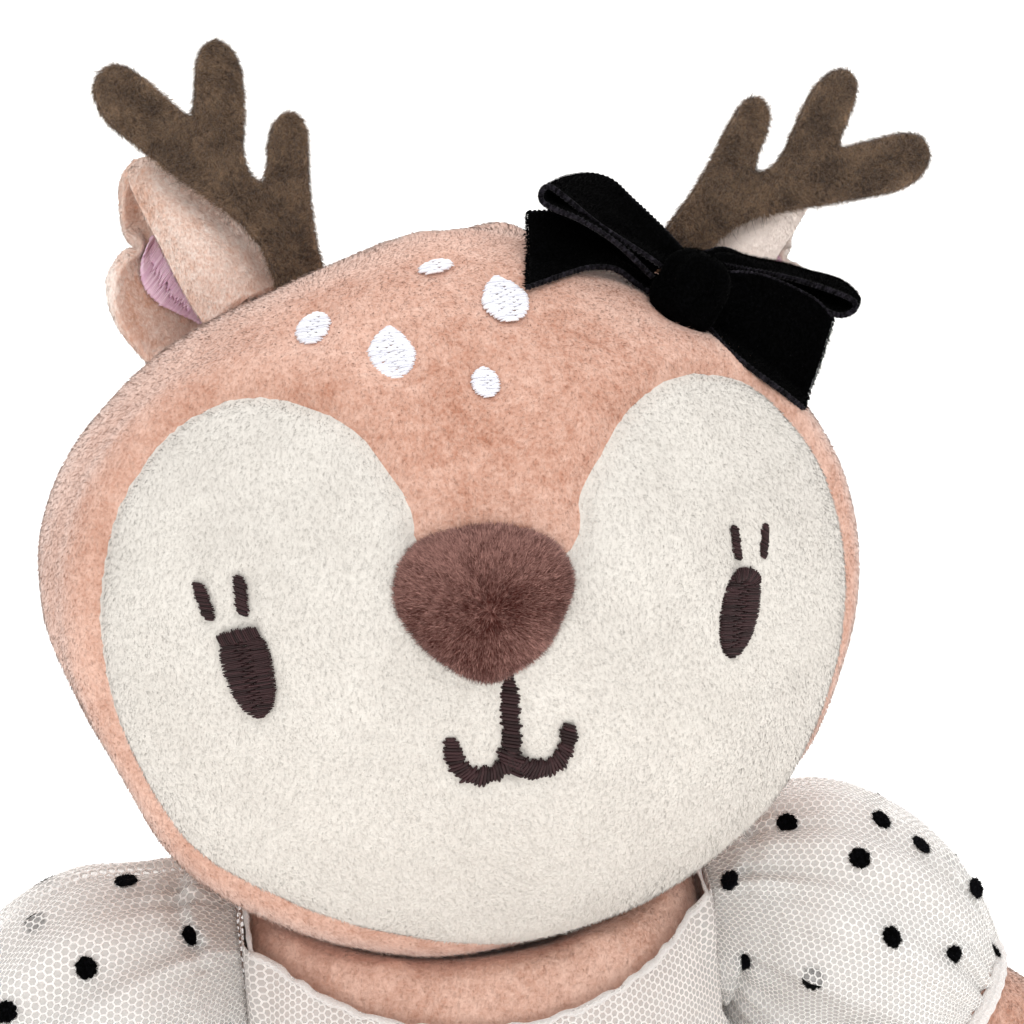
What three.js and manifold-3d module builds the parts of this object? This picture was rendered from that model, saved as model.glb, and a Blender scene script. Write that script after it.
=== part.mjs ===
// A sitting plush deer in a net dress: stuffed head, body and limbs, felt antlers, velvet bow.
// Millimetres, +Z up. The deer faces -Y. Left and right are those of someone who looks at its face.
// The origin lies on the floor, below the middle of the whole toy.

import * as THREE from 'three';
import { mergeVertices } from 'three/addons/utils/BufferGeometryUtils.js';
import Module from 'manifold-3d';

// Cloth and clearances
const touchGap = 0.3;
const turnClearance = 1.2;
const hipClearance = 0.7;
const plushWall = 2.4;
const netWall = 0.8;
const liningWall = 0.6;
const stitchHeight = 0.8;
const feltThickness = 3;
const ribbonThickness = 1.1;
const seatSink = 0.5;
const cutOverrun = 4;
const hiddenDetailShare = 0.5;

// Head, from its own centre
const headHalfWidth = 86;
const headFrontDepth = 62;
const headBackDepth = 58;
const headCrownHeight = 75;
const headChinDepth = 79;
const headCenterZ = 182;
const headLead = 18;
const crownNarrowShare = 0.5;
const crownFlattenShare = 0.2;
const crownDimpleDepth = 3.5;
const crownDimpleWidth = 9;
const crownPower = 4;
const headSides = 32;
const headRings = 16;

// Face
const facePanelSetback = 3;
const noseWidth = 34;
const noseHeight = 30;
const noseThickness = 10;
const noseShiftX = -3.5;
const noseDrop = 1.6;
const noseRootDepth = 6;
const noseSides = 24;
const eyeWidth = 10.5;
const eyeHeight = 17.5;
const eyeLean = 12;
const eyeSides = 16;
const lashWidth = 2.6;
const lashLength = 8;
const mouthStroke = 3;
const mouthStemTop = 15;
const strokeStepsPerPoint = 3;
const strokeEndShare = 0.55;
const spotSize = 10;
const spotSides = 12;

// Ears
const earLength = 48;
const earFlapReach = 24;
const earFoldRadius = 10;
const earThickness = 4;
const earSink = 9;
const earPatchLength = 20;
const leftEarLean = 20;
const rightEarLean = 46;
const earTurn = 14;
const earSetback = 19;
const earPatchAir = 0.8;
const earArcSteps = 8;
const earFrontAngle = THREE.MathUtils.degToRad(98);
const earBackAngle = THREE.MathUtils.degToRad(122);
const earPatchAngle = THREE.MathUtils.degToRad(60);

// Antlers
const antlerWidth = 43;
const antlerHeight = 52;
const antlerRoot = 17;
const antlerSetback = 4;
const rightAntlerTilt = 35;
const antlerSteps = 62;

// Bow
const ribbonWidth = 19;
const bowLoopLength = 27;
const bowLoopDepth = 8;
const bowTailLength = 30;
const knotSides = 10;
const knotRings = 8;
const bowKnotWidth = 13;
const bowKnotHeight = 16;
const bowKnotDepth = 9;
const ribbonRootShare = 0.25;
const bowLead = 29.4;
const bowSlope = 25;
const bowRise = 32;
const bowTurn = 6;
const bowTailDrop = 4;
const bowTailRoom = 2.4;
const bowPinchShare = 0.55;
const bowSpreadShare = 0.6;
const bowLoopRiseShare = 0.24;
const bowTailFallShare = 0.12;
const bowLoopSteps = 16;
const bowTailSteps = 5;

// Body
const torsoHeight = 142;
const bellyHalfWidth = 55;
const shoulderHalfWidth = 54;
const bellyHalfDepth = 42;
const shoulderHalfDepth = 35;
const seatRoundness = 4.6;
const shoulderRoundness = 3.2;
const torsoSides = 24;
const torsoRings = 12;
const dressSides = 32;
const neckRadius = 24;
const neckBallZ = 112;
const neckSetback = 10;
const neckOpenZ = 122;
const neckSides = 20;
const neckRings = 8;
const pouchHeight = 20;

// Head turn
const headTurnLimit = 20;
const sweepRings = 7;
const sweepStart = THREE.MathUtils.degToRad(76);
const reachSteps = 20;

// Arms
const armholeX = 51;
const armholeRadius = 25;
const armAxisZ = 101;
const armReach = 30;
const armLength = 84;
const armDrop = 44;
const armRadius = 15;
const armSetback = 2;
const armSides = 16;
const armRings = 8;

// Puff sleeves
const sleeveRootRadius = 18;
const sleeveHemRadius = 17.6;
const sleevePuffRadius = 33.5;
const sleeveGathers = 6;
const sleeveFoldDepth = 1.3;
const sleeveSides = 24;
const sleeveRings = 6;
const cuffWidth = 4;
const cuffThickness = 1.6;

// Legs
const hipX = 27;
const hipLead = 30;
const legLength = 124;
const legSplay = 4;
const legRadius = 18.5;
const footRadius = 19.5;
const legSides = 16;
const legRings = 8;
const hipCut = 11;
const legFoldLimit = 80;

// Dress
const waistZ = 62;
const waistbandWidth = 5;
const waistbandThickness = 1.6;
const bodiceStand = 0.7;
const bodiceRings = 4;
const necklineFrontZ = 87;
const necklineSideZ = 118.5;
const necklineBackZ = 108;
const necklinePower = 1.3;
const bindingWidth = 2.6;
const skirtSideReach = 92;
const skirtFrontReach = 82;
const skirtBackReach = 80;
const skirtHemBackZ = 3;
const skirtHemFrontZ = 43;
const skirtFolds = 16;
const skirtSides = 64;
const skirtRings = 4;
const skirtFoldDepth = 4;
const skirtSideShare = 0.2;
const skirtRiseShare = 0.6;
const skirtFlarePower = 0.8;
const liningInset = 5;
const liningStand = 1;
const liningHemLift = 2;
const liningDropShare = 0.2;
const netAir = 1.4;

// Outlines and places, as shares of the sizes that they follow. Right half only where a mirror follows.
const maskShares = [
  [0.155, 0.1], [0.18, 0.23], [0.264, 0.4], [0.364, 0.478], [0.497, 0.511], [0.635, 0.461],
  [0.744, 0.341], [0.823, 0.184], [0.862, -0.014], [0.856, -0.215], [0.809, -0.385],
  [0.715, -0.55], [0.593, -0.742], [0.401, -0.885], [0.2, -0.955], [0, -0.972],
];
const maskNotchShare = -0.04;
const noseShares = [
  [0, 0.49], [0.25, 0.44], [0.43, 0.31], [0.5, 0.1], [0.44, -0.12], [0.3, -0.34], [0.07, -0.5],
];
const nosePuffShares = [[0, 0.96], [0.36, 1], [0.6, 0.94], [0.8, 0.78], [0.93, 0.52]];
const eyeXShare = 0.552;
const eyeZShare = -0.129;
const lashShares = [
  { name: 'inner', x: 0.552, z: 0.046, lean: 0 },
  { name: 'outer', x: 0.634, z: 0.038, lean: 13 },
];
const mouthShares = [[0, -0.42], [0.073, -0.453], [0.12, -0.405], [0.131, -0.335]];
const mouthStemShare = -0.42;
const spotShares = [
  { name: 'crown', x: -0.028, z: 0.835, width: 0.74, height: 0.34, turn: 0, point: 0 },
  { name: 'high', x: 0.11, z: 0.722, width: 0.96, height: 1, turn: 10, point: 0.35 },
  { name: 'low', x: 0.022, z: 0.51, width: 0.58, height: 0.6, turn: 0, point: 0 },
  { name: 'middle', x: -0.165, z: 0.612, width: 0.92, height: 1.04, turn: -14, point: 0.4 },
  { name: 'side', x: -0.322, z: 0.69, width: 0.68, height: 0.54, turn: 35, point: 0 },
];
const antlerShares = [
  [-0.112, 0.03], [-0.086, 0.18], [-0.08, 0.35], [-0.092, 0.56], [-0.075, 0.64], [-0.02, 0.672], [0.05, 0.64],
  [0.085, 0.56], [0.1, 0.47], [0.14, 0.4], [0.2, 0.44], [0.226, 0.54], [0.205, 0.68], [0.2, 0.84],
  [0.24, 0.94], [0.31, 0.975], [0.38, 0.93], [0.41, 0.84], [0.43, 0.72], [0.46, 0.675], [0.56, 0.75],
  [0.68, 0.85], [0.79, 0.895], [0.88, 0.85], [0.89, 0.76], [0.83, 0.665], [0.66, 0.54], [0.46, 0.4],
  [0.28, 0.27], [0.17, 0.15], [0.12, 0.02],
];
const leftAntlerShares = [-0.302, 0.852];
const rightAntlerShares = [0.675, 0.885];
const leftEarShares = [0.46, 0.71];
const rightEarShares = [0.7, 0.64];
const earSpineShare = 0.42;
const earWidthShares = [0.8, 0.93, 1, 1, 0.94, 0.83, 0.68, 0.48];
const bowShares = [0.6, 0.71];
const armRadiusShares = [1, 1.02, 1.03, 1, 0.95, 0.93, 0.98, 1, 0.86];
const sleeveReachShare = 0.6;
const sleeveRadiusShares = [0, 0.26, 0.82, 1, 0.97, 0.7, 0];
const legRadiusShares = [1, 1, 0.95, 0.9, 0.88, 0.9];

// Places that follow from the sizes
const torsoY = (hipLead + legLength - skirtBackReach - skirtFoldDepth - netWall) / 2;
const headCenterY = torsoY - headLead;
const neckY = torsoY - neckSetback;
const neckInHeadY = neckY - headCenterY;
const armY = torsoY + armSetback;
const armRootX = armholeX + touchGap;
const hipY = torsoY - hipLead;
const hipZ = legRadius - seatSink;

const wasm = await Module();
wasm.setup();

// Solids

/** Turns a closed geometry into a solid that can be joined and cut. */
function solidOf(geometry) {
  const bare = geometry.clone();
  bare.deleteAttribute('normal');
  bare.deleteAttribute('uv');
  const merged = mergeVertices(bare);
  return new wasm.Manifold(new wasm.Mesh({
    numProp: 3,
    vertProperties: new Float32Array(merged.attributes.position.array),
    triVerts: new Uint32Array(merged.index.array),
  }));
}

/** Gives a solid back as a geometry. */
function geometryOf(solid) {
  const mesh = solid.getMesh();
  const geometry = new THREE.BufferGeometry();
  geometry.setAttribute('position', new THREE.BufferAttribute(mesh.vertProperties, 3));
  geometry.setIndex(new THREE.BufferAttribute(mesh.triVerts, 1));
  geometry.computeVertexNormals();
  return geometry;
}

/** Six times the volume that the triangles enclose, negative where they face inwards. */
function signedVolume(points, triangles) {
  let total = 0;
  for (let i = 0; i < triangles.length; i += 3) {
    const [a, b, c] = [points[triangles[i]], points[triangles[i + 1]], points[triangles[i + 2]]];
    total += a.dot(b.clone().cross(c));
  }
  return total;
}

/** A closed geometry from points and triangles, its faces turned outwards. */
function closedGeometry(points, triangles) {
  if (signedVolume(points, triangles) < 0) triangles.reverse();
  const geometry = new THREE.BufferGeometry();
  const places = points.flatMap((point) => point.toArray());
  geometry.setAttribute('position', new THREE.Float32BufferAttribute(places, 3));
  geometry.setIndex(triangles);
  geometry.computeVertexNormals();
  return geometry;
}

/** Joins rings of points into a closed skin, with a fan to a middle point at each end. */
function cappedSkin(rings, startPoint, endPoint) {
  const sides = rings[0].length;
  const points = rings.flat();
  const triangles = bridgedTriangles(rings.length, sides, false);
  const start = points.push(startPoint) - 1;
  const end = points.push(endPoint) - 1;
  const last = (rings.length - 1) * sides;
  for (let j = 0; j < sides; j += 1) {
    const next = (j + 1) % sides;
    triangles.push(start, next, j);
    triangles.push(end, last + j, last + next);
  }
  return closedGeometry(points, triangles);
}

/** Joins rings of points into a closed skin whose last ring meets its first, like a hoop. */
function hoopSkin(rings) {
  return closedGeometry(rings.flat(), bridgedTriangles(rings.length, rings[0].length, true));
}

/** The triangles between neighbouring rings of points. */
function bridgedTriangles(ringCount, sides, closed) {
  const triangles = [];
  const spans = closed ? ringCount : ringCount - 1;
  for (let i = 0; i < spans; i += 1) {
    const here = i * sides;
    const there = ((i + 1) % ringCount) * sides;
    for (let j = 0; j < sides; j += 1) {
      const next = (j + 1) % sides;
      triangles.push(here + j, here + next, there + next);
      triangles.push(here + j, there + next, there + j);
    }
  }
  return triangles;
}

/** A long block that fills y from back to front behind or before a front outline of x and z. */
function frontPrism(outline, back, front) {
  const shape = new THREE.Shape(outline);
  const prism = new THREE.ExtrudeGeometry(shape, { depth: back - front, bevelEnabled: false });
  prism.rotateX(Math.PI / 2);
  prism.translate(0, back, 0);
  return solidOf(prism);
}

/** A box between two corners. */
function boxBetween(low, high) {
  const box = new THREE.BoxGeometry(high.x - low.x, high.y - low.y, high.z - low.z);
  box.translate((low.x + high.x) / 2, (low.y + high.y) / 2, (low.z + high.z) / 2);
  return solidOf(box);
}

/** A smooth closed outline through points. */
function smoothOutline(points, count) {
  const curve = new THREE.SplineCurve([...points, points[0]]);
  return curve.getPoints(count).slice(0, -1);
}

/** Moves each point of a closed outline inwards along the outline's own normal. */
function insetOutline(points, distance) {
  const turn = THREE.ShapeUtils.area(points) > 0 ? 1 : -1;
  return points.map((point, i) => {
    const before = points[(i + points.length - 1) % points.length];
    const after = points[(i + 1) % points.length];
    const along = after.clone().sub(before).normalize();
    return new THREE.Vector2(point.x - turn * along.y * distance, point.y + turn * along.x * distance);
  });
}

/** An oval outline, drawn out to a point at its top by the point share. */
function ovalOutline(width, height, pointShare, count) {
  return Array.from({ length: count }, (_, i) => {
    const angle = (i / count) * Math.PI * 2;
    const up = Math.cos(angle);
    const narrow = 1 - pointShare * Math.max(up, 0) ** 2;
    return new THREE.Vector2(-Math.sin(angle) * width / 2 * narrow, up * height / 2);
  });
}

/** Turns an outline about the origin by degrees, then moves it. */
function placedOutline(outline, degrees, x, z) {
  const center = new THREE.Vector2(0, 0);
  return outline.map((point) => point.clone()
    .rotateAround(center, THREE.MathUtils.degToRad(degrees))
    .add(new THREE.Vector2(x, z)));
}

/** The outline of a thick line along a curve, with round ends. */
function strokeOutline(points, width) {
  const curve = new THREE.SplineCurve(points);
  const steps = points.length * strokeStepsPerPoint;
  const outer = [];
  const inner = [];
  for (let i = 0; i <= steps; i += 1) {
    const t = i / steps;
    const tangent = curve.getTangent(t);
    const endShare = Math.min(t, 1 - t) * steps;
    const half = width / 2 * Math.min(1, strokeEndShare + endShare);
    const side = new THREE.Vector2(-tangent.y, tangent.x).multiplyScalar(half);
    outer.push(curve.getPoint(t).add(side));
    inner.unshift(curve.getPoint(t).sub(side));
  }
  return [...outer, ...inner];
}

/** How many sides or rings a form has: fewer where it is an inside that nothing shows. */
function detail(count, hidden) {
  return hidden ? Math.round(count * hiddenDetailShare / 2) * 2 : count;
}

// Head forms, in the head's own frame

const headSolids = new Map();

/** A point of the head's surface, swollen by grow. */
function headPoint(latitude, longitude, grow) {
  const up = Math.sin(latitude);
  const side = Math.cos(latitude) * Math.sin(longitude);
  const front = -Math.cos(latitude) * Math.cos(longitude);
  const crown = Math.max(up, 0) ** crownPower;
  const x = (headHalfWidth + grow) * side * (1 - crownNarrowShare * crown);
  const y = ((front < 0 ? headFrontDepth : headBackDepth) + grow) * front * (1 - crownFlattenShare * crown);
  const z = ((up > 0 ? headCrownHeight : headChinDepth) + grow) * up;
  const dimple = up > 0 ? crownDimpleDepth * Math.exp(-(x * x + y * y) / crownDimpleWidth ** 2) : 0;
  return new THREE.Vector3(x, y, z - dimple);
}

/** The head as one closed form, swollen by grow. */
function headForm(grow) {
  const rings = [];
  const ringCount = detail(headRings, grow < 0);
  const sides = detail(headSides, grow < 0);
  for (let i = 1; i < ringCount; i += 1) {
    const latitude = -Math.PI / 2 + (i / ringCount) * Math.PI;
    const longitudes = Array.from({ length: sides }, (_, j) => (j / sides) * Math.PI * 2);
    rings.push(longitudes.map((longitude) => headPoint(latitude, longitude, grow)));
  }
  return cappedSkin(rings, headPoint(-Math.PI / 2, 0, grow), headPoint(Math.PI / 2, 0, grow));
}

/** A place on the head's front view, from shares of its half width and its height. */
function onFace(xShare, zShare) {
  return new THREE.Vector2(xShare * headHalfWidth, zShare * (zShare > 0 ? headCrownHeight : headChinDepth));
}

/** The outline of the face panel: two round lobes that meet below the nose. */
function maskOutline() {
  const right = maskShares.map(([x, z]) => onFace(x, z));
  const left = maskShares.slice(0, -1).reverse().map(([x, z]) => onFace(-x, z));
  return [onFace(0, maskNotchShare), ...right, ...left];
}

/** The head form as a solid, kept so that each swelling is made once. */
function headSolid(grow) {
  if (!headSolids.has(grow)) headSolids.set(grow, solidOf(headForm(grow)));
  return headSolids.get(grow);
}

/** A patch of stitches that lies on the head within a front outline. */
function stitchPatch(outline) {
  const top = touchGap + stitchHeight;
  const prism = frontPrism(outline, 0, -headFrontDepth - cutOverrun - top);
  return headSolid(top).subtract(headSolid(touchGap)).intersect(prism);
}

/** The neck's ball, in the head's own frame, swollen by grow; a socket clears the ball's corners. */
function neckBall(grow) {
  const corner = grow > 0 ? Math.cos(Math.PI / neckSides) : 1;
  const ball = new THREE.SphereGeometry((neckRadius + grow) / corner, neckSides, neckRings);
  ball.rotateX(Math.PI / 2);
  ball.translate(0, neckInHeadY, neckBallZ - headCenterZ);
  return ball;
}

/** The plush cover of the head, open at the face panel and the neck. */
function headCover() {
  const prism = frontPrism(maskOutline(), -facePanelSetback, -headFrontDepth - cutOverrun);
  return headSolid(0).subtract(headSolid(-plushWall)).subtract(prism)
    .subtract(solidOf(neckBall(touchGap)));
}

/** The cream panel sewn into the front of the head. */
function facePanel() {
  const outline = insetOutline(maskOutline(), touchGap);
  const prism = frontPrism(outline, -facePanelSetback, -headFrontDepth - cutOverrun);
  return headSolid(0).subtract(headSolid(-plushWall)).intersect(prism)
    .subtract(solidOf(neckBall(touchGap)));
}

/** The stuffing of the head, hollowed where the neck comes in. */
function headStuffing() {
  return headSolid(-plushWall - touchGap).subtract(solidOf(neckBall(touchGap)));
}

/** The padded nose: a rounded triangle that swells over the face. */
function nosePad() {
  const half = noseShares.map(([x, z]) => new THREE.Vector2(x * noseWidth, z * noseHeight));
  const left = half.slice(1).reverse().map((p) => new THREE.Vector2(-p.x, p.y));
  const outline = smoothOutline([...half, ...left], noseSides);
  const frontY = -headFrontDepth;
  const rings = nosePuffShares.map(([depthShare, sizeShare]) => outline.map((p) => new THREE.Vector3(
    noseShiftX + p.x * sizeShare, frontY + noseRootDepth - depthShare * (noseThickness + noseRootDepth),
    p.y * sizeShare - noseDrop)));
  const back = new THREE.Vector3(noseShiftX, frontY + noseRootDepth, -noseDrop);
  const tip = new THREE.Vector3(noseShiftX, frontY - noseThickness, -noseDrop);
  return solidOf(cappedSkin(rings, back, tip)).subtract(headSolid(touchGap));
}

/** One stitched eye. */
function eyeStitch(side) {
  const place = onFace(eyeXShare * side, eyeZShare);
  const outline = ovalOutline(eyeWidth, eyeHeight, 0, eyeSides);
  return stitchPatch(placedOutline(outline, -eyeLean * side, place.x, place.y));
}

/** One stitched lash bar. */
function lashStitch(side, lash) {
  const place = onFace(lash.x * side, lash.z);
  const bar = [
    new THREE.Vector2(0, -lashLength / 2), new THREE.Vector2(0, 0), new THREE.Vector2(0, lashLength / 2)];
  return stitchPatch(placedOutline(strokeOutline(bar, lashWidth), -lash.lean * side, place.x, place.y));
}

/** The stitched mouth: a stem from below the nose and two hooks that curl up. */
function mouthStitch() {
  const right = mouthShares.map(([x, z]) => onFace(x, z));
  const left = mouthShares.slice(1).reverse().map(([x, z]) => onFace(-x, z));
  const stemEnd = onFace(0, mouthStemShare);
  const stemStart = new THREE.Vector2(0, -mouthStemTop - noseDrop - touchGap);
  const stemMiddle = new THREE.Vector2(0, (stemEnd.y - mouthStemTop) / 2);
  const stem = [stemStart, stemMiddle, stemEnd];
  const curve = stitchPatch(strokeOutline([...left, ...right], mouthStroke));
  return curve.add(stitchPatch(strokeOutline(stem, mouthStroke)));
}

/** One white spot stitched on the forehead. */
function spotStitch(spot) {
  const place = onFace(spot.x, spot.z);
  const outline = ovalOutline(spot.width * spotSize, spot.height * spotSize, spot.point, spotSides);
  return stitchPatch(placedOutline(outline, spot.turn, place.x, place.y));
}

// Ears

/** A folded ear, or a layer in it: a curved sheet between two depths, along a stretch of the ear. */
function earSkin(side, outer, inner, start, end, frontAngle, backAngle) {
  const last = earWidthShares.length - 1;
  const rings = earWidthShares.map((_, i) => {
    const t = start + (end - start) * (i / last);
    const arc = Array.from({ length: earArcSteps + 1 }, (_, j) => (
      -frontAngle + (frontAngle + backAngle) * (j / earArcSteps)));
    return [...arc.map((angle) => earPoint(t, angle, outer)),
      ...arc.reverse().map((angle) => earPoint(t, angle, inner))];
  });
  return stackedSkin(rings, (point) => earPlace(point, side));
}

/** A point of the ear's curved sheet: share of its length, angle about the fold, depth into it. */
function earPoint(lengthShare, angle, depth) {
  const width = shareAt(earWidthShares, lengthShare);
  return new THREE.Vector3(
    (earFlapReach * width - depth) * Math.cos(angle) - earFlapReach * width * earSpineShare,
    (earFoldRadius * width - depth) * Math.sin(angle), lengthShare * earLength);
}

/** Joins flat rings, stacked along z, with caps that follow each end's own outline, then places them. */
function stackedSkin(rings, place) {
  const sides = rings[0].length;
  const triangles = bridgedTriangles(rings.length, sides, false);
  const flat = (ring) => ring.map((point) => new THREE.Vector2(point.x, point.y));
  const capOf = (ring) => THREE.ShapeUtils.triangulateShape(flat(ring), []);
  const last = (rings.length - 1) * sides;
  for (const [a, b, c] of capOf(rings[0])) triangles.push(c, b, a);
  for (const [a, b, c] of capOf(rings.at(-1))) triangles.push(last + a, last + b, last + c);
  return closedGeometry(rings.flat().map(place), triangles);
}

/** Places a point of the left ear on the head, or mirrors it to the right one. */
function earPlace(point, side) {
  const [lean, shares] = side < 0 ? [leftEarLean, leftEarShares] : [rightEarLean, rightEarShares];
  const root = onFace(shares[0], shares[1]);
  const placed = point.clone();
  placed.z -= earSink;
  placed.applyAxisAngle(new THREE.Vector3(0, 0, 1), THREE.MathUtils.degToRad(earTurn));
  placed.applyAxisAngle(new THREE.Vector3(0, 1, 0), -THREE.MathUtils.degToRad(lean));
  return new THREE.Vector3((placed.x - root.x) * -side, placed.y + earSetback, placed.z + root.y);
}

/** One ear of folded plush, cut where it is sewn to the head. */
function earCover(side) {
  const skin = earSkin(side, 0, earThickness, 0, 1, earFrontAngle, earBackAngle);
  return solidOf(skin).subtract(headSolid(touchGap));
}

/** The satin patch inside one ear. */
function earPatch(side) {
  const start = (earSink + cutOverrun) / earLength;
  const end = start + earPatchLength / earLength;
  const depth = earThickness + earPatchAir;
  const skin = earSkin(side, depth, depth + stitchHeight, start, end, earPatchAngle, earPatchAngle);
  return solidOf(skin).subtract(headSolid(touchGap));
}

// Antlers

/** One felt antler with three tines, standing on the head. */
function antlerFelt(side, placeShares, tilt) {
  const root = [new THREE.Vector2(antlerShares.at(-1)[0] * antlerWidth, -antlerRoot),
    new THREE.Vector2(antlerShares[0][0] * antlerWidth, -antlerRoot)];
  const points = antlerShares.map(([x, z]) => new THREE.Vector2(x * antlerWidth, z * antlerHeight));
  const curve = new THREE.SplineCurve(points).getPoints(antlerSteps);
  const outline = [...curve, ...root].map((p) => new THREE.Vector2(p.x * side, p.y));
  const shape = new THREE.Shape(outline);
  const felt = new THREE.ExtrudeGeometry(shape, { depth: feltThickness, bevelEnabled: false });
  felt.rotateX(Math.PI / 2);
  felt.rotateY(THREE.MathUtils.degToRad(tilt * side));
  const place = onFace(placeShares[0], placeShares[1]);
  felt.translate(place.x, antlerSetback + feltThickness / 2, place.y);
  return solidOf(felt).subtract(headSolid(touchGap));
}

// Bow, built along x with its knot at the origin and its back at y = 0

/** The bow's place on the head: it stands before the knot's seat and faces forwards and up. */
function bowMatrix() {
  const place = onFace(bowShares[0], bowShares[1]);
  const matrix = new THREE.Matrix4().makeTranslation(place.x, -bowLead, place.y);
  const [rise, slope, turn] = [-bowRise, bowSlope, bowTurn].map(THREE.MathUtils.degToRad);
  const turns = new THREE.Euler(rise, slope, turn, 'ZYX');
  return matrix.multiply(new THREE.Matrix4().makeRotationFromEuler(turns));
}

/** Width of the ribbon at a share of the way from the knot to its end. */
function ribbonShare(share) {
  return bowPinchShare + (1 - bowPinchShare) * Math.sin(Math.min(share / bowSpreadShare, 1) * Math.PI / 2);
}

/** One loop of ribbon: out from the knot, round, and back to it. */
function bowLoop(side) {
  const rings = [];
  const ribbonRootX = bowKnotWidth * ribbonRootShare;
  for (let i = 0; i < bowLoopSteps; i += 1) {
    const angle = (i / bowLoopSteps) * Math.PI * 2;
    const share = (1 - Math.cos(angle)) / 2;
    const swell = Math.sin(angle) * Math.sqrt(Math.max(share, 0));
    const half = ribbonWidth / 2 * ribbonShare(share);
    const corner = (inset, height) => {
      const reach = inset + share * (bowLoopLength - inset * 2);
      const y = -(bowLoopDepth / 2 + bowTailRoom) - swell * (bowLoopDepth / 2 - inset);
      return new THREE.Vector3(side * (ribbonRootX + reach), y, reach * bowLoopRiseShare + height);
    };
    rings.push([
      corner(0, -half), corner(0, half), corner(ribbonThickness, half), corner(ribbonThickness, -half)]);
  }
  return hoopSkin(rings);
}

/** One ribbon tail, widening from the knot to its cut end and bending back with the head's curve. */
function bowTail(side) {
  const rings = [];
  const ribbonRootX = bowKnotWidth * ribbonRootShare;
  for (let i = 0; i <= bowTailSteps; i += 1) {
    const share = i / bowTailSteps;
    const half = ribbonWidth / 2 * ribbonShare(share);
    const reach = share * bowTailLength;
    const back = share * share * bowTailDrop;
    const corner = (depth, height) => new THREE.Vector3(
      side * (ribbonRootX + reach), back - depth, height - reach * bowTailFallShare);
    rings.push([
      corner(0, -half), corner(0, half), corner(ribbonThickness, half), corner(ribbonThickness, -half)]);
  }
  const middleOf = (ring) => ring.reduce((sum, corner) => sum.add(corner), new THREE.Vector3())
    .divideScalar(ring.length);
  return cappedSkin(rings, middleOf(rings[0]), middleOf(rings.at(-1)));
}

/** The knot: a short rounded roll of ribbon over the middle, swollen by grow. */
function bowKnot(grow) {
  const knot = new THREE.SphereGeometry(1, knotSides, knotRings);
  knot.scale(bowKnotWidth / 2 + grow, bowKnotDepth / 2 + grow, bowKnotHeight / 2 + grow);
  knot.translate(0, -bowKnotDepth / 2, 0);
  return knot;
}

/** Places a shape of the bow on the head and trims what would sink into it. */
function placedBowPiece(geometry) {
  return solidOf(geometry.applyMatrix4(bowMatrix())).subtract(headSolid(touchGap));
}

/** Places a ribbon of the bow and cuts it where the knot holds it. */
function placedRibbon(geometry) {
  return placedBowPiece(geometry).subtract(placedBowPiece(bowKnot(touchGap)));
}

// Body forms, in the toy's frame

/** Height and girth of the body at an angle from its seat to its top. */
function torsoLevel(angle) {
  const up = -Math.cos(angle);
  const power = 2 / (up < 0 ? seatRoundness : shoulderRoundness);
  return { up: Math.sign(up) * Math.abs(up) ** power, girth: Math.abs(Math.sin(angle)) ** power };
}

/** A point of the body's surface at a level and a turn about z, swollen by grow. */
function torsoPoint(level, longitude, grow) {
  const share = (level.up + 1) / 2;
  const half = (torsoHeight + seatSink) / 2;
  const width = bellyHalfWidth + (shoulderHalfWidth - bellyHalfWidth) * share + grow;
  const depth = bellyHalfDepth + (shoulderHalfDepth - bellyHalfDepth) * share + grow;
  return new THREE.Vector3(
    Math.sin(longitude) * level.girth * width, torsoY - Math.cos(longitude) * level.girth * depth,
    half - seatSink + level.up * (half + grow));
}

/** A point of the body's surface at a height. */
function torsoPointAtHeight(z, longitude, grow) {
  const half = (torsoHeight + seatSink) / 2;
  const up = (z - half + seatSink) / (half + grow);
  const power = up < 0 ? seatRoundness : shoulderRoundness;
  return torsoPoint({ up, girth: (1 - Math.abs(up) ** power) ** (1 / power) }, longitude, grow);
}

/** The body as one closed form, swollen by grow. */
function torsoForm(grow) {
  const rings = [];
  const ringCount = detail(torsoRings, grow < 0);
  const sides = detail(torsoSides, grow < 0);
  for (let i = 1; i < ringCount; i += 1) {
    const level = torsoLevel((i / ringCount) * Math.PI);
    const longitudes = Array.from({ length: sides }, (_, j) => (j / sides) * Math.PI * 2);
    rings.push(longitudes.map((longitude) => torsoPoint(level, longitude, grow)));
  }
  const poles = [{ up: -1, girth: 0 }, { up: 1, girth: 0 }];
  return cappedSkin(rings, torsoPoint(poles[0], 0, grow), torsoPoint(poles[1], 0, grow));
}

/** Distance from the neck's axis to the head's surface, at one level and in one direction. */
function headReach(latitude, longitude, grow) {
  const girth = Math.cos(latitude);
  let near = 0;
  let far = (headHalfWidth + headLead) * 2;
  for (let i = 0; i < reachSteps; i += 1) {
    const reach = (near + far) / 2;
    const x = Math.sin(longitude) * reach;
    const y = neckInHeadY - Math.cos(longitude) * reach;
    const depth = (y < 0 ? headFrontDepth : headBackDepth) + grow;
    const inside = (x / (headHalfWidth + grow)) ** 2 + (y / depth) ** 2 < girth ** 2;
    if (inside) near = reach;
    else far = reach;
  }
  return far;
}

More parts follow.
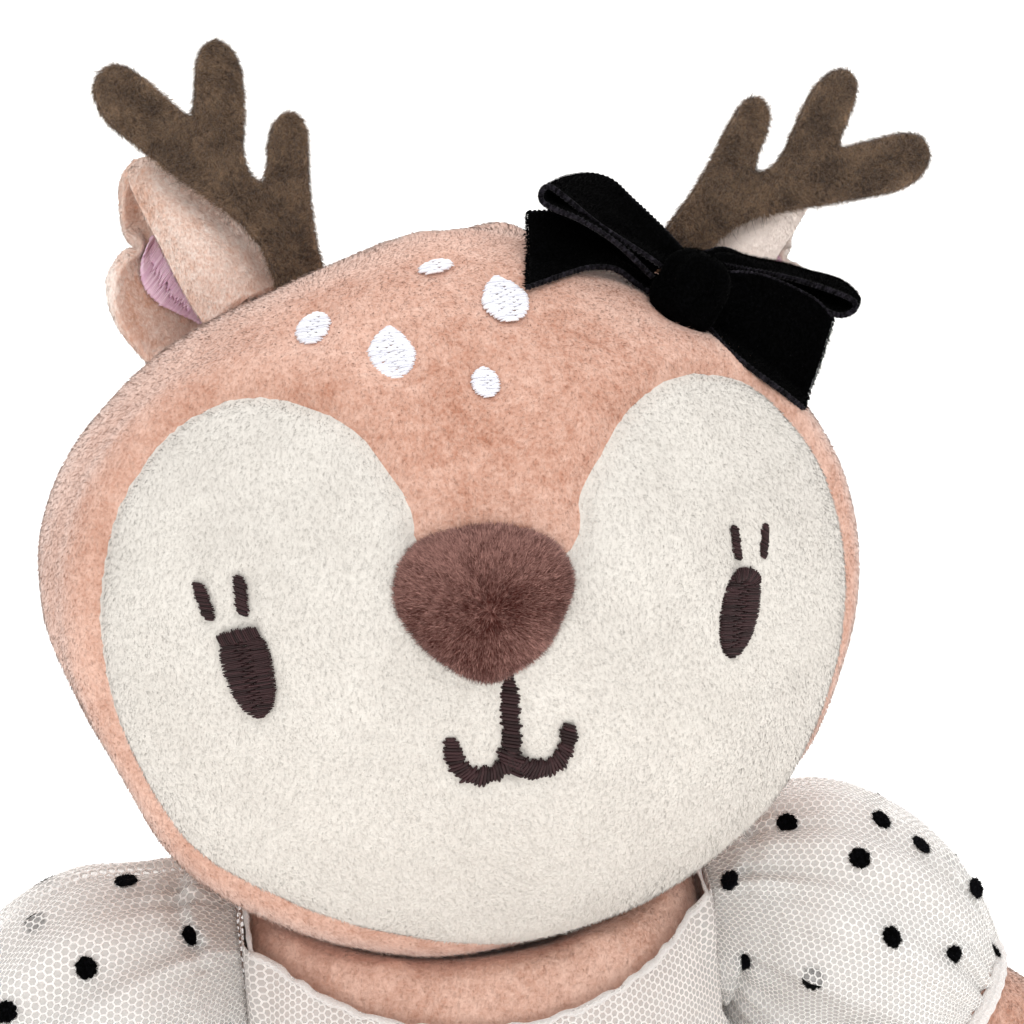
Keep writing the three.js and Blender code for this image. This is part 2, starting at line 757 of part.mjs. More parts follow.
/** The space that the lower head sweeps as it turns on the neck, and inset more. */
function headSweep(inset) {
  const grow = turnClearance + inset;
  const sides = detail(torsoSides, inset > 0);
  const limit = THREE.MathUtils.degToRad(headTurnLimit);
  const turns = [-limit, -limit / 2, 0, limit / 2, limit];
  const rings = [];
  for (let i = 0; i <= sweepRings; i += 1) {
    const latitude = -sweepStart * (1 - i / sweepRings);
    rings.push(Array.from({ length: sides }, (_, j) => {
      const longitude = (j / sides) * Math.PI * 2;
      const reach = Math.max(...turns.map((turn) => headReach(latitude, longitude + turn, grow)));
      return new THREE.Vector3(Math.sin(longitude) * reach, neckY - Math.cos(longitude) * reach,
        headCenterZ + Math.sin(latitude) * (headChinDepth + grow));
    }));
  }
  const bottom = new THREE.Vector3(0, neckY, headCenterZ - headChinDepth - grow);
  return solidOf(cappedSkin(rings, bottom, new THREE.Vector3(0, neckY, headCenterZ)));
}

/** The space that one leg sweeps as it folds down, and inset more. */
function legSweep(side, inset) {
  const grow = hipClearance + inset;
  const sides = detail(legSides, inset > 0);
  const folded = legForm(side, grow);
  folded.translate(0, -hipY, -hipZ);
  folded.rotateX(THREE.MathUtils.degToRad(legFoldLimit));
  folded.translate(0, hipY, hipZ);
  const reach = legRadius + grow;
  const between = boxBetween(
    new THREE.Vector3(side * hipX - reach, hipY - legLength / 2, -legLength),
    new THREE.Vector3(side * hipX + reach, hipY, hipZ));
  const ball = new THREE.SphereGeometry(reach, sides, sides / 2);
  ball.translate(side * hipX, hipY, hipZ);
  return solidOf(legForm(side, grow)).add(solidOf(folded)).add(between).add(solidOf(ball));
}

/** The round recess in the body's side where an arm is sewn on, swollen by grow. */
function armRecess(side, grow) {
  const reach = shoulderHalfWidth + cutOverrun;
  const recess = new THREE.CylinderGeometry(armholeRadius + grow, armholeRadius + grow, reach, torsoSides);
  recess.rotateZ(Math.PI / 2);
  recess.translate(side * (armholeX - grow + reach / 2), armY, armAxisZ);
  return solidOf(recess);
}

/** The body's form cut by head, legs, arms and floor, with the neck on top. */
function torsoSolid(inset) {
  let body = solidOf(torsoForm(-inset)).subtract(headSweep(inset));
  for (const side of [-1, 1]) {
    body = body.subtract(legSweep(side, inset)).subtract(armRecess(side, inset));
  }
  const neck = neckBall(-inset);
  neck.translate(0, headCenterY, headCenterZ);
  return body.add(solidOf(neck)).intersect(slabBetween(inset, neckOpenZ));
}

/** A wide slab between two heights. */
function slabBetween(low, high) {
  const reach = headHalfWidth * 2;
  return boxBetween(new THREE.Vector3(-reach, -reach, low), new THREE.Vector3(reach, reach + torsoY, high));
}

/** The plush cover of the body, open at the neck. */
function torsoCover() {
  const mouth = neckBall(-plushWall);
  mouth.translate(0, headCenterY, headCenterZ);
  return torsoSolid(0).subtract(torsoSolid(plushWall)).subtract(
    solidOf(mouth).intersect(slabBetween(neckBallZ, neckOpenZ + cutOverrun)));
}

/** The body's stuffing, above the pouch. */
function torsoStuffing() {
  const above = slabBetween(pouchHeight + touchGap, neckOpenZ - touchGap);
  return torsoSolid(plushWall + touchGap).intersect(above);
}

/** The pouch of pellets that weights the seat. */
function seatPouch() {
  return torsoSolid(plushWall + touchGap).intersect(slabBetween(0, pouchHeight));
}

// Limbs

/** A closed limb along a curve in a plane that is square to across, with a round far end. */
function limbForm(curve, across, radiusAt, ringCount, sides, roundStart) {
  const rings = [];
  for (let i = 0; i <= ringCount; i += 1) {
    const t = limbShare(i / ringCount, roundStart);
    rings.push(limbRing(curve, across, t, radiusAt(t), sides));
  }
  const start = roundStart ? rings.shift()[0] : curve.getPointAt(0);
  const end = rings.pop()[0];
  return cappedSkin(rings, start, end);
}

/** Spaces rings closer at a round end. */
function limbShare(share, roundStart) {
  return roundStart ? (1 - Math.cos(share * Math.PI)) / 2 : Math.sin(share * Math.PI / 2);
}

/** A ring of points about a curve. */
function limbRing(curve, across, t, radius, sides) {
  const center = curve.getPointAt(t);
  const normal = curve.getTangentAt(t).cross(across).normalize();
  return Array.from({ length: sides }, (_, j) => {
    const angle = (j / sides) * Math.PI * 2;
    return center.clone().addScaledVector(across, Math.cos(angle) * radius)
      .addScaledVector(normal, Math.sin(angle) * radius);
  });
}

/** Reads a table of shares at a share of its length, on straight lines between its values. */
function shareAt(shares, t) {
  const spot = Math.min(Math.max(t, 0), 1) * (shares.length - 1);
  const low = Math.min(Math.floor(spot), shares.length - 2);
  return shares[low] + (shares[low + 1] - shares[low]) * (spot - low);
}

/** The middle line of one arm: out of the shoulder, then down to the hand. */
function armCurve(side) {
  const drop = THREE.MathUtils.degToRad(armDrop);
  const root = new THREE.Vector3(side * armRootX, armY, armAxisZ);
  const bend = new THREE.Vector3(side * (armRootX + armReach), armY, armAxisZ);
  const fall = new THREE.Vector3(side * Math.cos(drop), 0, -Math.sin(drop));
  const hand = bend.clone().addScaledVector(fall, armLength);
  return new THREE.QuadraticBezierCurve3(root, bend, hand);
}

/** Radius of a round end of a limb at a share of its length. */
function roundEnd(t, length, radius) {
  const left = (1 - t) * length;
  return left >= radius ? 1 : Math.sqrt(Math.max(1 - ((radius - left) / radius) ** 2, 0));
}

/** One arm as a closed form, its radius changed by grow. */
function armForm(side, grow) {
  const curve = armCurve(side);
  const length = curve.getLength();
  const radiusAt = (t) => {
    const radius = armRadius * shareAt(armRadiusShares, t) * roundEnd(t, length, armRadius);
    return Math.max(radius + (t < 1 ? grow : 0), 0);
  };
  const sides = detail(armSides, grow < 0);
  return limbForm(curve, new THREE.Vector3(0, 1, 0), radiusAt, armRings, sides, false);
}

/** The plush cover of one arm, open at the shoulder. */
function armCover(side) {
  return solidOf(armForm(side, 0)).subtract(armCore(side, plushWall));
}

/** The inside of one arm, smaller than its cover by inset all round but at the shoulder. */
function armCore(side, inset) {
  const shrink = 1 - inset / (armReach + armLength);
  const core = armForm(side, -inset);
  core.translate(-side * armRootX, -armY, -armAxisZ);
  core.scale(shrink, 1, shrink);
  core.translate(side * armRootX, armY, armAxisZ);
  return solidOf(core);
}

/** One leg as a closed form that lies on the floor, its radius changed by grow. */
function legForm(side, grow) {
  const root = new THREE.Vector3(side * hipX, hipY + legRadius + grow, hipZ);
  const toe = new THREE.Vector3(side * (hipX + legSplay), hipY - legLength - grow, footRadius - seatSink);
  const curve = new THREE.LineCurve3(root, toe);
  const length = curve.getLength();
  const footSwell = footRadius - legRadius * legRadiusShares.at(-1);
  const radiusAt = (t) => {
    const radius = legRadius * shareAt(legRadiusShares, t) + footSwell * t ** 3;
    const foot = roundEnd(t, length, footRadius + grow);
    const root = roundEnd(1 - t, length, legRadius + grow);
    return (radius + grow) * foot * root;
  };
  return limbForm(curve, new THREE.Vector3(1, 0, 0), radiusAt, legRings, detail(legSides, grow < 0), true);
}

/** A block over the whole leg, from a height up and back to a depth. */
function legBlock(low, back) {
  const reach = headHalfWidth * 2;
  return boxBetween(new THREE.Vector3(-reach, -reach, low), new THREE.Vector3(reach, back, reach));
}

/** One leg's form cut flat on the floor and at its seam. */
function legSolid(side, inset) {
  return solidOf(legForm(side, -inset)).intersect(legBlock(inset, hipY + hipCut));
}

/** The plush cover of one leg, open where it is sewn to the body. */
function legCover(side) {
  const inside = solidOf(legForm(side, -plushWall)).intersect(legBlock(plushWall, hipY + legLength));
  return legSolid(side, 0).subtract(inside);
}

// Dress

/** Gathers of cloth: in and out about a ring, deepest where the share is one. */
function foldAt(angle, folds, depth) {
  return depth * Math.cos(angle * folds);
}

/** One puff sleeve: a gathered shell of net from the armhole to the cuff. */
function puffSleeve(side) {
  const curve = armCurve(side);
  const ringAt = (share, inset) => {
    const radius = sleeveRootRadius + (sleeveHemRadius - sleeveRootRadius) * share
      + (sleevePuffRadius - sleeveRootRadius) * shareAt(sleeveRadiusShares, share);
    const depth = sleeveFoldDepth * Math.sin(share * Math.PI);
    const t = share * sleeveReachShare;
    const center = curve.getPointAt(t);
    const across = new THREE.Vector3(0, 1, 0);
    const normal = curve.getTangentAt(t).cross(across).normalize();
    return Array.from({ length: sleeveSides }, (_, j) => {
      const angle = (j / sleeveSides) * Math.PI * 2;
      const reach = radius - inset + foldAt(angle, sleeveGathers, depth);
      return center.clone().addScaledVector(across, Math.cos(angle) * reach)
        .addScaledVector(normal, Math.sin(angle) * reach);
    });
  };
  const shares = Array.from({ length: sleeveRings + 1 }, (_, i) => i / sleeveRings);
  return hoopSkin([...shares.map((s) => ringAt(s, 0)), ...shares.reverse().map((s) => ringAt(s, netWall))]);
}

/** The gathered band that closes a sleeve round the arm. */
function sleeveCuff(side) {
  const curve = armCurve(side);
  const t = sleeveReachShare + (touchGap + cuffWidth / 2) / curve.getLength();
  const profile = [
    [sleeveHemRadius - cuffThickness, -cuffWidth / 2], [sleeveHemRadius, -cuffWidth / 2],
    [sleeveHemRadius, cuffWidth / 2], [sleeveHemRadius - cuffThickness, cuffWidth / 2],
    [sleeveHemRadius - cuffThickness, -cuffWidth / 2]].map(([r, z]) => new THREE.Vector2(r, z));
  const band = new THREE.LatheGeometry(profile, sleeveSides);
  band.rotateX(Math.PI / 2);
  const turn = new THREE.Quaternion().setFromUnitVectors(new THREE.Vector3(0, 0, 1), curve.getTangentAt(t));
  band.applyQuaternion(turn);
  const center = curve.getPointAt(t);
  band.translate(center.x, center.y, center.z);
  return band;
}

/** Height of the neckline at a turn about z, where 0 faces front. */
function necklineHeight(longitude) {
  const front = Math.max(Math.cos(longitude), 0);
  const back = Math.max(-Math.cos(longitude), 0);
  return necklineSideZ - (necklineSideZ - necklineFrontZ) * front ** necklinePower
    - (necklineSideZ - necklineBackZ) * back ** necklinePower;
}

/** Cuts both armholes into a piece of the dress. */
function withArmholes(solid) {
  return solid.subtract(armRecess(-1, 0)).subtract(armRecess(1, 0));
}

/** The bodice of net over the chest, with its armholes. */
function dressBodice() {
  const ringAt = (share, grow) => Array.from({ length: dressSides }, (_, j) => {
    const longitude = (j / dressSides) * Math.PI * 2;
    const top = necklineHeight(longitude) - bindingWidth;
    const base = waistZ + waistbandWidth / 2 + touchGap;
    return torsoPointAtHeight(base + (top - base) * share, longitude, grow);
  });
  const shares = Array.from({ length: bodiceRings + 1 }, (_, i) => i / bodiceRings);
  const skin = hoopSkin([...shares.map((s) => ringAt(s, bodiceStand + netWall)),
    ...shares.reverse().map((s) => ringAt(s, bodiceStand))]);
  return withArmholes(solidOf(skin).subtract(headSweep(0)));
}

/** A band that runs round the body, between two heights at each turn. */
function bodyBand(lowAt, highAt, stand, thickness, count) {
  const rings = Array.from({ length: count }, (_, j) => {
    const longitude = (j / count) * Math.PI * 2;
    const corner = (z, grow) => torsoPointAtHeight(z, longitude, grow);
    return [
      corner(lowAt(longitude), stand), corner(lowAt(longitude), stand + thickness),
      corner(highAt(longitude), stand + thickness), corner(highAt(longitude), stand)];
  });
  return hoopSkin(rings);
}

/** The folded binding along the neckline. */
function necklineBinding() {
  const band = bodyBand((a) => necklineHeight(a) - bindingWidth + touchGap, (a) => necklineHeight(a),
    bodiceStand, netWall * 2, dressSides);
  return withArmholes(solidOf(band).subtract(headSweep(0)));
}

/** The band in the waist seam. */
function dressWaistband() {
  return bodyBand(() => waistZ - waistbandWidth / 2, () => waistZ + waistbandWidth / 2,
    bodiceStand, waistbandThickness, dressSides);
}

/** One layer of the skirt: gathered at the waist, folding outwards to a hem that rises over the legs. */
function skirtLayer(inset, stand, wall, hemLift) {
  const top = waistZ - waistbandWidth / 2 - touchGap;
  const ringAt = (share, grow) => Array.from({ length: skirtSides }, (_, j) => {
    const longitude = (j / skirtSides) * Math.PI * 2;
    const waist = torsoPointAtHeight(top, longitude, stand + grow);
    const lift = Math.min(Math.max((Math.cos(longitude) - skirtSideShare) / skirtRiseShare, 0), 1);
    const rise = lift * lift * (3 - 2 * lift);
    const hemZ = skirtHemBackZ + hemLift + (skirtHemFrontZ - skirtHemBackZ) * rise;
    const reachY = Math.cos(longitude) > 0 ? skirtFrontReach : skirtBackReach;
    const fold = foldAt(longitude, skirtFolds, skirtFoldDepth * share);
    const flare = share ** skirtFlarePower;
    const hemX = Math.sin(longitude) * (skirtSideReach - inset + fold + grow);
    const hemY = torsoY - Math.cos(longitude) * (reachY - inset + fold + grow);
    return new THREE.Vector3(waist.x + (hemX - waist.x) * flare, waist.y + (hemY - waist.y) * flare,
      top - inset * share * liningDropShare + (hemZ - top) * share);
  });
  const shares = Array.from({ length: skirtRings + 1 }, (_, i) => i / skirtRings);
  return hoopSkin([...shares.map((s) => ringAt(s, wall)), ...shares.reverse().map((s) => ringAt(s, 0))]);
}

// Materials

/** A matt cloth finish. */
function clothFinish(color, roughness) {
  return new THREE.MeshStandardMaterial({ color, roughness, metalness: 0 });
}
const finishes = {
  peachPlush: clothFinish(0xd9a183, 0.95),
  creamPlush: clothFinish(0xefeae0, 0.95),
  nosePlush: clothFinish(0x76504a, 0.95),
  darkThread: clothFinish(0x372624, 0.6),
  whiteThread: clothFinish(0xeeeef4, 0.55),
  pinkThread: clothFinish(0xe4bed7, 0.55),
  brownFelt: clothFinish(0x5c4a3c, 1),
  blackVelvet: clothFinish(0x0c0c0e, 0.9),
  ivoryNet: clothFinish(0xe9e2da, 0.8),
  ivoryLining: clothFinish(0xefe8de, 0.7),
  fibreFill: clothFinish(0xf6f4f0, 1),
  pelletPouch: clothFinish(0xe2dccf, 0.9),
};

// Assembly

/** A named mesh of a solid or a geometry. */
function piece(name, shape, material) {
  const geometry = shape.isBufferGeometry ? shape : geometryOf(shape);
  const mesh = new THREE.Mesh(geometry, material);
  mesh.name = name;
  return mesh;
}

/** The head with its face, ears, antlers and bow. */
function headGroup() {
  const group = new THREE.Group();
  group.position.set(0, headCenterY, headCenterZ);
  group.add(piece('head_cover', headCover(), finishes.peachPlush));
  group.add(piece('face_panel', facePanel(), finishes.creamPlush));
  group.add(piece('head_stuffing', headStuffing(), finishes.fibreFill));
  group.add(piece('nose', nosePad(), finishes.nosePlush));
  group.add(piece('mouth', mouthStitch(), finishes.darkThread));
  for (const [side, word] of [[-1, 'left'], [1, 'right']]) {
    group.add(piece(`eye_${word}`, eyeStitch(side), finishes.darkThread));
    for (const lash of lashShares) {
      group.add(piece(`lash_${word}_${lash.name}`, lashStitch(side, lash), finishes.darkThread));
    }
    group.add(piece(`ear_${word}`, earCover(side), finishes.peachPlush));
    group.add(piece(`ear_patch_${word}`, earPatch(side), finishes.pinkThread));
    group.add(piece(`bow_loop_${word}`, placedRibbon(bowLoop(side)), finishes.blackVelvet));
    group.add(piece(`bow_tail_${word}`, placedRibbon(bowTail(side)), finishes.blackVelvet));
  }
  for (const spot of spotShares) {
    group.add(piece(`spot_${spot.name}`, spotStitch(spot), finishes.whiteThread));
  }
  group.add(piece('antler_left', antlerFelt(-1, leftAntlerShares, 0), finishes.brownFelt));
  group.add(piece('antler_right', antlerFelt(1, rightAntlerShares, rightAntlerTilt), finishes.brownFelt));
  group.add(piece('bow_knot', placedBowPiece(bowKnot(0)), finishes.blackVelvet));
  return group;
}

/** The body with its stuffing and the dress that is fixed to it. */
function bodyGroup() {
  const group = new THREE.Group();
  group.add(piece('body_cover', torsoCover(), finishes.peachPlush));
  group.add(piece('body_stuffing', torsoStuffing(), finishes.fibreFill));
  group.add(piece('seat_pouch', seatPouch(), finishes.pelletPouch));
  group.add(piece('dress_bodice', dressBodice(), finishes.ivoryNet));
  group.add(piece('neckline_binding', necklineBinding(), finishes.ivoryNet));
  group.add(piece('dress_waistband', dressWaistband(), finishes.ivoryNet));
  const netStand = liningStand + liningWall + netAir;
  group.add(piece('skirt_net', skirtLayer(0, netStand, netWall, 0), finishes.ivoryNet));
  const lining = skirtLayer(liningInset, liningStand, liningWall, liningHemLift);
  group.add(piece('skirt_lining', lining, finishes.ivoryLining));
  return group;
}

/** One arm in its puff sleeve. */
function armGroup(side, word) {
  const group = new THREE.Group();
  group.add(piece(`arm_cover_${word}`, armCover(side), finishes.peachPlush));
  group.add(piece(`arm_stuffing_${word}`, armCore(side, plushWall + touchGap), finishes.fibreFill));
  group.add(piece(`sleeve_${word}`, puffSleeve(side), finishes.ivoryNet));
  group.add(piece(`sleeve_cuff_${word}`, sleeveCuff(side), finishes.ivoryNet));
  return group;
}

/** One leg. */
function legGroup(side, word) {
  const group = new THREE.Group();
  group.add(piece(`leg_cover_${word}`, legCover(side), finishes.peachPlush));
  group.add(piece(`leg_stuffing_${word}`, legSolid(side, plushWall + touchGap), finishes.fibreFill));
  return group;
}

const deer = new THREE.Group();
deer.add(headGroup());
deer.add(bodyGroup());
for (const [side, word] of [[-1, 'left'], [1, 'right']]) {
  deer.add(armGroup(side, word));
  deer.add(legGroup(side, word));
}

export default deer;
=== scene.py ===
"""A sitting plush deer in a dotted net dress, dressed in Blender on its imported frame.

Lengths in the classes are in millimetres, in the frame of the source: +Z up, the face looks along -Y,
and left is the left of someone who looks at the face. Meshes are made in metres.
"""

import logging
import math
from dataclasses import dataclass, field
from enum import Enum
from typing import Callable, Sequence

import bmesh
import bpy
import numpy as np
from mathutils import Matrix, Vector, geometry, noise
from mathutils.bvhtree import BVHTree


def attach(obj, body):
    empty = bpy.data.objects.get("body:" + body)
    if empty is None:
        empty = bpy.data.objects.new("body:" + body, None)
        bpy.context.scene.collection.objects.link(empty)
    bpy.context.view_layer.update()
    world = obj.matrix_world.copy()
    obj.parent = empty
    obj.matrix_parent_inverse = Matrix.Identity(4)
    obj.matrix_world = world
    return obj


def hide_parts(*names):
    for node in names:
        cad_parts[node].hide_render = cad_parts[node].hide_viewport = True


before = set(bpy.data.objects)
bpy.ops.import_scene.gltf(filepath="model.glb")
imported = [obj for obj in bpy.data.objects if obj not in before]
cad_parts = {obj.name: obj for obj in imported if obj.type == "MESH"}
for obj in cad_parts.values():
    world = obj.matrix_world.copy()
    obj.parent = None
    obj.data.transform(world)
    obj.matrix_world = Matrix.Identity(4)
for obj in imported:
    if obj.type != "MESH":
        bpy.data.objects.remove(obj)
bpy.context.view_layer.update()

log = logging.getLogger("plush_deer")
MM = 0.001
CLOTH_FRAMES = 20
TAU = 2 * math.pi
Array = np.ndarray
Piece = bpy.types.Object
Tree = bpy.types.NodeTree
Node = bpy.types.Node
Socket = bpy.types.NodeSocket


class Side(Enum):
    """The deer's sides, as someone who looks at its face sees them."""

    LEFT = -1
    RIGHT = 1

    @property
    def word(self) -> str:
        """The side's name in piece and body names."""
        return self.name.lower()


class Lay(Enum):
    """Which way a pile lies on its cloth."""

    DOWN = "down"
    SWIRL = "swirl"
    OUT = "out"


# Small mathematics


def unit(vectors: Array) -> Array:
    """Scales rows of vectors to length one."""
    return vectors / np.maximum(np.linalg.norm(vectors, axis=-1, keepdims=True), 1e-12)


def smooth_step(values: Array) -> Array:
    """Eases values between 0 and 1, and clips those outside."""
    t = np.clip(values, 0.0, 1.0)
    return t * t * (3.0 - 2.0 * t)


def spline(points: Sequence[Sequence[float]], count: int, closed: bool = False) -> Array:
    """Runs a smooth curve through points.

    Args:
        points: The places that the curve passes.
        count: How many points to return.
        closed: Whether the curve comes back to its start.

    Returns:
        Points spaced evenly along the curve.
    """
    p = np.asarray(points, float)
    n = len(p)
    padded = np.vstack([p[-1], p, p[0], p[1]]) if closed else np.vstack(
        [2 * p[0] - p[1], p, 2 * p[-1] - p[-2]])
    spans = n if closed else n - 1
    t = np.linspace(0, 1, 24, endpoint=False)[:, None]
    parts = []
    for i in range(spans):
        a, b, c, d = padded[i:i + 4]
        parts.append(0.5 * (2 * b + (c - a) * t + (2 * a - 5 * b + 4 * c - d) * t ** 2
                            + (3 * b - a - 3 * c + d) * t ** 3))
    line = np.vstack(parts + [p[:1] if closed else p[-1:]])
    ways = travelled(line)
    stops = np.linspace(0, ways[-1], count, endpoint=not closed)
    return np.stack([np.interp(stops, ways, line[:, k]) for k in range(p.shape[1])], axis=1)


def travelled(line: Array) -> Array:
    """How far along a line each of its points is."""
    return np.concatenate([[0], np.cumsum(np.linalg.norm(np.diff(line, axis=0), axis=1))])


def all_round(count: int) -> Array:
    """Evenly spaced angles of one full turn."""
    return np.linspace(0, TAU, count, endpoint=False)


def turn_in_front(degrees: float) -> Array:
    """The matrix that turns upright points to the right, as the front view shows them."""
    c, s = math.cos(math.radians(degrees)), math.sin(math.radians(degrees))
    return np.array([[c, 0, s], [0, 1, 0], [-s, 0, c]])


def pairs(first: Array, second: Array) -> Array:
    """Rows of every value of the first list with every value of the second."""
    return np.stack(np.meshgrid(first, second, indexing="ij"), axis=-1).reshape(-1, 2)


def table_at(values: Sequence[float], shares: Array) -> Array:
    """Reads an evenly spaced table smoothly at shares of its length from 0 to 1."""
    line = spline(np.column_stack([np.linspace(0, 1, len(values)), values]), 200)
    return np.interp(shares, line[:, 0], line[:, 1])


def outline_distance(points: Array, outline: Array) -> Array:
    """Measures how far points lie inside a closed outline.

    Args:
        points: Rows of two coordinates.
        outline: The outline's points in order.

    Returns:
        Distances, positive inside and negative outside.
    """
    best = np.full(len(points), np.inf)
    inside = np.zeros(len(points), bool)
    for a, b in zip(outline, np.roll(outline, -1, axis=0)):
        edge = b - a
        t = np.clip(((points - a) @ edge) / max(edge @ edge, 1e-12), 0, 1)
        best = np.minimum(best, np.linalg.norm(points - a - t[:, None] * edge, axis=1))
        if a[1] != b[1]:
            crosses = (points[:, 1] > min(a[1], b[1])) & (points[:, 1] <= max(a[1], b[1]))
            reach = a[0] + (points[:, 1] - a[1]) * edge[0] / edge[1]
            inside ^= crosses & (points[:, 0] < reach)
    return np.where(inside, best, -best)


def soft_noise(points: Array, wave: float, seed: float = 0.0) -> Array:
    """Gives slow random swells over a surface.

    Args:
        points: Rows of x, y, z in millimetres.
        wave: Rough distance from swell to swell.
        seed: Shifts the pattern.

    Returns:
        Values from about -1 to 1.
    """
    return np.array([noise.noise(Vector(p / wave) + Vector((seed, -seed, seed * 0.5))) for p in points])


# Meshes


def add_object(name: str, data: bpy.types.ID) -> Piece:
    """Puts a mesh, a lamp or a camera into the scene.

    Args:
        name: The object's name.
        data: What it shows.

    Returns:
        The new object.
    """
    made = bpy.data.objects.new(name, data)
    bpy.context.scene.collection.objects.link(made)
    return made


def make_piece(name: str, points: Array, faces: Sequence[Sequence[int]]) -> Piece:
    """Makes a mesh object at the origin.

    Args:
        name: The piece's name.
        points: Rows of x, y, z in millimetres.
        faces: Corner numbers of each face.

    Returns:
        The new object.
    """
    mesh = bpy.data.meshes.new(name)
    rows = faces.tolist() if isinstance(faces, np.ndarray) else list(faces)
    mesh.from_pydata((np.asarray(points) * MM).tolist(), [], rows)
    mesh.update()
    mesh.shade_smooth()
    return add_object(name, mesh)


def points_of(piece: Piece) -> Array:
    """The mesh's points in millimetres.

    Args:
        piece: The mesh object.

    Returns:
        Rows of x, y, z.
    """
    flat = np.empty(len(piece.data.vertices) * 3)
    piece.data.vertices.foreach_get("co", flat)
    return flat.reshape(-1, 3) / MM


def normals_of(piece: Piece) -> Array:
    """The mesh's point normals.

    Args:
        piece: The mesh object.

    Returns:
        Rows of unit normals, one for each point.
    """
    flat = np.empty(len(piece.data.vertices) * 3)
    piece.data.vertex_normals.foreach_get("vector", flat)
    return flat.reshape(-1, 3)


def surface_tree(piece: Piece) -> BVHTree:
    """A tree that finds where lines meet the mesh."""
    return BVHTree.FromObject(piece, bpy.context.evaluated_depsgraph_get())


def set_points(piece: Piece, points: Array) -> None:
    """Moves the mesh's points to places in millimetres."""
    piece.data.vertices.foreach_set("co", (points * MM).ravel())
    piece.data.update()


def grid_faces(rows: int, columns: int, wrap_columns: bool = False,
               wrap_rows: bool = False) -> list[tuple[int, ...]]:
    """Lists the faces of a grid of points that are stored row after row.

    Args:
        rows: Number of rows.
        columns: Points in a row.
        wrap_columns: Whether each row closes on itself.
        wrap_rows: Whether the last row meets the first.

    Returns:
        Faces of four corners.
    """
    faces = []
    for i in range(rows if wrap_rows else rows - 1):
        here, there = i * columns, ((i + 1) % rows) * columns
        for j in range(columns if wrap_columns else columns - 1):
            k = (j + 1) % columns
            faces.append((here + j, here + k, there + k, there + j))
    return faces


def tube_faces(rows: int, columns: int) -> list[tuple[int, ...]]:
    """Lists the faces of a tube of rings, with a cap at either end.

    Args:
        rows: Number of rings.
        columns: Points in a ring.

    Returns:
        Faces of four corners and the two caps.
    """
    last = (rows - 1) * columns
    caps = [tuple(range(columns))[::-1], tuple(range(last, last + columns))]
    return grid_faces(rows, columns, wrap_columns=True) + caps


def turn_outwards(piece: Piece) -> None:
    """Points the faces of a closed mesh outwards.

    Args:
        piece: The mesh object.
    """
    work = bmesh.new()
    work.from_mesh(piece.data)
    bmesh.ops.recalc_face_normals(work, faces=work.faces)
    work.to_mesh(piece.data)
    work.free()
    piece.data.update()


def set_uv(piece: Piece, values: Array) -> None:
    """Gives each point a place on the flat cloth, as two lengths in millimetres.

    Args:
        piece: The mesh object.
        values: Two lengths for each point, in millimetres.
    """
    layer = piece.data.uv_layers.new(name="cloth")
    corners = np.empty(len(piece.data.loops), int)
    piece.data.loops.foreach_get("vertex_index", corners)
    layer.data.foreach_set("uv", (values[corners] * MM).astype(np.float32).ravel())


def set_values(piece: Piece, name: str, values: Array) -> None:
    """Stores a number or a vector with each point of a mesh, under a name.

    Args:
        piece: The mesh object.
        name: The attribute's name.
        values: One row for each point.
    """
    kind, key = ("FLOAT_VECTOR", "vector") if values.ndim == 2 else ("FLOAT", "value")
    attribute = piece.data.attributes.new(name, kind, "POINT")
    attribute.data.foreach_set(key, values.astype(np.float32).ravel())


def apply_modifiers(piece: Piece) -> None:
    """Turns an object's modifiers into plain mesh.

    Args:
        piece: The mesh object.
    """
    graph = bpy.context.evaluated_depsgraph_get()
    graph.update()
    mesh = bpy.data.meshes.new_from_object(piece.evaluated_get(graph), depsgraph=graph)
    old = piece.data
    piece.modifiers.clear()
    piece.data = mesh
    mesh.name = piece.name
    bpy.data.meshes.remove(old)


def add_wall(piece: Piece, thickness: float, offset: float = 0.0, levels: int = 0) -> None:
    """Gives a sheet its thickness, and rounds it.

    Args:
        piece: The sheet.
        thickness: In millimetres.
        offset: -1 grows inwards from the sheet, 1 outwards, 0 both ways.
        levels: How often it is subdivided afterwards.
    """
    wall = piece.modifiers.new("wall", "SOLIDIFY")
    wall.thickness = thickness * MM
    wall.offset = offset
    wall.use_even_offset = False
    if levels:
        smooth = piece.modifiers.new("smooth", "SUBSURF")
        smooth.levels = smooth.render_levels = levels
    apply_modifiers(piece)


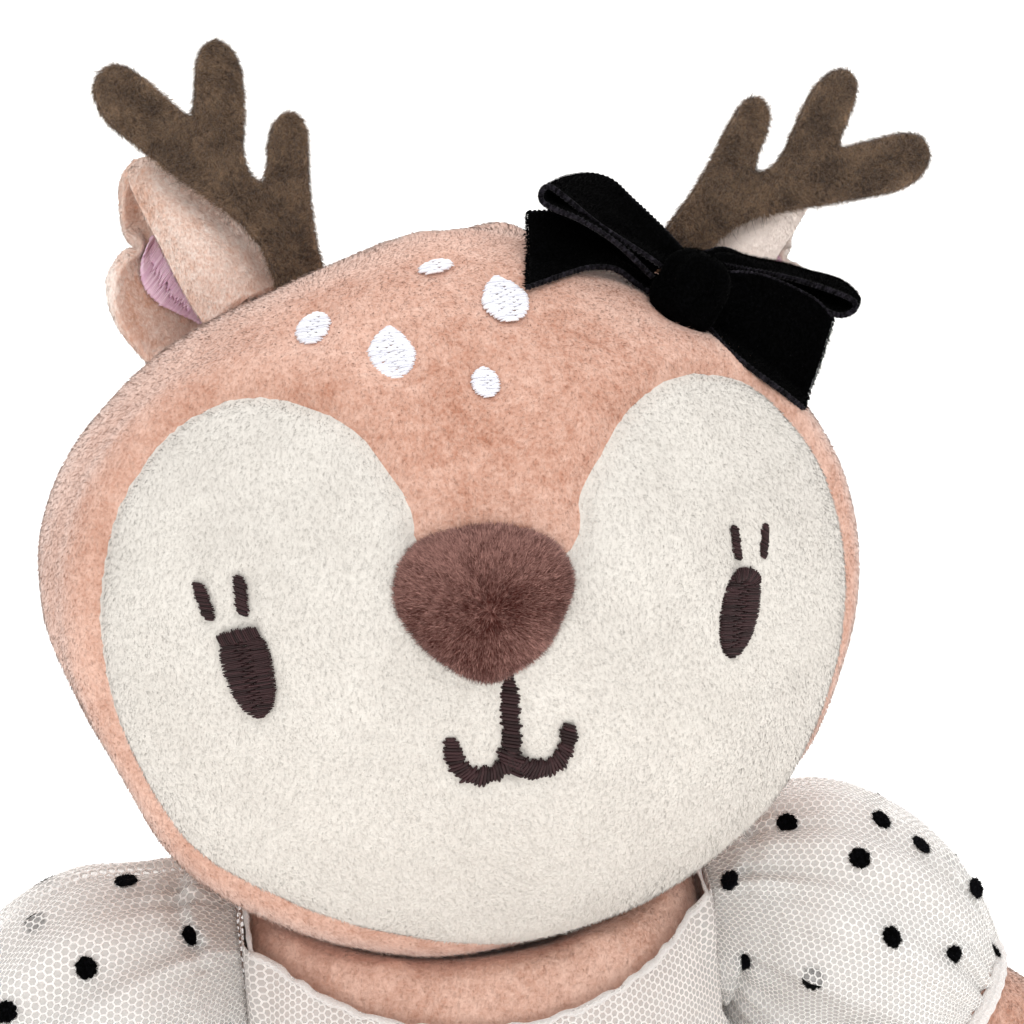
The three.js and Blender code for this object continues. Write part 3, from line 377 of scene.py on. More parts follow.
def plump(piece: Piece, hold: Array, voxel: float = 4.0, pressure: float = 4.0, cap: float = 2.0) -> None:
    """Fills a stuffed form by a short cloth simulation, so that its cloth swells and creases.

    Args:
        piece: The closed form; its mesh is replaced.
        hold: Rows of a middle point and a radius; cloth inside such a ball keeps still.
        voxel: Size of the mesh that is simulated, in millimetres.
        pressure: How hard the filling presses.
        cap: The most that a point may move, in millimetres.
    """
    mesh_again = piece.modifiers.new("remesh", "REMESH")
    mesh_again.mode = "VOXEL"
    mesh_again.voxel_size = voxel * MM
    mesh_again.use_smooth_shade = True
    apply_modifiers(piece)
    before = points_of(piece)
    pins = piece.vertex_groups.new(name="held")
    for ball in hold:
        near = np.where(np.linalg.norm(before - ball[:3], axis=1) < ball[3])[0]
        pins.add([int(i) for i in near], 1.0, "REPLACE")
    cloth = piece.modifiers.new("cloth", "CLOTH")
    cloth.settings.quality = 6
    cloth.settings.mass = 0.25
    cloth.settings.tension_stiffness = 12
    cloth.settings.compression_stiffness = 6
    cloth.settings.bending_stiffness = 0.3
    cloth.settings.use_pressure = True
    cloth.settings.uniform_pressure_force = pressure
    cloth.settings.effector_weights.gravity = 0
    cloth.settings.vertex_group_mass = "held"
    cloth.collision_settings.use_collision = False
    cloth.point_cache.frame_start, cloth.point_cache.frame_end = 1, CLOTH_FRAMES
    scene = bpy.context.scene
    for step in range(1, CLOTH_FRAMES + 1):
        scene.frame_set(step)
    apply_modifiers(piece)
    scene.frame_set(1)
    moved = points_of(piece) - before
    reach = np.linalg.norm(moved, axis=1, keepdims=True)
    set_points(piece, before + moved * np.minimum(1.0, cap / np.maximum(reach, 1e-9)))
    smooth = piece.modifiers.new("smooth", "SUBSURF")
    smooth.levels = smooth.render_levels = 1
    apply_modifiers(piece)
    piece.data.shade_smooth()


# Shader nodes


class Knot:
    """Adds nodes to a tree and joins them in the same call."""

    def __init__(self, tree: Tree) -> None:
        """Keeps the tree that the nodes go into."""
        self.tree = tree

    def add(self, kind: str, values: dict | None = None, **settings: object) -> Node:
        """Adds one node.

        Args:
            kind: Blender's name of the node type.
            values: Input name or number to a value or to the socket that feeds it.
            **settings: Properties of the node.

        Returns:
            The node.
        """
        node = self.tree.nodes.new(kind)
        for key, value in settings.items():
            setattr(node, key, value)
        self.feed(node, values or {})
        return node

    def feed(self, node: Node, values: dict) -> None:
        """Gives a node's inputs their values, or joins them to the sockets that feed them."""
        for key, value in values.items():
            socket = node.inputs[key]
            if isinstance(value, Socket):
                self.tree.links.new(value, socket)
            else:
                socket.default_value = value

    def math(self, operation: str, a: object, b: object = 0.0, c: object = 0.0) -> Socket:
        """A Math node's result for up to three values or sockets."""
        return self.add("ShaderNodeMath", {0: a, 1: b, 2: c}, operation=operation).outputs[0]

    def vector(self, operation: str, a: object, b: object = (0, 0, 0)) -> Socket:
        """A Vector Math node's vector for two vectors or sockets."""
        return self.add("ShaderNodeVectorMath", {0: a, 1: b}, operation=operation).outputs[0]

    def scaled(self, a: object, factor: object) -> Socket:
        """A vector stretched by a factor."""
        return self.add("ShaderNodeVectorMath", {0: a, "Scale": factor}, operation="SCALE").outputs[0]

    def joined(self, x: object, y: object, z: object) -> Socket:
        """A vector of three numbers."""
        return self.add("ShaderNodeCombineXYZ", {0: x, 1: y, 2: z}).outputs[0]

    def place(self) -> Socket:
        """The shaded point's place on its object."""
        return self.add("ShaderNodeTexCoord").outputs["Object"]

    def attribute(self, name: str, output: str = "Fac") -> Socket:
        """What a mesh stores under a name."""
        return self.add("ShaderNodeAttribute", attribute_name=name).outputs[output]

    def bump(self, height: object, strength: float, depth: float) -> Socket:
        """A normal that stands up where a height is high, down to a depth in metres."""
        return self.add("ShaderNodeBump", {"Strength": strength, "Distance": depth, "Height": height}).outputs[0]

    def dot(self, a: object, b: object) -> Socket:
        """The dot product of two vectors or sockets."""
        return self.add("ShaderNodeVectorMath", {0: a, 1: b}, operation="DOT_PRODUCT").outputs["Value"]

    def mix(self, factor: object, a: object, b: object, blend: str = "MIX") -> Socket:
        """A colour between two colours or sockets."""
        return self.add("ShaderNodeMix", {0: factor, 6: a, 7: b}, data_type="RGBA", blend_type=blend).outputs[2]

    def spread(self, value: object, low: float, high: float, to_low: float = 0.0, to_high: float = 1.0) -> Socket:
        """A value moved from one range to another, and clipped."""
        return self.add("ShaderNodeMapRange", {
            "Value": value, "From Min": low, "From Max": high, "To Min": to_low, "To Max": to_high}).outputs[0]

    def noise(self, place: object, scale: float, detail: float = 2.0, rough: float = 0.5) -> Socket:
        """A noise value at a place."""
        return self.add("ShaderNodeTexNoise", {
            "Vector": place, "Scale": scale, "Detail": detail, "Roughness": rough}).outputs[0]


def new_group(name: str, ins: dict[str, tuple[str, object]], outs: dict[str, str]) -> tuple[Tree, Node, Node]:
    """Starts a shader node group.

    Args:
        name: The group's name.
        ins: Input name to its socket type and value.
        outs: Output name to its socket type.

    Returns:
        The group, its input node and its output node.
    """
    tree = bpy.data.node_groups.new(name, "ShaderNodeTree")
    for key, (kind, value) in ins.items():
        socket = tree.interface.new_socket(key, in_out="INPUT", socket_type=kind)
        if value is not None:
            socket.default_value = value
    for key, kind in outs.items():
        tree.interface.new_socket(key, in_out="OUTPUT", socket_type=kind)
    return tree, tree.nodes.new("NodeGroupInput"), tree.nodes.new("NodeGroupOutput")


def shared_group(name: str, build: Callable[[], Tree]) -> Tree:
    """Finds a node group by name, or builds it the first time."""
    return bpy.data.node_groups.get(name) or build()


def pile_mottle_group() -> Tree:
    """Builds the group that shades a pile: slow patches where it lies differently, and its fine grain.

    Returns:
        A group with a colour and a height.
    """
    tree, start, end = new_group("pile_mottle", {
        "Place": ("NodeSocketVector", None), "Deep": ("NodeSocketColor", (0.5, 0.3, 0.2, 1)),
        "Bright": ("NodeSocketColor", (0.9, 0.6, 0.5, 1)), "Patch": ("NodeSocketFloat", 60.0),
        "Grain": ("NodeSocketFloat", 1100.0), "Tint": ("NodeSocketFloat", 0.5), "Vary": ("NodeSocketFloat", 0.5),
    }, {"Color": "NodeSocketColor", "Height": "NodeSocketFloat"})
    k = Knot(tree)
    place = start.outputs["Place"]
    patch = k.noise(place, start.outputs["Patch"], 3.0)
    grain = k.noise(place, start.outputs["Grain"], 2.0, 0.6)
    clump = k.noise(place, 480.0, 1.0)
    rise = k.math("ADD", k.math("MULTIPLY", grain, 0.6), k.math("MULTIPLY", clump, 0.4))
    share = k.math("ADD", k.spread(patch, 0.35, 0.65, 0.0, 0.34), k.spread(rise, 0.3, 0.7, 0.0, 0.66))
    share = k.math("ADD", share, k.math("MULTIPLY", k.math("SUBTRACT", start.outputs["Tint"], 0.5),
                                        start.outputs["Vary"]))
    bounded = k.add("ShaderNodeClamp", {0: share}).outputs[0]
    k.feed(end, {"Color": k.mix(bounded, start.outputs["Deep"], start.outputs["Bright"]), "Height": rise})
    return tree


def hex_net_group() -> Tree:
    """Builds the group that draws six-sided net on the cloth's own flat map.

    Returns:
        A group with a mask that is one on the threads and the height of a thread.
    """
    tree, start, end = new_group("hex_net", {
        "Flat": ("NodeSocketVector", None), "Cell": ("NodeSocketFloat", 0.0016),
        "Thread": ("NodeSocketFloat", 0.16),
    }, {"Mask": "NodeSocketFloat", "Height": "NodeSocketFloat"})
    k = Knot(tree)
    root = math.sqrt(3.0)
    step, half = (1.0, root, 1.0), (0.5, root / 2, 0.5)
    wobble = k.add("ShaderNodeTexNoise", {"Vector": start.outputs["Flat"], "Scale": 130.0}).outputs["Color"]
    moved = k.vector("ADD", start.outputs["Flat"], k.scaled(k.vector("SUBTRACT", wobble, (0.5, 0.5, 0.5)), 0.0011))
    cells = k.scaled(moved, k.math("DIVIDE", 1.0, start.outputs["Cell"]))
    flat = k.vector("ADD", k.vector("MULTIPLY", cells, (1, 1, 0)), (600.0, 600.0 * root, 0.5))
    a = k.vector("SUBTRACT", k.vector("MODULO", flat, step), half)
    b = k.vector("SUBTRACT", k.vector("MODULO", k.vector("SUBTRACT", flat, half), step), half)
    a, b = k.vector("MULTIPLY", a, (1, 1, 0)), k.vector("MULTIPLY", b, (1, 1, 0))
    nearer = k.math("LESS_THAN", k.dot(a, a), k.dot(b, b))
    chosen = k.add("ShaderNodeMix", {0: nearer, 4: b, 5: a}, data_type="VECTOR").outputs[1]
    positive = k.vector("ABSOLUTE", chosen)
    reach = k.math("MAXIMUM", k.dot(positive, (0.5, root / 2, 0)), k.dot(positive, (1, 0, 0)))
    edge = k.math("SUBTRACT", 0.5, reach)
    share = k.math("DIVIDE", edge, start.outputs["Thread"])
    k.feed(end, {"Mask": k.spread(share, 0.85, 1.15, 1.0, 0.0), "Height": k.spread(share, 0.0, 1.0, 1.0, 0.0)})
    return tree


def start_material(name: str) -> tuple[bpy.types.Material, Knot, Node]:
    """Starts a material, and gives a node adder for it and its Principled shader.

    Args:
        name: The material's name.

    Returns:
        The material, a node adder for it and its Principled shader.
    """
    material = bpy.data.materials.new(name)
    material.use_nodes = True
    return material, Knot(material.node_tree), material.node_tree.nodes["Principled BSDF"]


def color(code: str) -> tuple[float, float, float, float]:
    """Turns a screen colour of six hex digits into linear red, green, blue and one."""
    parts = [int(code[i:i + 2], 16) / 255 for i in (0, 2, 4)]
    return (*[p / 12.92 if p <= 0.04045 else ((p + 0.055) / 1.055) ** 2.4 for p in parts], 1.0)


@dataclass(frozen=True)
class PileFinish:
    """Short plush pile, as on the covers and the nose."""

    name: str
    deep: str
    bright: str
    sheen: float = 0.35
    patch: float = 60.0
    grain: float = 1500.0
    bump: float = 0.55
    vary: float = 0.5

    def make(self) -> bpy.types.Material:
        """Builds the material.

        Returns:
            The material, with all its nodes.
        """
        material, k, shader = start_material(self.name)
        group = k.add("ShaderNodeGroup", {
            "Deep": color(self.deep), "Bright": color(self.bright), "Patch": self.patch, "Grain": self.grain,
            "Vary": self.vary, "Place": k.place(), "Tint": k.attribute("tint"),
        }, node_tree=shared_group("pile_mottle", pile_mottle_group))
        bump = k.bump(group.outputs["Height"], self.bump, 0.0006)
        turned = k.add("ShaderNodeVectorTransform", {0: k.attribute("lie", "Vector")}, vector_type="VECTOR",
                       convert_from="OBJECT", convert_to="WORLD").outputs[0]
        k.feed(shader, {
            "Base Color": group.outputs["Color"],
            "Normal": k.vector("NORMALIZE", k.vector("ADD", turned, k.scaled(bump, 0.3))),
            "Roughness": 0.92, "Specular IOR Level": 0.12,
            "Sheen Weight": self.sheen, "Sheen Roughness": 0.45, "Sheen Tint": (1.0, 0.95, 0.92, 1.0)})
        return material


@dataclass(frozen=True)
class ThreadFinish:
    """Shiny embroidery thread."""

    name: str
    deep: str
    bright: str
    shine: float = 0.4

    def make(self) -> bpy.types.Material:
        """Builds the material.

        Returns:
            The material, with all its nodes.
        """
        material, k, shader = start_material(self.name)
        grain = k.noise(k.place(), 2200.0, 1.0)
        share = k.math("ADD", k.math("MULTIPLY", k.attribute("tint"), 0.7), k.math("MULTIPLY", grain, 0.3))
        k.feed(shader, {
            "Base Color": k.mix(share, color(self.deep), color(self.bright)), "Normal": k.bump(grain, 0.3, 0.0002),
            "Roughness": 0.48, "Specular IOR Level": self.shine})
        return material


@dataclass(frozen=True)
class FeltFinish:
    """Stiff brown felt with matted fibres of several shades."""

    name: str
    deep: str
    bright: str

    def make(self) -> bpy.types.Material:
        """Builds the material.

        Returns:
            The material, with all its nodes.
        """
        material, k, shader = start_material(self.name)
        place = k.place()
        matted = k.add("ShaderNodeTexNoise", {
            "Vector": place, "Scale": 700.0, "Detail": 4.0, "Roughness": 0.65, "Distortion": 2.2}).outputs[0]
        patch = k.noise(place, 150.0, 2.0)
        share = k.math("ADD", k.spread(matted, 0.3, 0.7, -0.1, 0.55), k.spread(patch, 0.35, 0.65, -0.12, 0.12))
        share = k.math("ADD", share, k.math("MULTIPLY", k.math("POWER", k.attribute("tint"), 3.0), 0.55))
        bounded = k.add("ShaderNodeClamp", {0: share}).outputs[0]
        k.feed(shader, {
            "Base Color": k.mix(bounded, color(self.deep), color(self.bright)),
            "Normal": k.bump(matted, 0.8, 0.0006),
            "Roughness": 0.95, "Specular IOR Level": 0.1, "Sheen Weight": 0.25, "Sheen Roughness": 0.6})
        return material


@dataclass(frozen=True)
class VelvetFinish:
    """Deep black velvet, bright only along its edges."""

    name: str
    deep: str
    bright: str
    sheen: float = 0.02

    def make(self) -> bpy.types.Material:
        """Builds the material.

        Returns:
            The material, with all its nodes.
        """
        material, k, shader = start_material(self.name)
        grain = k.noise(k.place(), 1500.0, 3.0, 0.7)
        share = k.math("ADD", k.spread(grain, 0.45, 0.85),
                       k.math("MULTIPLY", k.math("POWER", k.attribute("tint"), 4.0), 0.6))
        k.feed(shader, {
            "Base Color": k.mix(share, color(self.deep), color(self.bright)), "Normal": k.bump(grain, 0.6, 0.0005),
            "Roughness": 0.85, "Specular IOR Level": 0.02, "Sheen Weight": self.sheen, "Sheen Roughness": 0.3})
        return material


@dataclass(frozen=True)
class NetFinish:
    """Open six-sided net, or a closed cloth with the same net drawn on it and painted shade in its holes."""

    name: str
    thread: str
    shadow: str
    open_holes: bool
    cell: float = 1.6
    width: float = 0.13
    veil: float = 0.0

    def make(self) -> bpy.types.Material:
        """Builds the material.

        Returns:
            The material, with all its nodes.
        """
        material, k, shader = start_material(self.name)
        flat = k.add("ShaderNodeUVMap", uv_map="cloth").outputs[0]
        group = k.add("ShaderNodeGroup", {"Cell": self.cell * MM, "Thread": self.width, "Flat": flat},
                      node_tree=shared_group("hex_net", hex_net_group))
        mask = group.outputs["Mask"]
        share = k.spread(k.noise(k.place(), 90.0, 2.0), 0.35, 0.65, 0.0, 0.35)
        if self.open_holes:
            k.feed(shader, {"Alpha": k.math("MAXIMUM", mask, self.veil)})
        else:
            # The closed cloth's holes take the shadow tone: painted shade between the threads.
            share = k.math("MAXIMUM", k.math("SUBTRACT", 1.0, mask), share)
        k.feed(shader, {
            "Base Color": k.mix(share, color(self.thread), color(self.shadow)),
            "Normal": k.bump(group.outputs["Height"], 0.5, 0.0003),
            "Roughness": 0.7, "Specular IOR Level": 0.25, "Sheen Weight": 0.2})
        return material


@dataclass(frozen=True)
class FloorFinish:
    """The studio's pale floor, which is lit through from below."""

    name: str
    tone: str
    glow: float = 0.6

    def make(self) -> bpy.types.Material:
        """Builds the material.

        Returns:
            The material, with all its nodes.
        """
        material, k, shader = start_material(self.name)
        grain = k.math("MULTIPLY", k.noise(k.place(), 40.0, 3.0), 0.04)
        k.feed(shader, {
            "Base Color": k.mix(grain, color(self.tone), (0.9, 0.9, 0.9, 1)), "Roughness": 0.9,
            "Emission Color": (1.0, 1.0, 1.0, 1.0), "Emission Strength": self.glow})
        return material


Finish = PileFinish | ThreadFinish | FeltFinish | VelvetFinish | NetFinish | FloorFinish
PEACH = PileFinish("peach_pile", "b47c64", "eac2b0", sheen=0.7)
# A brighter copy of the peach pile for the ears: painted light, so that the lobe in the flap's shade reads as lit.
LIT_EAR_PEACH = PileFinish("peach_ear_pile", "d8a890", "fff0e6", sheen=0.7, vary=1.0)
CREAM = PileFinish("cream_pile", "d2ccc4", "e6e1d9", sheen=0.2)
NOSE_BROWN = PileFinish("nose_pile", "522822", "c08f84", sheen=0.3, vary=1.0)
DARK_THREAD = ThreadFinish("dark_thread", "180d0c", "40282a", shine=0.2)
WHITE_THREAD = ThreadFinish("white_thread", "dcdce6", "fdfdff")
PINK_THREAD = ThreadFinish("pink_thread", "dfb2cf", "ffe4f5")
BROWN_FELT = FeltFinish("brown_felt", "3c2817", "bd9c7c")
BLACK_VELVET = VelvetFinish("black_velvet", "000000", "0b0b0d")
VELVET_EDGE = VelvetFinish("velvet_edge", "0a090b", "322f36", sheen=0.1)
FLOCK = VelvetFinish("black_flock", "020202", "16161a", sheen=0.03)
NET = NetFinish("ivory_net", "fdfbf8", "efe9e4", True, width=0.11)
SLEEVE_NET = NetFinish("ivory_sleeve_net", "fdfbf8", "efe9e4", True, width=0.11, veil=0.3)
BODICE_NET = NetFinish("ivory_bodice_net", "f7f2ee", "e4dbd6", True, width=0.13, veil=0.42)
LINING = NetFinish("ivory_lining", "f3efec", "dfd8d4", False, cell=1.25, width=0.16)
FLOOR = FloorFinish("studio_floor", "f4f3f1")


class Wardrobe:
    """Keeps each finish's material, so that it is built once."""

    made: dict[str, bpy.types.Material] = {}

    @classmethod
    def dress(cls, piece: Piece, finish: Finish) -> None:
        """Gives a piece one finish all over."""
        piece.data.materials.clear()
        piece.data.materials.append(cls.material(finish))

    @classmethod
    def material(cls, finish: Finish) -> bpy.types.Material:
        """The finish's material."""
        if finish.name not in cls.made:
            cls.made[finish.name] = finish.make()
        return cls.made[finish.name]


@dataclass(frozen=True)
class Nap:
    """The fibres that stand on a cloth.

    Density is in fibres for each square millimetre, length and width are in millimetres, lean is how far
    they lean over, and stray how far each strays from its neighbours.
    """

    density: float
    length: float
    width: float
    lay: Lay
    lean: float
    stray: float


HEAD_NAP = Nap(2.6, 0.8, 0.14, Lay.DOWN, 1.6, 0.6)
FACE_NAP = Nap(3.2, 0.8, 0.14, Lay.DOWN, 1.6, 0.6)
NOSE_NAP = Nap(24.0, 1.15, 0.15, Lay.OUT, 1.1, 0.6)
EAR_NAP = Nap(5.0, 0.8, 0.15, Lay.DOWN, 1.6, 0.6)
FELT_HAIRS = Nap(1.6, 3.4, 0.1, Lay.SWIRL, 2.0, 1.6)
FELT_NAP = Nap(20.0, 1.5, 0.1, Lay.SWIRL, 1.6, 1.3)
VELVET_NAP = Nap(12.0, 0.75, 0.1, Lay.SWIRL, 0.7, 0.6)
BODY_NAP = Nap(2.6, 0.8, 0.16, Lay.DOWN, 1.7, 0.6)
ARM_NAP = Nap(3.6, 0.9, 0.17, Lay.DOWN, 1.6, 0.6)
LEG_NAP = Nap(3.2, 0.9, 0.17, Lay.DOWN, 1.6, 0.6)
FLOCK_NAP = Nap(12.0, 0.75, 0.12, Lay.SWIRL, 0.3, 1.4)


# Geometry node trees


class RepeatTree:
    """A geometry node tree that sets copies of one small shape over a piece, and how it is run."""

    def __init__(self, name: str, extra: dict[str, tuple[str, object]]) -> None:
        """Starts the tree with the inputs that all of them have.

        Args:
            name: The tree's name.
            extra: Further input names to a socket type and value.
        """
        self.tree = bpy.data.node_groups.new(name, "GeometryNodeTree")
        self.tree.interface.new_socket("Geometry", in_out="OUTPUT", socket_type="NodeSocketGeometry")
        inputs = {"Geometry": ("NodeSocketGeometry", None), "Shape": ("NodeSocketObject", None),
                  "Finish": ("NodeSocketMaterial", None), "Seed": ("NodeSocketInt", 3), **extra}
        for key, (kind, value) in inputs.items():
            socket = self.tree.interface.new_socket(key, in_out="INPUT", socket_type=kind)
            if value is not None:
                socket.default_value = value
        self.k = Knot(self.tree)
        self.start = self.tree.nodes.new("NodeGroupInput")
        self.end = self.tree.nodes.new("NodeGroupOutput")
        self.shape = self.k.add("GeometryNodeObjectInfo",
                                {"Object": self.start.outputs["Shape"]}).outputs["Geometry"]

    def random(self, low: float, high: float, salt: int) -> Socket:
        """A random number for each copy, fixed by the tree's seed and a salt."""
        seed = self.k.math("ADD", self.start.outputs["Seed"], float(salt))
        return self.k.add("FunctionNodeRandomValue", {2: low, 3: high, 8: seed}, data_type="FLOAT").outputs[1]

    def named(self, name: str, kind: str = "FLOAT_VECTOR") -> Socket:
        """A named attribute of the points."""
        return self.k.add("GeometryNodeInputNamedAttribute", {"Name": name}, data_type=kind).outputs["Attribute"]

    def finish(self, points: Socket, rotation: Socket, scale: Socket,
               facing: Socket | None = None) -> None:
        """Sets the copies, tints them about the carrier's own tint, and ends the tree.

        Args:
            points: Where the copies stand.
            rotation: How each is turned.
            scale: How each is stretched.
            facing: Which way the cloth under each faces, where the copies are shaded like the cloth.
        """
        placed = self.k.add("GeometryNodeInstanceOnPoints", {
            "Points": points, "Instance": self.shape, "Rotation": rotation, "Scale": scale}).outputs[0]
        tint = self.k.math("ADD", self.named("tint", "FLOAT"), self.random(-0.5, 0.5, 5))
        placed = self.k.add("GeometryNodeStoreNamedAttribute", {
            "Geometry": placed, "Name": "tint", "Value": tint}, data_type="FLOAT", domain="INSTANCE").outputs[0]
        if facing is not None:
            placed = self.k.add("GeometryNodeStoreNamedAttribute", {
                "Geometry": placed, "Name": "lie", "Value": facing}, data_type="FLOAT_VECTOR",
                domain="INSTANCE").outputs[0]
        real = self.k.add("GeometryNodeRealizeInstances", {"Geometry": placed}).outputs[0]
        done = self.k.add("GeometryNodeSetMaterial",
                          {"Geometry": real, "Material": self.start.outputs["Finish"]}).outputs[0]
        self.tree.links.new(done, self.end.inputs["Geometry"])

    def run(self, carrier: Piece, shape: Piece, finish: Finish, name: str, **sizes: float) -> Piece:
        """Runs the tree on a carrier and keeps the result as a plain mesh of its own.

        Args:
            carrier: The mesh whose surface or points carry the copies.
            shape: The small shape.
            finish: The copies' finish.
            name: The new piece's name.
            **sizes: Further inputs by name.

        Returns:
            The new piece.
        """
        modifier = carrier.modifiers.new(name, "NODES")
        modifier.node_group = self.tree
        given = {"Shape": shape, "Finish": Wardrobe.material(finish), **sizes}
        for item in self.tree.interface.items_tree:
            if item.in_out == "INPUT" and item.name in given:
                modifier[item.identifier] = given[item.name]
        graph = bpy.context.evaluated_depsgraph_get()
        graph.update()
        mesh = bpy.data.meshes.new_from_object(carrier.evaluated_get(graph), depsgraph=graph)
        carrier.modifiers.remove(modifier)
        mesh.name = name
        return add_object(name, mesh)


class Workshop:
    """Holds the repeat trees and the small shapes that they copy."""

    def __init__(self) -> None:
        """Builds the trees and the shapes."""
        self.nap = self._nap_tree()
        self.stitch = self._stitch_tree()
        self.blade = make_piece("blade", np.array([[-500, 0, 0], [500, 0, 0], [0, 260, 1000.0]]), [(0, 1, 2)])
        self.thread = self._thread_shape()
        self.dot = self._dot_shape()

    def clear(self) -> None:
        """Removes the small shapes once every piece is made."""
        for shape in (self.blade, self.thread, self.dot):
            bpy.data.objects.remove(shape)

    def _nap_tree(self) -> RepeatTree:
        """Builds the tree that covers cloth with leaning fibres.

        Returns:
            The tree, whose sizes are in metres and fibres for each square metre.
        """
        t = RepeatTree("nap", {
            "Density": ("NodeSocketFloat", 1e6), "Length": ("NodeSocketFloat", 0.0014),
            "Width": ("NodeSocketFloat", 0.0002),
            "Lean": ("NodeSocketFloat", 1.2), "Stray": ("NodeSocketFloat", 0.5)})
        k = t.k
        pile = t.named("pile", "FLOAT")
        density = k.math("MULTIPLY", t.start.outputs["Density"], pile)
        spots = k.add("GeometryNodeDistributePointsOnFaces", {
            "Mesh": t.start.outputs["Geometry"], "Density": density, "Seed": t.start.outputs["Seed"]})
        normal = spots.outputs["Normal"]
        strays = k.joined(*[t.random(-1, 1, salt) for salt in (11, 12, 13)])
        loose = k.scaled(strays, t.start.outputs["Stray"])
        combed = k.scaled(t.named("comb"), t.start.outputs["Lean"])
        aim = k.vector("ADD", k.vector("ADD", normal, combed), loose)
        short = k.math("MAXIMUM", k.math("SUBTRACT", 0.25, k.dot(aim, normal)), 0.0)
        lifted = k.vector("ADD", aim, k.scaled(normal, short))
        turned = k.add("FunctionNodeAlignRotationToVector", {"Vector": lifted}, axis="Z").outputs[0]
        spin = k.add("FunctionNodeAxisAngleToRotation",
                     {"Axis": (0.0, 0.0, 1.0), "Angle": t.random(0.0, 6.283, 21)}).outputs[0]
        rotation = k.add("FunctionNodeRotateRotation", {0: turned, 1: spin}, rotation_space="LOCAL").outputs[0]
        long = k.math("MULTIPLY", t.start.outputs["Length"], t.random(0.6, 1.35, 31))
        scale = k.joined(t.start.outputs["Width"], t.start.outputs["Length"], long)
        t.finish(spots.outputs["Points"], rotation, scale, normal)
        return t

    def _stitch_tree(self) -> RepeatTree:
        """Builds the tree that lays one stitch, or sets one flock dot, at each point.

        Returns:
            The tree; points carry the vectors aim and face and the number span.
        """
        t = RepeatTree("stitches", {"Width": ("NodeSocketFloat", 0.0004), "Height": ("NodeSocketFloat", 0.0004),
                                    "Uneven": ("NodeSocketFloat", 0.1)})
        k = t.k
        aimed = k.add("FunctionNodeAlignRotationToVector", {"Vector": t.named("aim")}, axis="Z").outputs[0]
        faced = k.add("FunctionNodeAlignRotationToVector", {"Rotation": aimed, "Vector": t.named("face")},
                      axis="Y", pivot_axis="Z").outputs[0]
        uneven = k.math("ADD", 1.0, k.math("MULTIPLY", t.start.outputs["Uneven"], t.random(-1.0, 1.0, 41)))
        span = k.math("MULTIPLY", t.named("span", "FLOAT"), uneven)
        scale = k.joined(t.start.outputs["Width"], t.start.outputs["Height"], span)
        points = k.add("GeometryNodeMeshToPoints", {"Mesh": t.start.outputs["Geometry"]}).outputs[0]
        t.finish(points, faced, scale)
        return t

    def _thread_shape(self) -> Piece:
        """Makes one stitch of unit length along z: a rounded thread that dips at its ends.

        Returns:
            The shape.
        """
        rows, sides = 7, 6
        z = np.linspace(-0.5, 0.5, rows)
        thick = np.sqrt(np.clip(1 - (np.abs(z) / 0.52) ** 6, 0.05, 1)) * 0.5
        dip = -0.35 * np.abs(z * 2) ** 6
        turn = np.arange(sides) / sides * 2 * math.pi
        points = [(thick[i] * math.cos(a), dip[i] + thick[i] * math.sin(a), z[i]) for i in range(rows)
                  for a in turn]
        shape = make_piece("thread", np.array(points) / MM, tube_faces(rows, sides))
        turn_outwards(shape)
        return shape

    def _dot_shape(self) -> Piece:
        """Makes one flock dot of unit width in the x-z plane: a low dome with a ragged edge.

        Returns:
            The shape.
        """
        sides = 30
        rng = np.random.default_rng(5)
        ragged = 1 + rng.uniform(-0.13, 0.09, sides)
        rings = [(0.5, 0.0), (0.46, 0.7), (0.34, 0.95), (0.17, 1.0)]
        turn = [j / sides * 2 * math.pi for j in range(sides)]
        points = [(r * edge * math.cos(a), h, r * edge * math.sin(a)) for r, h in rings for edge,
                  a in zip(ragged, turn)]
        faces = grid_faces(len(rings), sides, wrap_columns=True)
        faces += [tuple(range(sides)), tuple(range((len(rings) - 1) * sides, len(rings) * sides))[::-1]]
        shape = make_piece("dot", np.array(points) / MM, faces)
        turn_outwards(shape)
        return shape

    def add_nap(self, piece: Piece, finish: Finish, nap: Nap, seed: int, pile: Array | None = None,
                centre: Sequence[float] = (0, 0, 0)) -> Piece:
        """Covers a piece with fibres.

        Args:
            piece: The cloth.
            finish: The fibres' finish.
            nap: How the fibres stand.
            seed: Fixes what is random.
            pile: For each point, the share of fibres that grow there.
            centre: The point that a pile lying out leans away from.

        Returns:
            The fibres as one piece.
        """
        points, normals = points_of(piece), normals_of(piece)
        if nap.lay is Lay.OUT:
            wish = points - np.asarray(centre, float)
        else:
            size, wave = (1.1, 22.0) if nap.lay is Lay.DOWN else (3.0, 14.0)
            angle = size * soft_noise(points, wave, seed)
            wish = np.column_stack([np.sin(angle), np.zeros(len(points)), -np.cos(angle)])
        flat = wish - normals * np.sum(wish * normals, axis=1, keepdims=True)
        set_values(piece, "comb", unit(flat))
        set_values(piece, "pile", np.ones(len(points)) if pile is None else pile)
        fibres = self.nap.run(piece, self.blade, finish, piece.name + "_pile", Density=nap.density / MM ** 2,
                              Length=nap.length * MM, Width=nap.width * MM, Lean=nap.lean, Stray=nap.stray,
                              Seed=seed)
        fibres.data.shade_smooth()
        return fibres

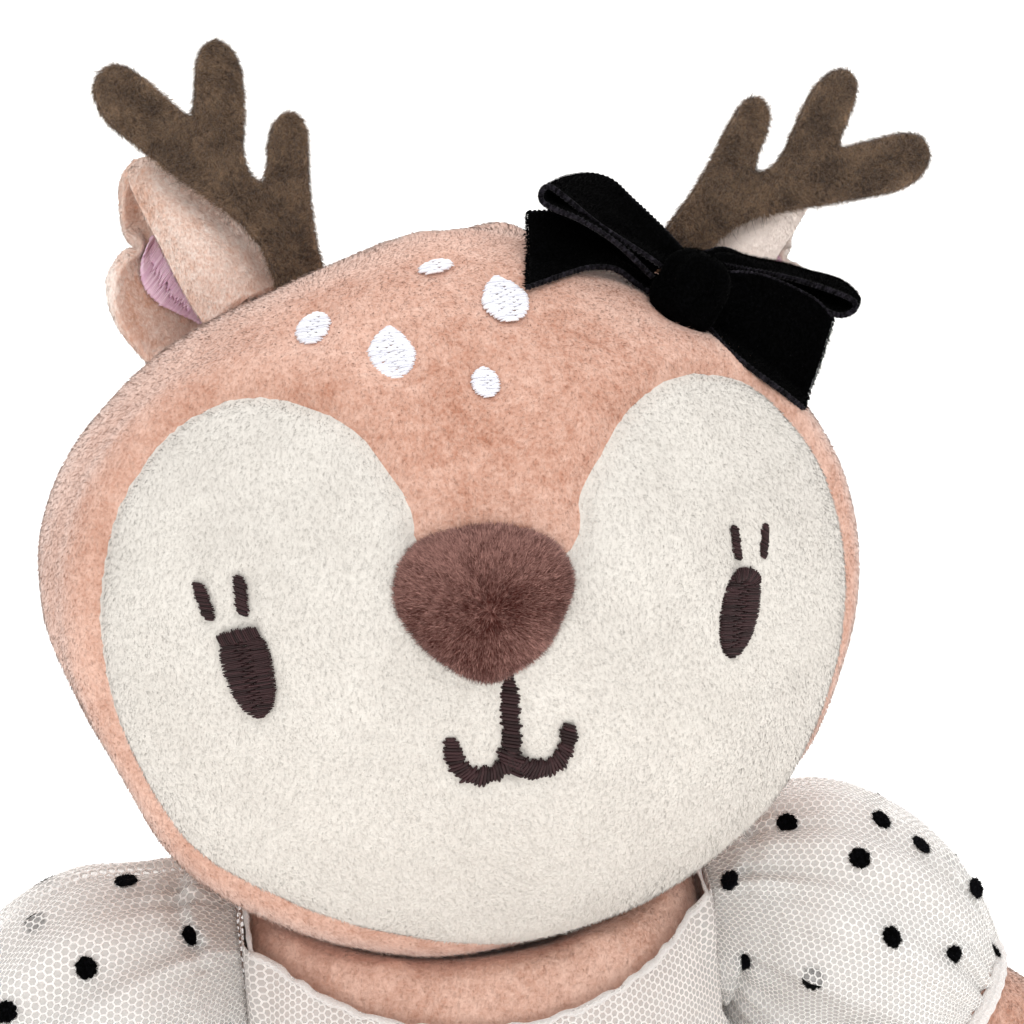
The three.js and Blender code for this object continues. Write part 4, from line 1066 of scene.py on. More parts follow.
    def cover(self, piece: Piece, finish: Finish, nap: Nap, tint: Array | float, body: str, slot: str, seed: int,
              pile: Array | None = None, centre: Sequence[float] = (0, 0, 0)) -> None:
        """Tints a piece, gives it its finish and sets its fibres, which ride with it.

        Args:
            piece: The cloth.
            finish: The finish of cloth and fibres.
            nap: How the fibres stand.
            tint: Tone from deep to bright, for each point or for all; on the head, nose, ears and body it also
                carries painted light and shade.
            body: The body that the piece moves with.
            slot: The record's material slot; not used.
            seed: Fixes what is random.
            pile: For each point, the share of fibres that grow there.
            centre: The point that a pile lying out leans away from.
        """
        set_values(piece, "tint", np.broadcast_to(tint, (len(piece.data.vertices),)))
        Wardrobe.dress(piece, finish)
        settle(self.add_nap(piece, finish, nap, seed, pile, centre), body)

    def lay_threads(self, name: str, places: Array, aims: Array, faces: Array, spans: Array, finish: Finish,
                    width: float, height: float, uneven: float = 0.06, seed: int = 3,
                    shape: Piece | None = None) -> Piece:
        """Lays stitches, or dots where another shape is given.

        Args:
            name: The new piece's name.
            places: Middle of each stitch, in millimetres.
            aims: Direction of each stitch.
            faces: Direction that each stitch faces.
            spans: Length of each stitch, in millimetres.
            finish: The thread's finish.
            width: Width of a thread, in millimetres.
            height: How far a thread stands up.
            uneven: Share by which the lengths vary.
            seed: Fixes what is random.
            shape: What is set at each point, if not a thread.

        Returns:
            The stitches as one piece.
        """
        carrier = make_piece(name + "_points", places, [])
        set_values(carrier, "aim", unit(aims))
        set_values(carrier, "face", unit(faces))
        set_values(carrier, "span", spans * MM)
        set_values(carrier, "tint", np.full(len(places), 0.5))
        piece = self.stitch.run(carrier, shape or self.thread, finish, name, Width=width * MM, Height=height * MM,
                                Uneven=uneven, Seed=seed)
        bpy.data.objects.remove(carrier)
        piece.data.shade_smooth()
        return piece


def settle(piece: Piece, body: str, nodes: Sequence[str] = ()) -> None:
    """Says what a finished piece rides on and stands for.

    Args:
        piece: The finished piece.
        body: The body that it moves with.
        nodes: The solids that it stands for.
    """
    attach(piece, body)
    if nodes:
        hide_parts(*nodes)
    log.info("%s rides on %s", piece.name, body)


# Studio


@dataclass
class Studio:
    """The camera at the photograph's angle, the floor and the soft lights."""

    target: tuple[float, float, float] = (0.0, 16.6, 182.0)
    distance: float = 450
    yaw: float = 10
    pitch: float = 2.5
    roll: float = 5
    scale: float = 4.73
    centre_pixel: tuple[float, float] = (452.0, 572.0)
    frame_pixels: float = 1024
    sensor: float = 36.0
    world_strength: float = 0.62
    lamps: tuple[tuple[str, tuple[float, float, float], float, float], ...] = (
        ("key_light", (160, -720, 900), 800, 4.4), ("fill_light", (-760, -560, 520), 800, 1.1),
        ("top_light", (60, 160, 980), 700, 3.1))

    def axes(self) -> tuple[Array, Array, Array]:
        """The view's forward, right and up directions.

        Returns:
            Three unit vectors.
        """
        yaw, pitch, roll = (math.radians(v) for v in (self.yaw, self.pitch, self.roll))
        back = np.array([-math.sin(yaw) * math.cos(pitch), -math.cos(yaw) * math.cos(pitch), math.sin(pitch)])
        forward = -back
        right = unit(np.cross(forward, np.array([0.0, 0.0, 1.0])))
        up = np.cross(right, forward)
        return forward, right * math.cos(roll) - up * math.sin(roll), up * math.cos(roll) + right * math.sin(roll)

    def position(self) -> Array:
        """Where the camera stands, in millimetres.

        Returns:
            A point in the deer's frame.
        """
        forward, right, up = self.axes()
        half = self.frame_pixels / 2
        return (np.array(self.target) - forward * self.distance + right * (half - self.centre_pixel[0]) / self.scale
                - up * (half - self.centre_pixel[1]) / self.scale)

    def place(self, stations: Array) -> Array:
        """Finds places from where the photograph shows them and how far off they are.

        Args:
            stations: Rows of a pixel across, a pixel down and the distance from the camera in millimetres.

        Returns:
            Points in the deer's frame.
        """
        forward, right, up = self.axes()
        half, focal = self.frame_pixels / 2, self.scale * self.distance
        across, down, away = np.asarray(stations, float).T
        aim = forward + np.outer((across - half) / focal, right) + np.outer((half - down) / focal, up)
        return self.position() + away[:, None] * aim

    def ray(self, x: float, y: float) -> tuple[Array, Array]:
        """The line of sight through a pixel of the photograph's frame.

        Args:
            x: Pixel across.
            y: Pixel down.

        Returns:
            The camera's place in millimetres and a unit direction.
        """
        forward, right, up = self.axes()
        half, focal = self.frame_pixels / 2, self.scale * self.distance
        aim = forward + right * (x - half) / focal + up * (half - y) / focal
        return self.position(), unit(aim[None, :])[0]

    def build_camera(self) -> None:
        """Makes the camera."""
        forward, right, up = self.axes()
        data = bpy.data.cameras.new("photo_camera")
        data.sensor_width = self.sensor
        data.lens = self.scale * self.distance * self.sensor / self.frame_pixels
        data.clip_start, data.clip_end = 0.01, 20.0
        camera = add_object("photo_camera", data)
        turn = Matrix((right, up, -forward)).transposed().to_4x4()
        camera.matrix_world = Matrix.Translation(Vector(self.position() * MM)) @ turn
        bpy.context.scene.camera = camera

    def build_floor(self) -> None:
        """Makes the floor that curves up behind the toy."""
        width, depth, radius = 1600.0, 700.0, 250.0
        bend = [(depth + radius * math.sin(a), radius * (1 - math.cos(a))) for a in np.linspace(0, math.pi / 2, 14)]
        profile = [(-1800.0, 0.0), (0.0, 0.0), *bend, (depth + radius, 1500.0)]
        points = np.array([(x, y, z - 0.05) for y, z in profile for x in (-width, width)])
        floor = make_piece("studio_floor", points, [f[::-1] for f in grid_faces(len(profile), 2)])
        Wardrobe.dress(floor, FLOOR)

    def light(self, name: str, place: Sequence[float], size: float, power: float) -> None:
        """Adds a soft square lamp that faces the head.

        Args:
            name: The lamp's name.
            place: Where it stands, in millimetres.
            size: Its side, in millimetres.
            power: Its power in watts.
        """
        data = bpy.data.lights.new(name, "AREA")
        data.size, data.energy = size * MM, power
        lamp = add_object(name, data)
        away = Vector(place) - Vector(self.target)
        facing = away.to_track_quat("Z", "Y").to_matrix().to_4x4()
        lamp.matrix_world = Matrix.Translation(Vector(place) * MM) @ facing

    def build(self) -> None:
        """Makes the camera, the floor and the lights."""
        self.build_camera()
        self.build_floor()
        for name, place, size, power in self.lamps:
            self.light(name, place, size, power)
        world = bpy.data.worlds.new("studio_world")
        world.use_nodes = True
        shade = world.node_tree.nodes["Background"]
        shade.inputs["Color"].default_value = (1.0, 0.995, 0.99, 1.0)
        shade.inputs["Strength"].default_value = self.world_strength
        bpy.context.scene.world = world
        bpy.context.scene.view_settings.view_transform = "Standard"


# Head


@dataclass
class HeadForm:
    """The head's surface, which the face, the ears and the bow sit on."""

    half_width: float = 86
    front_depth: float = 62
    back_depth: float = 58
    crown_height: float = 75
    chin_depth: float = 79
    crown_narrow: float = 0.5
    crown_flatten: float = 0.2
    dimple_depth: float = 3.5
    dimple_width: float = 9
    centre: tuple[float, float, float] = (0.0, 16.6, 182.0)
    mask_shares: tuple[tuple[float, float], ...] = (
        (0.0, -0.04), (0.165, 0.1), (0.19, 0.23), (0.27, 0.4), (0.37, 0.48), (0.503, 0.515), (0.65, 0.472),
        (0.768, 0.352), (0.848, 0.19), (0.886, -0.014), (0.882, -0.22), (0.84, -0.4),
        (0.758, -0.575), (0.645, -0.755), (0.45, -0.888), (0.22, -0.938), (0.0, -0.95))
    mask_shift: float = 2.0
    low_lift: tuple[tuple[float, float], ...] = (
        (-66, 0), (-60, 3), (-55, 5.6), (-46, 7.0), (-38, 6.6), (-30, 4.9), (-21, 3.2), (-13, 1.5), (-4, -0.4),
        (4, -1.3), (38, -1.7), (60, -0.8), (80, 0))
    high_lift: tuple[tuple[float, float], ...] = (
        (-80, 0), (-62, 1.4), (-45, 1.7), (-30, 0.5), (-20, 0), (15, 0), (22, -4.4), (28, -2.8), (36, -1.6),
        (60, -0.6), (80, 0))

    def tall(self, up: Array) -> Array:
        """The head's height above or below its centre, on the side that places are on."""
        return np.where(up > 0, self.crown_height, self.chin_depth)

    def deep(self, depth: Array) -> Array:
        """The head's depth before or behind its centre, on the side that places are on."""
        return np.where(depth < 0, self.front_depth, self.back_depth)

    def surface(self, directions: Array, grow: float = 0.0) -> Array:
        """Finds points of the surface.

        Args:
            directions: Unit rows of side, depth (front is negative) and height.
            grow: How far outside the surface, in millimetres.

        Returns:
            Points in the deer's frame.
        """
        side, depth, up = directions.T
        crown = np.maximum(up, 0) ** 4
        x = (self.half_width + grow) * side * (1 - self.crown_narrow * crown)
        y = (self.deep(depth) + grow) * depth * (1 - self.crown_flatten * crown)
        z = (self.tall(up) + grow) * up
        z = z - np.where(up > 0, self.dimple_depth * np.exp(-(x * x + y * y) / self.dimple_width ** 2), 0)
        return np.stack([x, y, z], axis=1) + np.array(self.centre)

    def facing(self, front: Array) -> Array:
        """Finds the direction of points seen from straight ahead.

        Args:
            front: Rows of x and z from the head's centre, in millimetres.

        Returns:
            Unit rows of side, depth and height.
        """
        up = np.clip(front[:, 1] / self.tall(front[:, 1]), -0.999, 0.999)
        side = front[:, 0] / (self.half_width * (1 - self.crown_narrow * np.maximum(up, 0) ** 4))
        room = 1 - up ** 2 - side ** 2
        return unit(np.stack([side, -np.sqrt(np.maximum(room, 0)), up], axis=1))

    def on_face(self, front: Array, grow: float = 0.0) -> Array:
        """Puts points of the front view on the surface."""
        return self.surface(self.facing(front), grow)

    def normals(self, directions: Array) -> Array:
        """Finds which way the surface faces.

        Args:
            directions: Unit rows of side, depth and height.

        Returns:
            Unit normals.
        """
        spin = unit(np.cross(directions, np.array([0.31, 0.12, 0.94])))
        other = np.cross(directions, spin)
        here = self.surface(directions)
        a = self.surface(unit(directions + spin * 0.01)) - here
        b = self.surface(unit(directions + other * 0.01)) - here
        normal = unit(np.cross(a, b))
        return normal * np.sign(np.sum(normal * directions, axis=1, keepdims=True))

    def shares(self, x: float, z: float) -> Array:
        """Turns shares of the half width and the height into a place in the front view."""
        return np.array([x * self.half_width, z * self.tall(z)])

    def mask_outline(self) -> Array:
        """The face panel's outline in the front view, in millimetres.

        Returns:
            Rows of x and z from the head's centre, in order round the panel.
        """
        half = spline([self.shares(x, z) for x, z in self.mask_shares], 110)
        whole = np.vstack([half, np.column_stack([-half[1:-1, 0], half[1:-1, 1]])[::-1]])
        aside = 0.6 + (self.mask_shift - 0.6) * smooth_step(np.abs(whole[:, 0]) / 60.0)
        low, high = (np.interp(whole[:, 0], *np.array(lift).T) for lift in (self.low_lift, self.high_lift))
        rise = low * smooth_step((-whole[:, 1] - 40.0) / 14.0) + high * smooth_step((whole[:, 1] - 8.0) / 14.0)
        return whole + np.column_stack([aside, rise])

    def reach(self, points: Array, grow: float = 0.0) -> Array:
        """How far out points are, as a share of the way to the surface.

        Args:
            points: Points in the deer's frame.
            grow: How far outside the surface one lies, in millimetres.

        Returns:
            Shares; below one is inside.
        """
        x, y, z = (points - np.array(self.centre)).T
        up = z / (self.tall(z) + grow)
        depth = y / (self.deep(y) + grow)
        share = np.ones(len(points))
        for _ in range(8):
            crown = np.clip(up / share, 0, 1) ** 4
            side = x / ((self.half_width + grow) * (1 - self.crown_narrow * crown))
            share = np.maximum(np.sqrt(side ** 2 + (depth / (1 - self.crown_flatten * crown)) ** 2 + up ** 2), 0.2)
        return share

    def lowest_at(self, x: Array, y: Array, clearance: float, turns: Sequence[float], pivot_y: float) -> Array:
        """Finds how low the head comes over places on the body as it turns.

        Args:
            x: Places across.
            y: Places in depth.
            clearance: Room to leave under the head.
            turns: Turns of the head, in degrees.
            pivot_y: Where its axis stands.

        Returns:
            Heights; very high where the head doesn't reach.
        """
        low = np.full(len(x), 1e3)
        for turn in turns:
            c, s = math.cos(math.radians(turn)), math.sin(math.radians(turn))
            u = c * x + s * (y - pivot_y)
            v = -s * x + c * (y - pivot_y) + pivot_y - self.centre[1]
            depth = self.deep(v) + clearance
            room = 1 - (u / (self.half_width + clearance)) ** 2 - (v / depth) ** 2
            z = self.centre[2] - (self.chin_depth + clearance) * np.sqrt(np.maximum(room, 0))
            low = np.where(room > 0, np.minimum(low, z), low)
        return low


@dataclass
class Head:
    """The stuffed head: peach cover, cream face panel and the seam between them."""

    form: HeadForm
    shop: Workshop
    seam_depth: float = 1.5
    seam_width: float = 2.6
    puff: float = 1.0
    puff_place: float = 9.0
    puff_width: float = 7.0
    pleats: int = 9
    pleat_depth: float = 1.1
    pleat_reach: float = 12.0
    stitch_dip: float = 0.75
    puckers: tuple[tuple[tuple[float, float, float], float, float], ...] = (
        ((-16.0, 0.0, 72.0), -3.6, 17.0), ((-34.0, 0.0, 60.0), -2.4, 13.0), ((-80.0, -2.0, -33.0), -5.8, 22.0),
        ((-84.0, 0.0, -20.0), 0.8, 5.0), ((-84.0, 0.0, -11.5), -3.2, 9.5), ((-86.0, 0.0, 4.0), -1.1, 8.0),
        ((76.0, 0.0, 26.0), -1.8, 9.0), ((66.0, -5.0, -41.0), 1.4, 12.0), ((0.0, 0.0, 73.0), -0.8, 6.0),
        ((8.0, -1.0, 72.0), -3.0, 2.8), ((17.5, 0.0, 71.0), 2.0, 6.0), ((4.0, -9.0, 69.5), -3.0, 3.8))
    stitched: list[tuple[Array, float]] = field(default_factory=list)

    def swell(self, directions: Array, points: Array, distance: Array) -> Array:
        """Moves the plain surface in at the seam, out beside it, and into the pleats of the crown.

        Args:
            directions: The points' directions.
            points: The plain surface's points.
            distance: Distance inside the face panel's outline.

        Returns:
            The moved points.
        """
        normals = self.form.normals(directions)
        away = np.abs(distance) / np.maximum(np.abs(normals[:, 1]), 0.4)
        seam = -self.seam_depth * np.exp(-(away / self.seam_width) ** 2)
        beside = self.puff * np.exp(-((away - self.puff_place) / self.puff_width) ** 2)
        from_crown = points - self.form.surface(np.array([[0.03, 0.0, 1.0]]))[0]
        reach = np.linalg.norm(from_crown, axis=1)
        spokes = np.arctan2(from_crown[:, 1], from_crown[:, 0])
        rays = (0.5 + 0.5 * np.cos(spokes * self.pleats + 1.0)) ** 2
        pleat = -self.pleat_depth * np.exp(-(reach / self.pleat_reach) ** 2) * rays
        for place, size, width in self.puckers:
            aside = np.linalg.norm(points - self.form.centre - np.array(place), axis=1)
            pleat = pleat + size * np.exp(-(aside / width) ** 2)
        slow = 0.7 * soft_noise(points, 34.0, 2.0) + 0.22 * soft_noise(points, 11.0, 5.0)
        return points + normals * (seam + beside + pleat + slow)[:, None]

    def build(self) -> None:
        """Makes the cover and the panel from one fine sphere that is parted along the seam."""
        work = bmesh.new()
        bmesh.ops.create_icosphere(work, subdivisions=7, radius=1.0)
        work.verts.ensure_lookup_table()
        directions = unit(np.array([v.co[:] for v in work.verts]))
        triangles = np.array([[v.index for v in f.verts] for f in work.faces])
        work.free()
        outline = self.form.mask_outline()
        distance = self.panel_distance(directions, outline)
        directions, triangles, distance = self.part(directions, triangles, distance, outline)
        points = self.swell(directions, self.form.surface(directions), distance)
        inside = np.max(np.where(np.abs(distance[triangles]) < 1e-6, -1.0, np.sign(distance[triangles])),
                        axis=1) > 0
        whole = make_piece("head_whole", points, triangles)
        normals = normals_of(whole)
        bpy.data.objects.remove(whole)
        pile = np.clip(np.abs(distance) / 1.2, 0.25, 1.0)
        for area, reach in self.stitched:
            front = points[:, [0, 2]] - np.array([self.form.centre[0], self.form.centre[2]])
            near = outline_distance(front, area)
            pile = np.where((near > -reach) & (points[:, 1] < self.form.centre[1]), 0.0, pile)
            dip = np.where(points[:, 1] < self.form.centre[1], np.exp(-(np.maximum(-near, 0) / 1.6) ** 2), 0.0)
            points = points - normals * (self.stitch_dip * dip)[:, None]
        self.make_part("head_cover_plush", points, triangles[~inside], pile, PEACH, "peach_plush",
                       ("head_cover", "head_stuffing"), HEAD_NAP, 11)
        self.make_part("face_panel_plush", points, triangles[inside], pile, CREAM, "cream_plush",
                       ("face_panel",), FACE_NAP, 12)

    def panel_distance(self, directions: Array, outline: Array) -> Array:
        """Distance of surface points inside the panel's outline, seen from straight ahead.

        Args:
            directions: Unit rows of side, depth and height.
            outline: The outline in the front view.

        Returns:
            Distances, positive inside and negative outside.
        """
        flat = self.form.surface(directions) - np.array(self.form.centre)
        distance = outline_distance(flat[:, [0, 2]], outline)
        return np.where(directions[:, 1] < -0.04, distance, -np.maximum(np.abs(distance), 6.0))

    def part(self, directions: Array, triangles: Array, distance: Array,
             outline: Array) -> tuple[Array, Array, Array]:
        """Cuts triangles along the panel's outline, so that the seam is a clean line.

        Args:
            directions: Unit directions of the sphere's points.
            triangles: The sphere's triangles.
            distance: Each point's distance inside the outline.
            outline: The outline in the front view.

        Returns:
            Directions, triangles and distances, with points added on the seam.
        """
        distance = distance.copy()
        distance[np.abs(distance) < 0.25] = 0.0
        sign = np.sign(distance)
        crossing = np.where((np.max(sign[triangles], axis=1) > 0) & (np.min(sign[triangles], axis=1) < 0))[0]
        extra, kept, added = {}, np.ones(len(triangles), bool), []
        more: list[Array] = []

        def cut(a: int, b: int) -> int:
            """The new point where an edge crosses the seam.

            Args:
                a: Number of one end.
                b: Number of the other end.

            Returns:
                The point's number.
            """
            key = (min(a, b), max(a, b))
            if key not in extra:
                low, high = directions[a], directions[b]
                for _ in range(12):
                    middle = unit((low + high)[None, :])[0]
                    same = self.panel_distance(middle[None, :], outline)[0] * distance[a] > 0
                    low, high = (middle, high) if same else (low, middle)
                extra[key] = len(directions) + len(more)
                more.append(unit((low + high)[None, :])[0])
            return extra[key]

        for row in crossing:
            kept[row] = False
            a, b, c = triangles[row]
            for _ in range(3):
                if sign[a] == 0 or (sign[b] != 0 and sign[c] != 0 and sign[b] == sign[c]):
                    break
                a, b, c = b, c, a
            if sign[a] == 0:
                d = cut(b, c)
                added += [(a, b, d), (a, d, c)]
            else:
                d, e = cut(a, b), cut(a, c)
                added += [(a, d, e), (d, b, c), (d, c, e)]
        triangles = np.vstack([triangles[kept], np.array(added)])
        return np.vstack([directions, np.array(more)]), triangles, np.concatenate([distance, np.zeros(len(more))])

    def make_part(self, name: str, points: Array, triangles: Array, pile: Array, finish: PileFinish, slot: str,
                  nodes: Sequence[str], nap: Nap, seed: int) -> None:
        """Makes one part of the head with its pile.

        Args:
            name: The piece's name.
            points: All points of the head.
            triangles: This part's triangles.
            pile: For each point, the share of fibres there.
            finish: The part's finish.
            slot: The record's material slot.
            nodes: The solids that it stands for.
            nap: How its fibres stand.
            seed: Fixes what is random.
        """
        used, numbers = np.unique(triangles, return_inverse=True)
        piece = make_piece(name, points[used], numbers.reshape(-1, 3))
        local = points[used] - np.array(self.form.centre)
        # The front of the brow is painted darker, so that the sides, top and back read lighter: painted sheen, as
        # short pile whitens at glancing angles.
        painted_shade_brow = np.exp(-(local[:, 0] / 42.0) ** 2 - ((local[:, 2] - 30.0) / 26.0) ** 2) * (local[:, 1] < 0)
        self.shop.cover(piece, finish, nap, 0.62 - 0.34 * painted_shade_brow, "head", slot, seed, pile[used])
        settle(piece, "head", nodes)


@dataclass(frozen=True)
class SewnEye:
    """One embroidered eye, in shares of the head's half width and height, with its two lashes."""

    place: tuple[float, float]
    lean: float
    flat_top: float
    lid_height: float
    lid_half: float
    lid_bend: float
    lashes: tuple[tuple[str, float, float, float], ...]
    lash_scale: float = 1.0


SEWN_EYES = {
    Side.LEFT: SewnEye((-0.545, -0.139), 9.8, 0.6, 0.375, 3.5, 0.0,
                       (("inner", -0.547, 0.042, 0.0), ("outer", -0.626, 0.034, 14.0))),
    Side.RIGHT: SewnEye((0.556, -0.121), 16.5, 0.2, 0.40, 2.7, 0.16,
                        (("inner", 0.56, 0.05, -2.0), ("outer", 0.638, 0.044, 12.0)), 0.8)}


@dataclass
class Stitching:
    """The embroidered eyes, lashes, mouth and forehead spots."""

    form: HeadForm
    shop: Workshop
    thread: float = 0.42
    eye_width: float = 8.4
    eye_height: float = 18.1
    lash_width: float = 2.3
    lash_length: float = 7.0
    mouth_stroke: float = 3.5
    mouth_foot: float = -0.41
    mouth_hook: tuple[tuple[float, float], ...] = (
        (0.0, -0.415), (0.045, -0.438), (0.088, -0.438), (0.122, -0.4), (0.132, -0.34))
    spots: tuple[tuple[str, float, float, float, float, float, float], ...] = (
        ("crown", -0.028, 0.83, 7.0, 2.6, 10, 0.0), ("high", 0.108, 0.727, 9.4, 9.4, 6, 0.42),
        ("low", 0.022, 0.513, 5.3, 5.6, 0, 0.05), ("middle", -0.168, 0.61, 8.6, 10.2, -6, 0.45),
        ("side", -0.325, 0.692, 5.0, 7.6, -50, 0.05))

    def oval(self, width: float, height: float, point: float, degrees: float, place: Array,
             flat_top: float = 0.0) -> Array:
        """Draws an oval in the front view.

        Args:
            width: Its width.
            height: Its height.
            point: How far its top is drawn to a point.
            degrees: Its turn.
            place: Its middle.
            flat_top: Share of the height that is cut off its top.

        Returns:
            The outline's points.
        """
        angle = all_round(64)
        up = np.cos(angle)
        across = -np.sin(angle) * width / 2 * (1 - point * np.maximum(up, 0) ** 1.2)
        square = np.sign(up) * np.abs(up) ** (1 - 0.35 * flat_top * (up > 0))
        along = np.minimum(square * height / 2, height / 2 * (1 - flat_top * 0.3))
        return self.turned(np.column_stack([across * (1 + 0.1 * flat_top * (up > 0)), along]), degrees) + place

    @staticmethod
    def turned(points: Array, degrees: float) -> Array:
        """Turns points of the front view about the origin."""
        c, s = math.cos(math.radians(degrees)), math.sin(math.radians(degrees))
        return points @ np.array([[c, s], [-s, c]])

    def eye_outline(self, side: Side) -> Array:
        """One eye's outline in the front view."""
        eye = SEWN_EYES[side]
        return self.oval(self.eye_width, self.eye_height, 0.0, -eye.lean * side.value,
                         self.form.shares(*eye.place), eye.flat_top)

    def stroke_outline(self, line: Array, width: float) -> Array:
        """The outline of a thick line in the front view.

        Args:
            line: The stroke's middle line.
            width: Its width.

        Returns:
            Points in order round the stroke.
        """
        along = unit(np.gradient(line, axis=0))
        side = np.column_stack([-along[:, 1], along[:, 0]]) * width / 2
        return np.vstack([line + side, (line - side)[::-1]])

    def mouth_lines(self) -> list[Array]:
        """The mouth's strokes: its stem and its two hooks, each in a few satin stretches.

        Returns:
            The middle line of each stroke.
        """
        end = self.form.shares(0, self.mouth_foot)
        stem = spline([(0.0, -15.6), (0.0, -24.0), tuple(end + np.array([0.0, 0.6]))], 30)
        hooks = []
        for side in Side:
            hooks.append(spline([self.form.shares(x * side.value, z) for x, z in self.mouth_hook], 48))
        return [stem, *hooks]

    def areas(self) -> list[tuple[Array, float]]:
        """Every stitched outline in the front view, with the bare margin round it.

        Returns:
            Pairs of an outline and a margin in millimetres.
        """
        found = [(self.eye_outline(side), 0.35) for side in Side]
        for line in self.mouth_lines():
            found.append((self.stroke_outline(line, self.mouth_stroke), 0.3))
        for side in Side:
            for _, x, z, lean in SEWN_EYES[side].lashes:
                found.append((self.stroke_outline(self.lash_line(side, x, z, lean), self.lash_width), 0.3))
        for _, x, z, width, height, turn, point in self.spots:
            found.append((self.oval(width, height, point, turn, self.form.shares(x, z)), 0.35))
        return found

    def lash_line(self, side: Side, x: float, z: float, lean: float) -> Array:
        """The middle line of one lash.

        Args:
            side: Whose eye it stands over.
            x: Share of the head's half width.
            z: Share of the head's height.
            lean: How far its top leans outwards, in degrees.

        Returns:
            Points in the front view.
        """
        length = self.lash_length * (0.5 + 0.5 * SEWN_EYES[side].lash_scale)
        line = np.column_stack([np.zeros(20), np.linspace(-0.5, 0.5, 20) * length])
        return self.turned(line, -lean * side.value) + self.form.shares(x, z)

    def lay(self, name: str, middles: Array, halves: Array, finish: Finish, nodes: Sequence[str], seed: int,
            lift: float = 0.0, uneven: float = 0.05, thread: float | None = None) -> None:
        """Lays stitches given in the front view on the head.

        Args:
            name: The piece's name.
            middles: The stitches' middles.
            halves: From each middle to the stitch's end.
            finish: The thread's finish.
            nodes: The solids that the piece stands for.
            seed: Fixes what is random.
            lift: How far they lie above the cloth.
            uneven: Share by which the lengths vary.
            thread: The thread's thickness, if not the usual one.
        """
        thread = thread or self.thread
        start, end = self.form.on_face(middles - halves, lift), self.form.on_face(middles + halves, lift)
        face = self.form.normals(self.form.facing(middles))
        places = self.form.on_face(middles, lift - 0.15)
        spans = np.linalg.norm(end - start, axis=1)
        piece = self.shop.lay_threads(name, places, end - start, face, spans, finish, thread * 1.12, thread * 1.5,
                                      uneven, seed)
        settle(piece, "head", nodes)

    def fill_area(self, name: str, outline: Array, degrees: float, finish: Finish, nodes: Sequence[str], seed: int,
                  longest: float = 3.6) -> None:
        """Fills an outline with rows of stitches that lie side by side.

        Args:
            name: The piece's name.
            outline: The outline in the front view.
            degrees: Direction of the stitches.
            finish: The thread's finish.
            nodes: The solids that the piece stands for.
            seed: Fixes what is random.
            longest: Longest single stitch.
        """
        rng = np.random.default_rng(seed)
        flat = self.turned(outline, -degrees)
        rows = np.arange(flat[:, 1].min() + self.thread * 0.4, flat[:, 1].max(), self.thread * 0.8)
        middles, halves = [], []
        for number, height in enumerate(rows):
            crossings = []
            for a, b in zip(flat, np.roll(flat, -1, axis=0)):
                if (a[1] - height) * (b[1] - height) < 0:
                    crossings.append(a[0] + (height - a[1]) / (b[1] - a[1]) * (b[0] - a[0]))
            if len(crossings) < 2:
                continue
            low, high = min(crossings), max(crossings)
            count = max(1, round((high - low) / longest))
            cuts = np.linspace(low, high, count + 1)
            if count > 1:
                cuts[1:-1] += ((number % 3) - 1) * longest * 0.28 + rng.uniform(-0.3, 0.3, count - 1)
            cuts[0] -= rng.uniform(-0.06, 0.2)
            cuts[-1] += rng.uniform(-0.06, 0.2)
            for a, b in zip(cuts, cuts[1:]):
                middles.append(((a + b) / 2, height + rng.uniform(-0.05, 0.05)))
                halves.append(((b - a) / 2 * 1.06, rng.uniform(-0.12, 0.12)))
        self.lay(name, self.turned(np.array(middles), degrees), self.turned(np.array(halves), degrees), finish,
                 nodes, seed)

    def satin(self, line: Array, width: float, slant: float, seed: int, pitch: float = 0.34,
              ragged: float = 0.14) -> tuple[Array, Array]:
        """Places stitches across a line.

        Args:
            line: The stroke's middle line, in the front view.
            width: The stroke's width.
            slant: How far the stitches lean along the line, in degrees.
            seed: Fixes what is random.
            pitch: From one stitch to the next.
            ragged: Share by which the stitches' reach varies.

        Returns:
            The stitches' middles and halves.
        """
        rng = np.random.default_rng(seed)
        length = np.sum(np.linalg.norm(np.diff(line, axis=0), axis=1))
        middles = spline(line, max(4, int(length / pitch)))
        along = unit(np.gradient(middles, axis=0))
        across = np.column_stack([-along[:, 1], along[:, 0]])
        lean = math.tan(math.radians(slant))
        ends = np.linspace(0, 1, len(middles))
        taper = 1 - 0.35 * (np.abs(ends * 2 - 1) ** 8)
        reach = (width / 2 * taper * rng.uniform(1 - ragged, 1 + ragged, len(middles)))[:, None]
        return middles + across * rng.uniform(-0.16, 0.16, (len(middles), 1)), (across + along * lean) * reach

